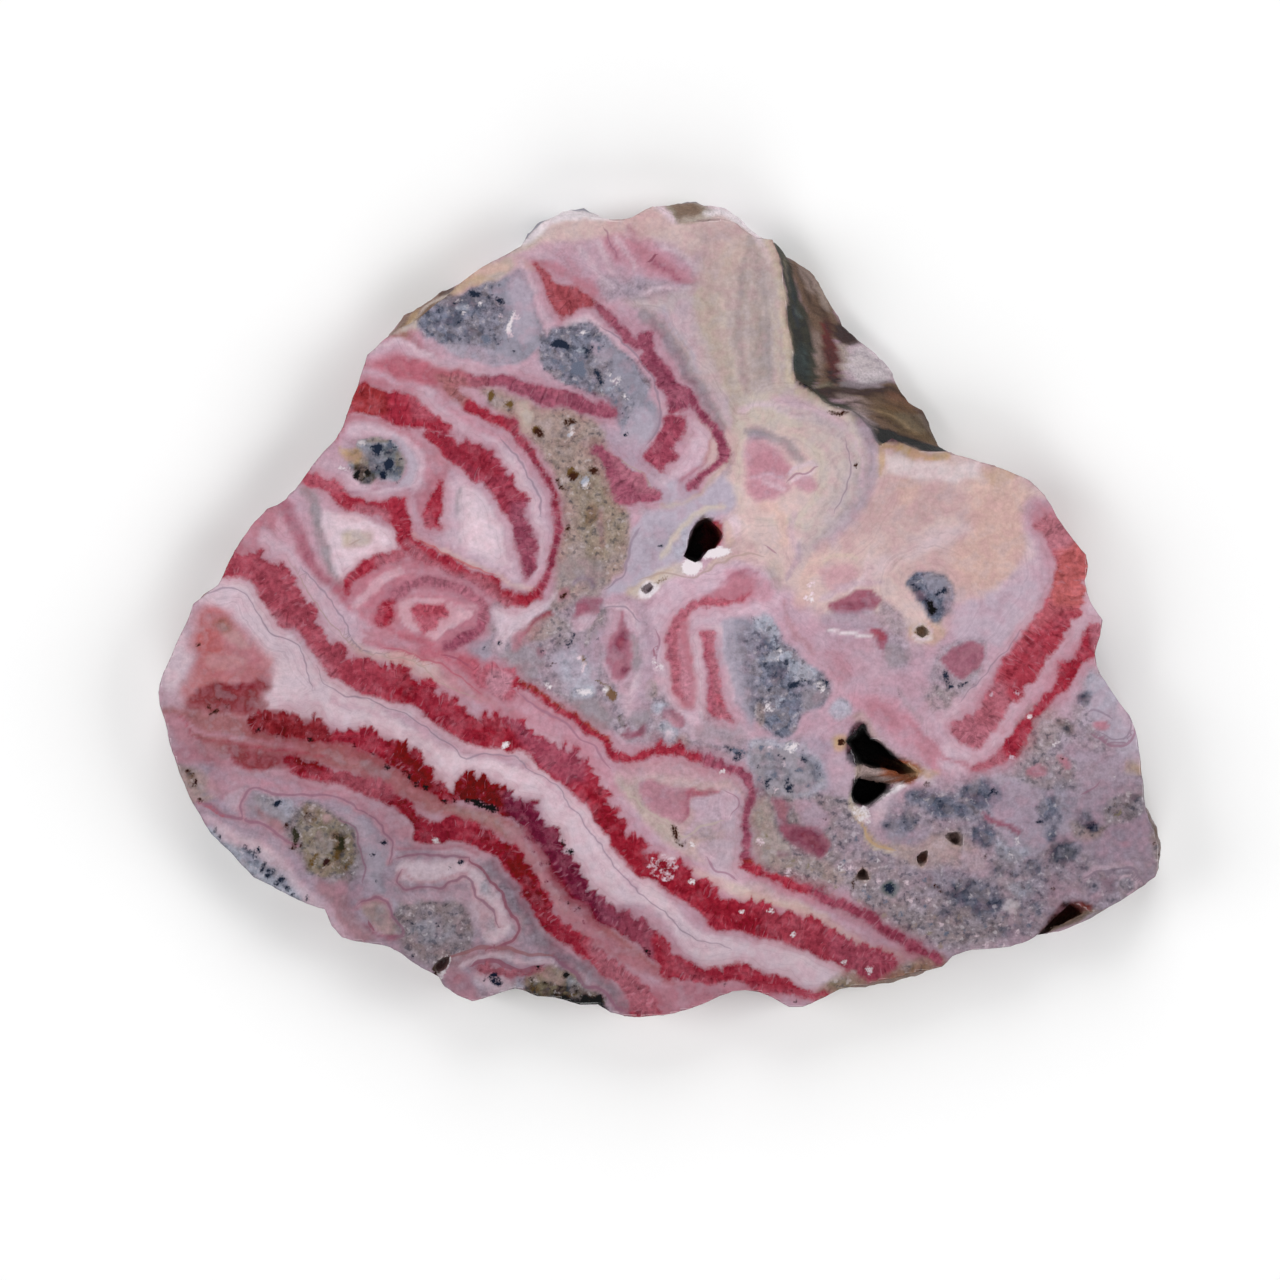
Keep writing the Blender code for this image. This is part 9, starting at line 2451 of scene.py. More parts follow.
    stone.wash("fog", 0.4, [(37.4, 90.8), (38.4, 91.2), (38.6, 92.2), (37.6, 92.4)], strength=0.5)
    stone.brush("rose", 0.4, 0.6, [
        (36, 90.4), (37, 89.9), (37.9, 90), (38.8, 90.7), (39.6, 91.7), (40.2, 92.8), (40.1, 93.6),
        (39, 94)], strength=0.7)
    stone.line("mauve_line", 0.25, [
        (36.2, 90.2), (37, 89.8), (37.9, 89.9), (38.8, 90.7), (39.7, 91.7), (40.3, 92.8), (40.2, 93.6),
        (39.2, 94)])
    stone.brush("mauve", 0.3, 0.4, [
        (36.1, 92.5), (36.7, 92.8), (37.4, 93.4), (38.4, 93.7), (39.4, 93.9), (40, 93.6)], strength=0.7)
    stone.line("mauve", 0.3, [(36.6, 92.2), (37.2, 93)])
    stone.wash("matrix", 0.8, [
        (39.8, 90.5), (42.5, 90.2), (45.5, 90), (46.8, 90.5), (47.2, 92.5), (47, 95), (45.2, 96), (44, 96.6),
        (42, 96), (40, 94.5)], strength=0.85)
    stone.wash("silver", 0.5, [(41, 92.5), (44, 91.5), (45.5, 93), (44, 94.5), (41.5, 94)], strength=0.4)
    stone.brush("rose", 0.5, 0.5, [(39.8, 84.8), (43, 84.9), (46, 84.6), (47.8, 85.2)], strength=0.7)
    path = [(39.6, 85.8), (42, 85.6), (45, 85.7), (47, 85.8)]
    stone.brush("rose", 0.4, 0.4, path, strength=0.6)
    stone.line("mauve_line", 0.25, path)
    stone.wash("fleece", 0.6, [
        (39.8, 86.4), (42, 86.2), (44.8, 86), (46.6, 86.2), (48, 87.4), (49.4, 89), (50.6, 90.8), (51, 92.4),
        (50.4, 93.6), (49.4, 94.4), (48.4, 93.8), (48, 92.5), (47, 91.2), (47.4, 89.6), (46.6, 88.4),
        (45, 88), (43, 88.4), (41, 88.2), (40, 87.6)], strength=0.9)
    stone.wash("silver", 0.5, [(48, 88), (49, 88.4), (49.2, 89.6), (48.2, 89.2)], strength=0.6)
    path = [
        (40.2, 87.2), (39.8, 88), (40.4, 88.8), (42, 88.8), (44, 88.9), (45.2, 88.2), (46.4, 87.8),
        (47.4, 88.8), (47.8, 89.8), (48.8, 90.6), (49.6, 91.4), (49.9, 92.4)]
    stone.brush("rose", 0.4, 0.5, path, strength=0.6)
    stone.line("mauve_line", 0.25, path)
    stone.brush("rose", 0.4, 0.3, [
        (40.4, 87), (41.5, 88), (43.5, 88.2), (45.2, 87.6), (46.6, 87.4)], strength=0.6)
    stone.wash("pale", 0.5, [
        (40.4, 89.4), (43, 89.4), (45, 89.2), (46.2, 88.8), (47, 89.8), (47.4, 91.2), (48, 93), (47, 92.5),
        (46.4, 90.6), (45, 90), (42.5, 90.2), (40.8, 90.4)], strength=0.7)
    stone.wash("rose", 0.6, [(47.4, 90), (48.6, 90.8), (49.2, 92.2), (48.4, 93.2), (47.8, 92)], strength=0.45)
    stone.wash("haze", 0.6, [(48.4, 91.6), (49.4, 92), (49.6, 93), (48.6, 93)], strength=0.5)
    stone.brush("rose", 0.4, 0.6, [
        (46.2, 85.8), (48.2, 86.9), (49.6, 88.5), (50.5, 89.9), (51.2, 91.3), (51.8, 92.6), (51.4, 93.8),
        (50.3, 94.5), (49, 94.9)], strength=0.6)
    stone.line("mauve", 0.3, [
        (46.8, 86), (48.2, 87), (49.6, 88.6), (50.5, 90), (51.2, 91.4), (51.8, 92.6), (51.4, 93.8),
        (50.3, 94.5), (49, 94.9)])
    stone.brush("dusk", 0.9, 1.5, [
        (49, 86.8), (51, 89.2), (52.4, 91.5), (53.8, 93.6), (56, 95.5), (59, 97.2), (61.5, 99.5),
        (63.2, 101.4)], strength=0.9)
    stone.brush("haze", 0.5, 0.6, [
        (47.8, 86.2), (50, 88.4), (51.6, 90.8), (52.6, 93), (54.5, 94.6)], strength=0.6)
    stone.wash("dusty", 0.8, [
        (44.6, 95.6), (47, 95), (50, 94.8), (52, 95.2), (50, 95.8), (47, 96), (45.6, 97.2)], strength=0.5)
    stone.line("dusty", 0.35, [(44.4, 95.8), (46, 95.2), (48, 94.7), (50.5, 94.9), (53, 95.3), (55.2, 95.6)])
    path = [(55.2, 95.6), (56.2, 96.2), (57.2, 97.2), (58.4, 98.4), (60, 99.2), (61.6, 100.4), (62.8, 101.4)]
    stone.brush("mauve", 0.4, 0.5, path, strength=0.6)
    stone.line("mauve_line", 0.3, path)
    stone.brush("milk", 0.3, 0.5, [
        (46.2, 96.8), (47.2, 96), (48.6, 95.6), (50.5, 95.7), (52.5, 96.2), (54.5, 96.1),
        (55.6, 96.6)], strength=0.9)
    stone.line("mauve", 0.45, [
        (47.2, 96.6), (48, 96.1), (49.2, 96.1), (50.6, 96.6), (52, 97), (53.2, 96.9), (54.1, 96.5)])
    stone.wash("rose", 0.6, [
        (44.2, 97), (45.6, 96.8), (46.8, 97.5), (47.6, 99), (48.6, 100), (47, 100.4), (45.6, 100),
        (44.6, 98.5)], strength=0.6)
    stone.wash("crimson", 0.5, [(44.4, 96.8), (45.6, 97), (46, 98), (44.8, 98)], strength=0.3)
    stone.wash("fleece", 0.5, [
        (47.8, 97), (49.5, 96.8), (50.6, 97.4), (51.2, 98.6), (49.8, 99.2), (48.4, 99),
        (47.4, 98)], strength=0.6)
    stone.spot("ink", 0.6, (49.6, 97.6), (49.4, 98.2), (49.8, 98.4))
    stone.spot("ink", 0.4, (48.5, 98.1), (50, 97.9), (49.2, 97.8))
    stone.wash("silver", 0.5, [(51.6, 97.5), (53, 97.2), (54, 97.8), (53, 98.8), (51.6, 98.6)], strength=0.8)
    stone.wash("moss", 0.5, [
        (52.8, 97.2), (54.2, 96.6), (55.6, 96.6), (56.8, 97.2), (58, 98), (59.2, 99.2), (60.4, 100.4),
        (58, 100.8), (54.8, 100.3), (52.8, 99.4)])
    stone.wash("tan", 0.5, [(54.5, 97), (56, 97), (56.2, 98.4), (54.8, 98.4)], strength=0.6)
    stone.wash("silver", 0.5, [
        (56.6, 97.6), (58.4, 98.4), (59, 99.4), (57.6, 99), (56.6, 98.4)], strength=0.7)
    stone.wash("grime", 0.4, [
        (52.8, 98.6), (54.5, 99), (56, 98.8), (57.6, 99), (59, 99.7), (60.2, 100.2), (60, 100.7),
        (57.5, 100.7), (54.5, 100.3), (53, 99.6)], strength=0.9)
    stone.spot("black", 0.8, (59.2, 100.1), (58.4, 100.2), (59.8, 100.1), (54.5, 98.6), (56.4, 97.4))
    stone.spot("black", 0.5,
        (53.5, 98.3), (53.3, 97.9), (55.1, 99.4), (54.8, 100), (55.6, 99.8), (56.6, 99.8), (57.2, 100),
        (54, 99.6), (56.2, 99), (57.5, 98.6), (57.8, 99.2), (55.5, 98.8), (53.7, 96.8))
    stone.spot("moss", 0.6, (55.2, 99), (57.8, 99.8), (54, 99), (56.8, 99.4))
    stone.spot("olive", 0.5, (53.5, 99), (56, 100.1), (54.5, 100), (57.2, 99.5))
    stone.wash("haze", 0.6, [(60.4, 100.6), (61.8, 101.2), (62.2, 102), (60.8, 101.8)], strength=0.8)
    stone.spot("ink", 0.5, (61.2, 101.6), (61.5, 101.8), (51.4, 99))
    stone.spot("umber", 0.5, (38.4, 84.1), (37.3, 85.6))
    stone.spot("ink", 0.35,
        (38.4, 84.2), (37.3, 85.7), (37.5, 88.2), (40.7, 92), (41.2, 95.5), (46.2, 86.2), (46, 86.4),
        (45, 86.8), (41.2, 92.2), (44, 92.5))
    stone.grain("rust", [
        (43.3, 96.8), (43.8, 96), (44.4, 95.7), (44.8, 95.7), (44.7, 96.6), (44.3, 97.3), (43.7, 97.6)])
    stone.grain("umber", [(43.4, 96.6), (43.8, 96), (44.2, 96), (43.8, 97), (43.5, 97.2)])
    stone.thread("snow", 0.3, [(44.9, 95.7), (44.8, 96.6), (44.4, 97.5), (44.1, 98)])
    stone.wash("grime", 0.3, [
        (52.7, 98.8), (54.5, 98.4), (56.2, 98.6), (57.8, 98.4), (59, 99.2), (60.4, 100), (60.6, 101.2),
        (57.5, 101.4), (54.5, 101), (52.6, 100)], strength=0.9)
    stone.spot("black", 0.9,
        (58.6, 99.9), (59.6, 100.3), (57.6, 100.2), (56.6, 100.1), (60, 100.8), (58.8, 100.8), (57.2, 100.9),
        (55.2, 100.5))
    stone.wash("storm", 4.0, [
        (93, 79), (105, 77), (115, 78), (116.5, 88), (105, 93), (93, 90)], strength=0.12)
    stone.wash("haze", 1.0, [
        (91.5, 83.8), (94, 83.4), (97.5, 84.2), (98.5, 86.2), (94, 86.8), (91.5, 86)], strength=0.4)
    stone.wash("rust", 1.0, [
        (83.8, 94), (88, 94.8), (92.5, 95), (92.5, 97.5), (88, 98.5), (84, 97.2)], strength=0.3)
    stone.wash("fog", 1.5, [(70, 82), (76, 83), (77, 86), (74, 87), (70.5, 85)], strength=0.3)


def paint_hollows(stone):
    """The walls of the hollows: black painted shade at the back, rust and cream where stained."""
    stone.sink([
        (67, 51.2), (70, 50.2), (72.8, 51), (73.8, 53.6), (73, 55.8), (70, 57.4), (68, 57.2), (66.8, 55.2)])
    stone.wash("black", 0.2, [
        # painted shade: black over the back of the long hollow
        (69.3, 53), (69.9, 52), (70.7, 51.7), (71.3, 52), (70.9, 54), (70, 56.1), (68.8, 56.1), (68.4, 55.6)])
    stone.wash("umber", 0.2, [
        (70, 51.9), (71.2, 51.8), (72.2, 53), (72.2, 53.6), (71.6, 54.6), (70.4, 55.2), (70, 56.2)])
    stone.wash("crimson", 0.2, [
        (70.6, 52.2), (72, 52.4), (72.3, 53.4), (71.8, 54.6), (70.6, 55.3), (70.3, 54)], strength=0.8)
    for points in (
        [(70.8, 52.2), (71.2, 53.6), (70.8, 55)],
        [(71.6, 52.4), (71.9, 53.6), (71.4, 54.6)],
    ):
        stone.brush("rust", 0.15, 0.2, points, strength=0.7)
    stone.wash("umber", 0.2, [(69.5, 52.6), (70.4, 52), (70.4, 53.4), (69.2, 54.8), (69, 54)], strength=0.7)
    stone.sink([
        (84.5, 74), (86.2, 72.2), (87, 73.6), (89, 75.2), (92, 76.8), (91.8, 78.2), (89.5, 79), (87, 81),
        (85.2, 80.2), (85.6, 77.5)])
    # painted shade: black over the backs of the twin hollow
    for points in (
        [(84.5, 74), (86.2, 72.2), (87.2, 73.6), (89.2, 75.2), (91, 76.5), (90, 77.6), (87, 76.8),
         (85.2, 76.4)],
        [(85.2, 78), (87.2, 78.2), (88.8, 78.6), (88.2, 79.8), (86.8, 80.8), (85.2, 80)],
    ):
        stone.wash("black", 0.4, points)
    stone.wash("tan", 0.4, [
        (85.6, 76.7), (87.5, 76.8), (90, 77.2), (90.8, 77.7), (89, 78.5), (87, 78.1),
        (85.5, 77.8)], strength=0.9)
    stone.wash("rust", 0.4, [(88.8, 76), (90.8, 76.2), (92.2, 77.3), (91.4, 78.4), (89.6, 78), (88.6, 77.2)])
    stone.wash("ochre", 0.3, [
        (90.4, 76.5), (91.6, 76.9), (92.1, 77.4), (91.4, 77.9), (90.5, 77.4)], strength=0.6)
    stone.wash("umber", 0.5, [
        (86.8, 77.6), (89, 77.8), (88.8, 78.6), (87.2, 78.6), (86.2, 78.2)], strength=0.9)
    stone.rind([
        (103, 95.5), (104, 93), (105.8, 91), (107.4, 89.9), (109.1, 90.6), (109.4, 91.4), (108.4, 92.8),
        (105.5, 94), (105, 95.5)])
    stone.wash("umber", 0.4, [
        (103, 95), (103.8, 93.4), (105.6, 91.2), (107.2, 90.1), (109, 90.4), (109.3, 91.2), (108.6, 92.2),
        (107.2, 93), (105.6, 93.8), (104.4, 94.4)])
    stone.wash("rust", 0.4, [
        (105.4, 91.8), (107.6, 90.4), (109, 90.7), (108.8, 91.6), (107, 92.6), (105.2, 93)], strength=0.6)
    stone.wash("bark", 0.4, [
        (105.6, 92.8), (107.4, 91.9), (109.4, 91.1), (110, 91.2), (108.6, 92.5), (107, 93.2),
        (105.6, 93.8)], strength=0.75)
    stone.brush("umber", 0.15, 0.2, [(105.6, 93.3), (107.2, 92.7), (109, 91.7)], strength=0.6)
    # painted shade: a black stroke down the deep lower left of the edge hollow
    stone.brush("black", 0.3, 0.6, [(104.2, 94), (105, 92.6), (106, 91.4), (107, 90.6)], strength=0.8)
    stone.wash("garnet", 0.3, [(107, 90.4), (108.6, 90.3), (109, 91), (107.6, 91.4)], strength=0.4)
    stone.rind([(94.4, 84), (96, 83.1), (96.2, 84.7)])
    stone.wash("tan", 0.2, [(94.4, 84), (96, 83.1), (96.2, 84.7)])
    stone.wash("umber", 0.15, [(95, 84.1), (95.9, 83.6), (95.9, 84.3)], strength=0.8)
    path = [(91.5, 86), (92.7, 84.9), (92.7, 86.3), (92, 86.7)]
    stone.rind(path)
    stone.wash("tan", 0.2, path)
    stone.wash("rust", 0.2, [(91.8, 86), (92.6, 85.3), (92.6, 86.1)], strength=0.6)
    stone.rind([(85.4, 88), (86.3, 86.7), (87.1, 88.1)])
    stone.wash("tan", 0.2, [(85.4, 88), (86.3, 86.7), (87.1, 88.1)])
    stone.wash("umber", 0.15, [(85.9, 87.8), (86.4, 87.1), (86.7, 87.8)], strength=0.8)
    # painted light: ivory walls in this small pit, paler than the tan stone round it
    path = [(91.5, 62.9), (92.4, 62.4), (93, 63.3), (92.2, 63.9)]
    stone.rind(path)
    stone.wash("ivory", 0.2, path)
    stone.wash("ochre", 0.15, [(91.9, 62.9), (92.5, 62.7), (92.7, 63.3), (92.2, 63.5)], strength=0.7)
    # snow for the sugary white here, and painted light that lightens the pit's walls
    stone.wash("snow", 0.2, [(63.6, 59.4), (64.8, 58), (65.8, 58.6), (64.8, 59.8)])
    stone.rind([(64.1, 59), (65, 58.1), (65.5, 58.8), (64.6, 59.5)])
    stone.wash("fog", 0.1, [(64.6, 58.8), (65, 58.5), (65.2, 58.8), (64.8, 59.1)])
    stone.rind([
        (38, 33), (40, 30.6), (43.2, 28.4), (45.5, 27.2), (50, 25.5), (51, 26.2), (47, 28), (44, 30.4),
        (41, 33.2), (38.8, 34.6)])
    stone.wash("moss", 1.0, [
        (82, 99), (85, 97), (88.5, 96.6), (91, 96.2), (94, 95.4), (95, 97.5), (90, 100), (85, 100.6),
        (82, 100)], strength=0.8)
    stone.wash("rust", 1.0, [
        (86, 98), (88.5, 97.4), (91, 96.8), (93, 96.4), (92.4, 98), (89, 99), (86.2, 99)], strength=0.35)
    stone.wash("bark", 1.0, [(90.5, 96.8), (93.4, 96), (94.4, 97.2), (92, 98.5)], strength=0.5)


def paint_broad_light_and_shade(stone):
    """Painted light and shade: darker over the lower and left parts of the stone, lighter towards the crown.
    """
    stone.shade(0.8, 6.0, [
        (15, 70), (20, 74), (30, 75), (40, 76), (52, 80), (64, 90), (76, 93), (90, 90), (96, 88), (108, 80),
        (118, 80), (118, 98), (90, 101), (60, 103), (42, 101), (25, 95), (14, 85)])
    stone.shade(0.86, 5.0, [(14, 62), (20, 60), (26, 64), (32, 69), (36, 74), (25, 76), (15, 76)])
    stone.shade(0.88, 5.0, [
        (74, 76), (90, 79), (104, 76), (112, 74), (118, 80), (118, 92), (104, 95), (90, 90), (78, 86)])
    # painted light over the pale swirl and the country beside it
    stone.shade(1.08, 6.0, [
        (62, 42), (70, 43), (78, 47), (86, 54), (84, 62), (76, 64), (68, 62), (62, 56), (60, 50)])
    # painted shade on the sloping rind at the upper right
    stone.shade(0.72, 1.0, [
        (79, 23.6), (83, 27), (87, 33.5), (90.5, 38), (96, 45), (88, 45.2), (85, 41), (80, 39.2), (78.6, 32),
        (77.6, 24.5)])
    stone.shade(0.82, 3.0, [(34, 82), (40, 80), (47, 85), (53, 90), (62, 101), (56, 101), (43, 99), (33, 90)])
    stone.shade(0.88, 3.0, [(26, 54), (36, 64), (48, 72), (43, 76), (33, 70), (25, 62)])


REGIONS = (
    lay_out_ground,
    paint_crown,
    paint_crust,
    paint_inclusions,
    paint_upper_left_bands,
    paint_left_eyes,
    paint_red_cloud,
    paint_main_bands,
    paint_thin_red_line,
    paint_pocket,
    paint_hollow_country,
    paint_swirl,
    paint_red_arch,
    paint_middle_matrix,
    paint_right_country,
    paint_right_bands,
    paint_lower_right,
    paint_twin_country,
    paint_lower_rim,
    paint_hollows,
    paint_broad_light_and_shade,
)


# ---------------------------------------------------------------------------------------------------------
# The slab's fine surface
# ---------------------------------------------------------------------------------------------------------

def made(name, shape):
    """A mesh object from a bmesh, linked to the scene."""
    mesh = bpy.data.meshes.new(name)
    shape.to_mesh(mesh)
    shape.free()
    thing = bpy.data.objects.new(name, mesh)
    bpy.context.scene.collection.objects.link(thing)
    return thing


def lies_flat(face):
    """Whether a face of the solid is part of the polished face or the sawn back."""
    heights = [vert.co.z for vert in face.verts]
    return min(heights) > FACE_HEIGHT - FLAT_SLACK or max(heights) < FLAT_SLACK


def rough(point, reach, seed):
    """Seeded relief at a point, in two sizes, about -1 to 1."""
    place = point / reach + Vector((seed, 2 * seed, 3 * seed))
    return noise.noise(place) * COARSE_SHARE + noise.noise(place * FINER) * FINE_SHARE


def rough_solid(settings):
    """A closed copy of the solid whose natural rim and hollows are broken up into fine relief."""
    shape = bmesh.new()
    shape.from_mesh(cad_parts["slice"].data)
    bmesh.ops.remove_doubles(shape, verts=shape.verts, dist=MERGE)
    bmesh.ops.delete(shape, geom=[face for face in shape.faces if lies_flat(face)], context="FACES")
    bmesh.ops.subdivide_edges(shape, edges=shape.edges[:], cuts=2, use_grid_fill=True)
    shape.normal_update()
    for vert in shape.verts:
        sawn = vert.co.z > FACE_HEIGHT - FLAT_SLACK or vert.co.z < FLAT_SLACK
        way = vert.normal.copy()
        if sawn:
            way.z = 0.0
        depth = settings.edge_relief if sawn else settings.rim_relief
        depth *= min(1.0, (vert.co.xy - THIN_LIP).length / LIP_REACH) ** LIP_FADE
        vert.co += way * depth * (rough(vert.co, settings.relief_reach, RIM_SEED) - INSET)
    for level in (0.0, FACE_HEIGHT):
        rims = [edge for edge in shape.edges if edge.is_boundary
                and all(abs(vert.co.z - level) < FLAT_SLACK for vert in edge.verts)]
        bmesh.ops.triangle_fill(shape, edges=rims, use_beauty=False)
    bmesh.ops.recalc_face_normals(shape, faces=shape.faces)
    return made("rough_solid", shape)


def lattice(shape, across, deep, spacing, height):
    """A flat lattice of squares over the slab's box, a little larger all round. Returns its outer edges."""
    squares = [max(2, round(extent / spacing)) for extent in (across, deep)]
    grid = bmesh.ops.create_grid(shape, x_segments=squares[0], y_segments=squares[1], size=0.5)["verts"]
    bmesh.ops.scale(shape, vec=(across, deep, 1.0), verts=grid)
    bmesh.ops.translate(shape, vec=(0.0, 0.0, height), verts=grid)
    own = set(grid)
    return [edge for edge in shape.edges if edge.is_boundary and edge.verts[0] in own]


def fine_block(settings):
    """A closed block with a fine lattice on top and a coarse one below, to be cut to the slab's outline."""
    low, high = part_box("slice")
    across = 2 * max(high.x, -low.x) + BLOCK_MARGIN
    deep = 2 * max(high.y, -low.y) + BLOCK_MARGIN
    shape = bmesh.new()
    upper = lattice(shape, across, deep, settings.face_spacing, FACE_HEIGHT - SKIN)
    lower = lattice(shape, across, deep, settings.back_spacing, SKIN)
    bmesh.ops.bridge_loops(shape, edges=upper + lower)
    bmesh.ops.recalc_face_normals(shape, faces=shape.faces)
    return made("slice_body", shape)


def fine_slab(settings):
    """The slab: the block cut to the rough solid."""
    slab, solid = fine_block(settings), rough_solid(settings)
    cut = slab.modifiers.new("outline", "BOOLEAN")
    cut.operation = "INTERSECT"
    cut.solver = "MANIFOLD"
    cut.object = solid
    bpy.context.view_layer.update()
    finished = bpy.data.meshes.new_from_object(slab.evaluated_get(bpy.context.evaluated_depsgraph_get()))
    slab.modifiers.clear()
    slab.data = finished
    bpy.data.objects.remove(solid)
    shape = bmesh.new()
    shape.from_mesh(finished)
    if not shape.faces or any(not edge.is_manifold for edge in shape.edges):
        raise RuntimeError("the slab's fine surface isn't closed")
    shape.to_mesh(finished)
    shape.free()
    finished.shade_smooth()
    finished.set_sharp_from_angle(angle=SHARP)
    return slab


def keep(mesh, name, kind, values):
    """Stores a vector or a colour for each point of the mesh."""
    values = np.asarray(values, np.float32)
    if kind == "FLOAT_COLOR":
        values = np.column_stack((values, np.ones(len(values), np.float32)))
    layer = mesh.attributes.new(name, kind, "POINT")
    field = {"FLOAT_VECTOR": "vector", "FLOAT_COLOR": "color"}[kind]
    layer.data.foreach_set(field, np.ascontiguousarray(values, np.float32).ravel())


def lean_layers(stone, spots, below):
    """Takes the face's layers down the rim at a slant: a point there repeats a face point further along."""
    rim = np.nonzero((below > LEAN_FROM) & (stone.walls == 0.0))[0]
    face = np.nonzero(below < FLAT_SLACK / MM)[0]
    tree = kdtree.KDTree(len(face))
    for index, spot in enumerate(spots[face]):
        tree.insert((*spot, 0.0), index)
    tree.balance()
    depth = below[rim]
    sway = 1.0 + LAYER_SWAY * wobble(spots[rim] + depth[:, None], SWAY_REACH, SWAY_SEED)
    aims = spots[rim] + np.array(LAYER_LEAN) * (depth * sway)[:, None]
    source = face[[tree.find((*aim, 0.0))[1] for aim in aims]]
    for layer in (stone.ground, stone.texture, stone.band_colour, stone.band_form, stone.speck_colour,
                  stone.speck_depth, stone.line_colour, stone.line_form, stone.growth):
        layer[rim] = layer[source]


def draw_pattern(slab, colours):
    """Draws the whole pattern on the slab's points."""
    mesh = slab.data
    places = np.empty(len(mesh.vertices) * 3, np.float32)
    mesh.vertices.foreach_get("co", places)
    places = places.reshape(-1, 3).astype(float) / MM
    spots = np.column_stack((SHEET_MIDDLE[0] + places[:, 0], SHEET_MIDDLE[1] - places[:, 1]))
    stone = Stone(spots, colours, "pink")
    for region in REGIONS:
        region(stone)
    lean_layers(stone, spots, FACE_HEIGHT / MM - places[:, 2])
    for name in ("ground", "band_colour", "speck_colour", "line_colour"):
        keep(mesh, name, "FLOAT_COLOR", getattr(stone, name))
    for name in ("texture", "band_form", "line_form"):
        keep(mesh, name, "FLOAT_VECTOR", getattr(stone, name))
    keep(mesh, "marks", "FLOAT_VECTOR", np.column_stack((stone.speck_depth, stone.growth, stone.walls)))


# ---------------------------------------------------------------------------------------------------------
# Materials
# ---------------------------------------------------------------------------------------------------------

class Wire:
    """An output of a node. Python's operators on it add Math nodes."""

    def __init__(self, net, socket):
        self.net = net
        self.socket = socket

    def math(self, operation, *others):
        return self.net.node("ShaderNodeMath", {"operation": operation}, dict(enumerate((self, *others))))

    def __add__(self, other):
        return self.math("ADD", other)

    __radd__ = __add__

    def __sub__(self, other):
        return self.math("SUBTRACT", other)

    def __rsub__(self, other):
        return self * -1.0 + other

    def __mul__(self, other):
        return self.math("MULTIPLY", other)

    __rmul__ = __mul__

    def __truediv__(self, other):
        return self.math("DIVIDE", other)

    def __abs__(self):
        return self.math("ABSOLUTE")

    def bounded(self):
        """The value kept between 0 and 1."""
        return self.net.node("ShaderNodeClamp", {}, {"Value": self})

    def centred(self):
        """A value of 0 to 1 taken about 0."""
        return self - 0.5

    def above(self, level, softness):
        """0 below a level and 1 above it, with a ramp of that width across it."""
        return ((self - level) / softness + 0.5).bounded()


class Net:
    """The nodes of one material, and the stone's colours by name."""

    def __init__(self, name, colours):
        self.colours = colours
        self.material = bpy.data.materials.new(name)
        self.material.use_nodes = True
        self.tree = self.material.node_tree
        self.tree.nodes.clear()

    def node(self, kind, settings, inputs, output=0):
        """Adds a node. Settings are set first, then each input is given a value or joined to a wire."""
        made_node = self.tree.nodes.new(kind)
        for name, value in settings.items():
            setattr(made_node, name, value)
        for key, value in inputs.items():
            socket = self.find(made_node.inputs, key)
            if isinstance(value, Wire):
                self.tree.links.new(value.socket, socket)
            else:
                socket.default_value = value
        return Wire(self, self.find(made_node.outputs, output))

    @staticmethod
    def find(sockets, key):
        """A socket by its number, its identifier or its name."""
        if isinstance(key, int):
            return sockets[key]
        return next(socket for socket in sockets if key in (socket.identifier, socket.name))

    def attribute(self, name, output="Vector"):
        return self.node("ShaderNodeAttribute", {"attribute_name": name}, {}, output)

    def parts(self, vector):
        """The three parts of a vector."""
        first = self.node("ShaderNodeSeparateXYZ", {}, {0: vector})
        return [Wire(self, socket) for socket in first.socket.node.outputs]

    def place(self, x, y, z=0.0):
        return self.node("ShaderNodeCombineXYZ", {}, {0: x, 1: y, 2: z})

    def scaled(self, vector, factor):
        """A vector or a colour times a value."""
        return self.node("ShaderNodeVectorMath", {"operation": "SCALE"}, {0: vector, "Scale": factor})

    def moved(self, vector, amount, operation="ADD"):
        """A vector or a colour with the same amount added to, or taken from, each of its parts."""
        return self.node("ShaderNodeVectorMath", {"operation": operation}, {0: vector, 1: (amount,) * 3})

    def noise(self, vector, scale, detail=2.0, kind="3D"):
        settings = {"noise_dimensions": kind, "normalize": True}
        inputs = {"W" if kind == "1D" else "Vector": vector, "Scale": scale, "Detail": detail}
        return self.node("ShaderNodeTexNoise", settings, inputs)

    def cells(self, vector, scale, output="Color", kind="2D"):
        settings = {"voronoi_dimensions": kind}
        inputs = {"W" if kind == "1D" else "Vector": vector, "Scale": scale}
        return self.node("ShaderNodeTexVoronoi", settings, inputs, output)

    def teeth(self, run, scale, height):
        """A row of pointed teeth along an edge, so many for each mm of it."""
        return (0.5 - self.cells(run, scale, "Distance", "1D")) * height

    def blend(self, factor, first, second):
        """Two colours mixed by a factor."""
        settings = {"data_type": "RGBA", "blend_type": "MIX"}
        inputs = {"Factor_Float": factor, "A_Color": first, "B_Color": second}
        return self.node("ShaderNodeMix", settings, inputs, "Result_Color")

    def own(self, name):
        """One of the stone's colours, as a colour input takes it."""
        return (*self.colours[name], 1.0)

    def toward(self, colour, name, share, strength):
        """A colour taken towards one of the stone's own, by a share of that strength."""
        return self.blend(share * strength, colour, self.own(name))

    def darker(self, colour, share, strength):
        """A colour darkened by a share of that strength."""
        return self.scaled(colour, 1.0 - share * strength)

    def finish(self, shader):
        surface = self.tree.nodes.new("ShaderNodeOutputMaterial").inputs["Surface"]
        self.tree.links.new(shader.socket, surface)
        return self.material


def by_grain(grain, smooth, added):
    """A strength on smooth stone, with what full grain adds to it."""
    return smooth + grain * added


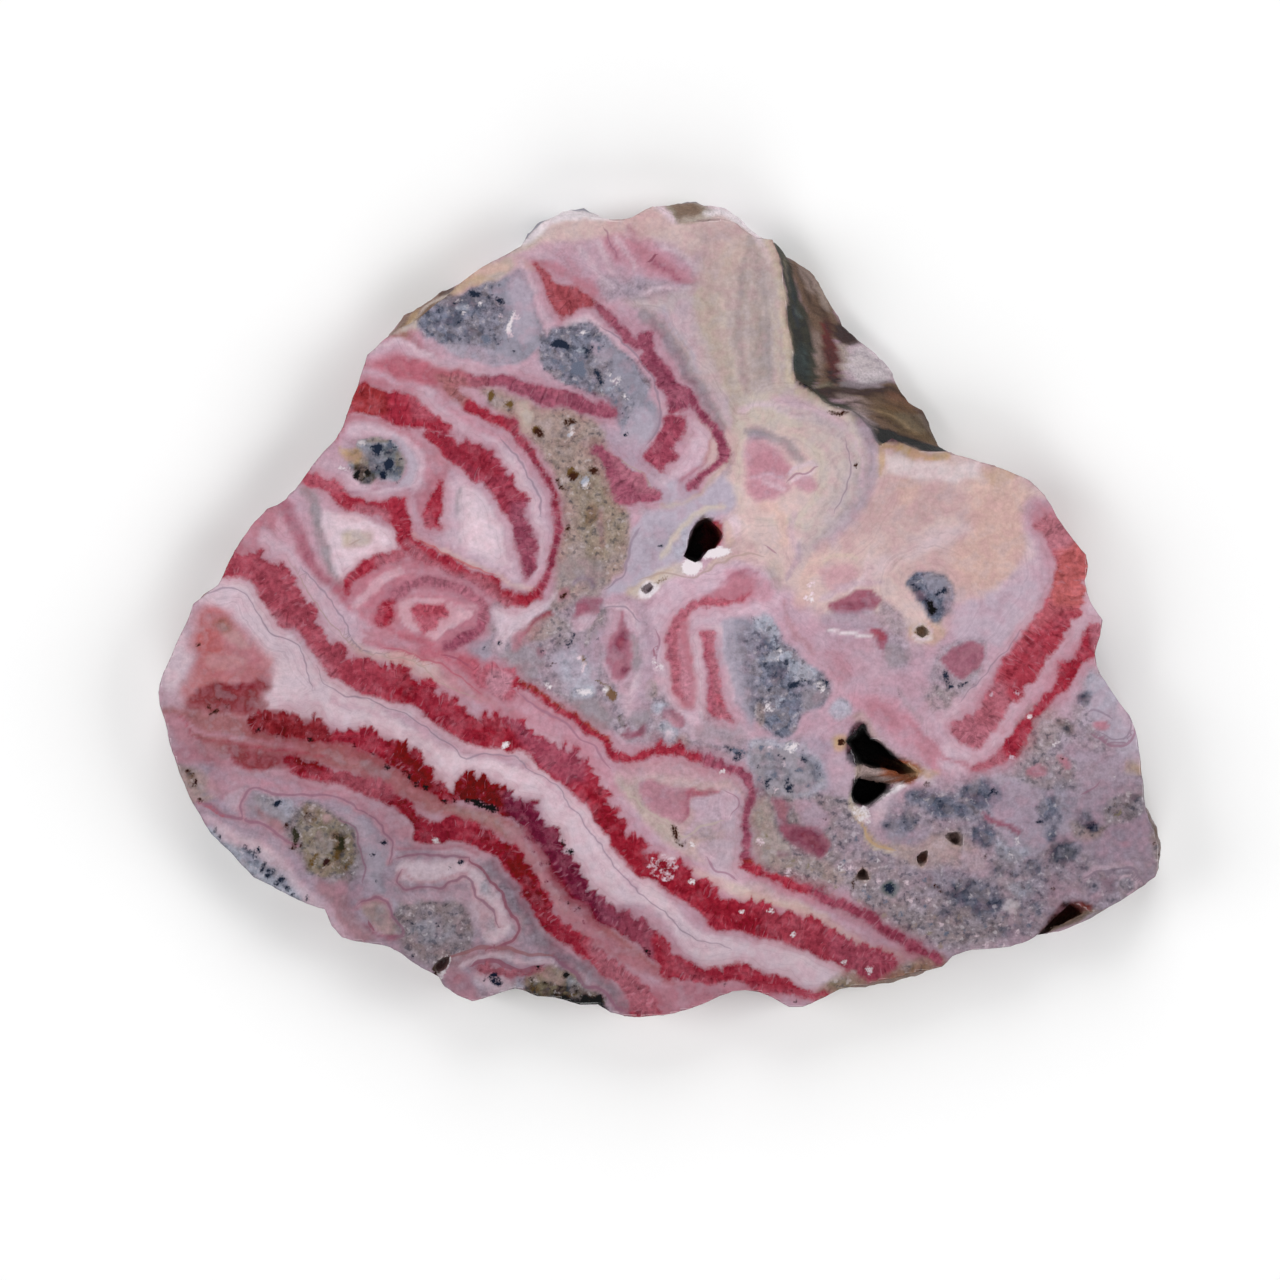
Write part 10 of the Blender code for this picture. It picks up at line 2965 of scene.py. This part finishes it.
def ground_colour(net, spot):
    """The soft ground: drifts of warmer and cooler stone, growth lines, mottling and country-rock grain."""
    grain, lines, clouds = net.parts(net.attribute("texture"))
    _, growth, _ = net.parts(net.attribute("marks"))
    colour = net.attribute("ground", "Color")
    drift = net.noise(spot, scale=0.22)
    warmer = drift.above(level=0.56, softness=0.25) * lines
    cooler = (1.0 - drift).above(level=0.56, softness=0.25) * lines
    colour = net.toward(colour, "peach", warmer, strength=0.14)
    colour = net.toward(colour, "lilac", cooler, strength=0.12)
    tone = net.noise(net.moved(spot, TONE_AT), scale=0.75, detail=3.0)
    blush = tone.above(level=0.56, softness=0.16) * by_grain(grain, smooth=0.24, added=-0.16)
    colour = net.toward(colour, "rose_mist", blush, strength=1.0)
    colour = net.toward(colour, "mist", (1.0 - tone).above(level=0.57, softness=0.14), strength=0.20)

    clouding = net.noise(spot, scale=0.55).centred()
    mottling = net.noise(spot, scale=1.7).centred()
    fine = net.noise(spot, scale=5.0, detail=1.0).centred()
    ringed = growth + net.noise(spot, scale=0.8) * RING_SWAY
    rings = net.noise(ringed, scale=2.6, kind="1D").centred()
    ridge = abs(net.noise(ringed + CREASES_AT, scale=1.9, detail=1.0, kind="1D").centred())
    creases = 1.0 - ridge.above(level=0.016, softness=0.024)
    lump_light, lump_kind, _ = net.parts(net.cells(spot, scale=1.1))
    light = 1.0 + clouding * clouds * CLOUD_LIGHT
    light = light + mottling * by_grain(grain, smooth=0.18, added=1.35)
    light = light + fine * by_grain(grain, smooth=0.13, added=0.48)
    light = light + rings * lines * RING_LIGHT - creases * lines * CREASE_SHADE
    light = light + lump_light.centred() * grain * LUMP_LIGHT
    colour = net.scaled(colour, light)

    rock = grain.above(level=0.62, softness=0.3)
    pits = net.noise(net.moved(spot, PITS_AT), scale=1.5)
    colour = net.toward(colour, "ink", pits.above(level=0.61, softness=0.11) * rock, strength=0.55)
    colour = net.toward(colour, "snow", (1.0 - pits).above(level=0.644, softness=0.11) * rock, strength=0.28)
    return net.toward(colour, "tan", lump_kind.above(level=0.7, softness=0.2) * grain, strength=0.16)


def band_colour(net, spot, depth, run):
    """The crystal bands: fibres square to their edges, paler veils, painted glints of light and deep seams.
    """
    def drawn_out(along, inward, at=0.0):
        """A place for a pattern that is drawn out inward from the band's edge."""
        return net.place(run * along, depth * inward, at)

    colour = net.attribute("band_colour", "Color")
    patches = net.noise(spot, scale=0.8, detail=3.0)
    colour = net.toward(colour, "rose", patches.above(level=0.58, softness=0.2), strength=0.22)
    colour = net.darker(colour, (1.0 - patches).above(level=0.56, softness=0.2), strength=0.20)
    fibres = net.noise(drawn_out(along=2.4, inward=0.6), scale=1.0, kind="2D").centred()
    grains = net.noise(spot, scale=2.8).centred()
    facets, _, _ = net.parts(net.cells(drawn_out(along=1.3, inward=0.5), scale=1.0))
    colour = net.scaled(colour, 1.0 + fibres * FIBRE_LIGHT + grains + facets.centred() * FACET_LIGHT)
    # painted highlights: pale streaks along the fibres stand for light glinting in the crystals
    shine = net.noise(drawn_out(along=3.2, inward=0.7, at=SHINE_AT), scale=1.0)
    colour = net.toward(colour, "rose_mist", shine.above(level=0.64, softness=0.086), strength=0.26)
    seams = net.noise(drawn_out(along=2.2, inward=0.5, at=SEAMS_AT), scale=1.0)
    return net.darker(colour, seams.above(level=0.607, softness=0.086), strength=0.28)


def wall_colour(net, spot, colour, walls, down, unsettled):
    """The rim's stained side, or in the marked hollows the ground's own colour with painted shade that
    deepens with depth.
    """
    stained = net.noise(spot, scale=0.6, detail=3.0)
    rind = net.blend(stained.above(level=0.5, softness=0.3), net.own("tan"), net.own("bark"))
    rim = net.blend(stained.above(level=0.52, softness=0.3) * RIND_STRENGTH + RIND_BASE, colour, rind)
    rim = net.scaled(rim, unsettled(RIM_LIGHT, broad=0.5, fine=0.5))
    # painted shade: the walls of marked hollows grow darker with depth below the face
    depth_shading = down.above(level=2.2, softness=4.0) * walls.above(level=0.75, softness=0.5) * HOLLOW_SHADE
    painted = net.scaled(net.attribute("ground", "Color"), unsettled(1.0 - depth_shading, broad=0.6, fine=0.8))
    return net.blend(walls.above(level=0.25, softness=0.5), rim, painted)


def stone_material(colours):
    """Polished banded stone, with a matt natural rim and hollows whose walls carry painted shade."""
    net = Net("banded_stone", colours)
    spot = net.scaled(net.node("ShaderNodeTexCoord", {}, {}, "Object"), 1 / MM)
    depth, run, teeth = net.parts(net.attribute("band_form"))
    speck, _, walls = net.parts(net.attribute("marks"))
    side, near, half = net.parts(net.attribute("line_form"))
    _, _, height = net.parts(spot)
    unevenness = net.noise(spot, scale=1.5).centred() * UNEVEN
    fray = net.noise(spot, scale=5.0, detail=1.0).centred() * FRAY

    def unsettled(value, broad, fine):
        """A value moved by shares of the broad unevenness and of the fine fraying."""
        return unevenness * broad + fray * fine + value

    colour = ground_colour(net, spot)
    halo = unsettled(depth, broad=0.9, fine=0.4).above(level=-0.45, softness=1.1)
    colour = net.blend(halo * HALO_STRENGTH, colour, net.attribute("band_colour", "Color"))
    stroke = (half - abs(side) + fray * LINE_FRAY).above(level=0.0, softness=0.09)
    stroke = stroke * (LINE_WIDEST - near).above(level=0.0, softness=0.1)
    colour = net.blend(stroke * LINE_STRENGTH, colour, net.attribute("line_colour", "Color"))

    points = net.teeth(run, scale=0.85, height=0.9) + net.teeth(run, scale=2.3, height=0.3) - TEETH_BASE
    edge = depth + teeth * points * (1.0 - abs(depth) * TEETH_FADE).bounded()
    crystals = unsettled(edge, broad=0.7, fine=0.4).above(level=0.0, softness=0.4)
    colour = net.blend(crystals, colour, band_colour(net, spot, depth, run))
    mark = unsettled(speck, broad=0.5, fine=0.6).above(level=0.0, softness=0.24)
    colour = net.blend(mark, colour, net.attribute("speck_colour", "Color"))

    down = FACE_HEIGHT / MM - height
    below = down.above(level=0.16, softness=0.24)
    colour = net.blend(below, colour, wall_colour(net, spot, colour, walls, down, unsettled))
    colour = net.moved(colour, GLOSS_LIFT, "SUBTRACT")

    texture, _, _ = net.parts(net.attribute("texture"))
    sheen = POLISH + texture * GRAIN_MATT + net.noise(spot, scale=3.0, detail=1.0).centred() * POLISH_DRIFT
    sheen = sheen + (RIM_MATT - sheen) * below
    relief = unsettled(0.0, broad=1.5, fine=1.0) * (FACE_RELIEF + below)
    bump = net.node("ShaderNodeBump", {}, {"Height": relief, "Strength": 0.5, "Distance": RELIEF_DEPTH})
    shader = net.node("ShaderNodeBsdfPrincipled", {}, {
        "Base Color": colour, "Roughness": sheen, "Normal": bump, "IOR": 1.6, "Specular IOR Level": 0.5,
    })
    return net.finish(shader)


def floor_material(colour):
    """A matt pale floor with a faint drift of tone."""
    net = Net("pale_floor", {})
    spot = net.node("ShaderNodeTexCoord", {}, {}, "Object")
    tone = FLOOR_TONE + net.noise(spot, scale=9.0).centred() * FLOOR_DRIFT
    shader = net.node("ShaderNodeBsdfPrincipled", {}, {
        "Base Color": net.scaled(tuple(colour), tone), "Roughness": 0.9, "Specular IOR Level": 0.1,
    })
    return net.finish(shader)


# ---------------------------------------------------------------------------------------------------------
# Settings, steps and panel
# ---------------------------------------------------------------------------------------------------------

class SliceSizes(bpy.types.PropertyGroup):
    """Sizes of the fine surface."""
    face_spacing: FloatProperty(
        name="Face spacing", description="Spacing of the points of the polished face",
        default=0.30 * MM, min=0.2 * MM, unit="LENGTH")
    back_spacing: FloatProperty(
        name="Back spacing", description="Spacing of the points of the sawn back",
        default=1.0 * MM, min=0.3 * MM, unit="LENGTH")
    rim_relief: FloatProperty(
        name="Rim relief", description="Depth of the fine relief on the natural rim and in the hollows",
        default=0.16 * MM, unit="LENGTH")
    edge_relief: FloatProperty(
        name="Edge relief", description="How far the edge of the polished face is chipped",
        default=0.06 * MM, unit="LENGTH")
    relief_reach: FloatProperty(
        name="Relief reach", description="Size of the lumps on the natural rim",
        default=1.3 * MM, unit="LENGTH")


class StageSettings(bpy.types.PropertyGroup):
    """Floor, lights and camera."""
    floor_colour: FloatVectorProperty(
        name="Floor", description="Colour of the floor", subtype="COLOR", default=(0.93, 0.93, 0.93))
    field: FloatProperty(
        name="Field", description="Width that the camera sees at the polished face",
        default=128.0 * MM, unit="LENGTH")
    light: FloatProperty(
        name="Light", description="Power of each large light, in watts", default=LIGHT_POWER)
    lens: FloatProperty(name="Lens", description="Focal length in millimetres", default=85.0)


class SLICE_OT_body(bpy.types.Operator):
    """Makes the slice's fine surface, draws its pattern and gives it its material"""
    bl_idname = "slice.body"
    bl_label = "Make the slice"

    def execute(self, context):
        slab = fine_slab(context.scene.slice_sizes)
        palette = context.scene.slice_colours
        colours = {name: tuple(getattr(palette, name)) for name in palette.__annotations__}
        draw_pattern(slab, colours)
        slab.data.materials.clear()
        slab.data.materials.append(stone_material(colours))
        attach(slab, "root")
        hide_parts("slice")
        return {"FINISHED"}


class SLICE_OT_stage(bpy.types.Operator):
    """Makes the floor, the soft lights and the camera that looks straight down on the slice"""
    bl_idname = "slice.stage"
    bl_label = "Make the stage"

    def execute(self, context):
        stage = context.scene.slice_stage
        shape = bmesh.new()
        bmesh.ops.create_grid(shape, x_segments=1, y_segments=1, size=FLOOR_REACH)
        floor = made("floor", shape)
        floor.data.materials.append(floor_material(stage.floor_colour))
        for turn in range(LIGHTS):
            bearing = 2 * math.pi * turn / LIGHTS
            level = math.radians(LIGHT_LEVEL)
            flat = math.cos(level)
            way = Vector((math.cos(bearing) * flat, math.sin(bearing) * flat, math.sin(level)))
            lamp = bpy.data.lights.new(f"soft_light_{turn}", "AREA")
            lamp.energy = stage.light
            lamp.size = LIGHT_SIZE
            holder = bpy.data.objects.new(lamp.name, lamp)
            holder.location = way * LIGHT_DISTANCE
            holder.rotation_euler = way.to_track_quat("Z", "Y").to_euler()
            context.scene.collection.objects.link(holder)
        world = bpy.data.worlds.new("soft_room")
        world.use_nodes = True
        backdrop = world.node_tree.nodes["Background"]
        backdrop.inputs["Color"].default_value = (1.0, 1.0, 1.0, 1.0)
        backdrop.inputs["Strength"].default_value = WORLD_LIGHT
        context.scene.world = world
        context.scene.view_settings.view_transform = "Standard"
        eye = bpy.data.cameras.new("camera")
        eye.lens = stage.lens
        eye.sensor_width = SENSOR
        holder = bpy.data.objects.new("camera", eye)
        rise = stage.field * stage.lens / SENSOR
        holder.location = (*CAMERA_OVER, FACE_HEIGHT + rise)
        context.scene.collection.objects.link(holder)
        context.scene.camera = holder
        return {"FINISHED"}


class SLICE_PT_panel(bpy.types.Panel):
    """Lists the steps and their settings."""
    bl_label = "Rhodochrosite slice"
    bl_space_type = "VIEW_3D"
    bl_region_type = "UI"
    bl_category = "Slice"

    def draw(self, context):
        layout = self.layout
        for group in (context.scene.slice_sizes, context.scene.slice_stage, context.scene.slice_colours):
            box = layout.box()
            for name in group.__annotations__:
                box.prop(group, name)
        layout.operator(SLICE_OT_body.bl_idname)
        layout.operator(SLICE_OT_stage.bl_idname)


CLASSES = (SliceSizes, SliceColours, StageSettings, SLICE_OT_body, SLICE_OT_stage, SLICE_PT_panel)


def register():
    for item in CLASSES:
        bpy.utils.register_class(item)
    bpy.types.Scene.slice_sizes = PointerProperty(type=SliceSizes)
    bpy.types.Scene.slice_colours = PointerProperty(type=SliceColours)
    bpy.types.Scene.slice_stage = PointerProperty(type=StageSettings)


def unregister():
    del bpy.types.Scene.slice_stage
    del bpy.types.Scene.slice_colours
    del bpy.types.Scene.slice_sizes
    for item in reversed(CLASSES):
        bpy.utils.unregister_class(item)


def main():
    register()
    bpy.ops.slice.body()
    bpy.ops.slice.stage()


if __name__ == "__main__":
    main()
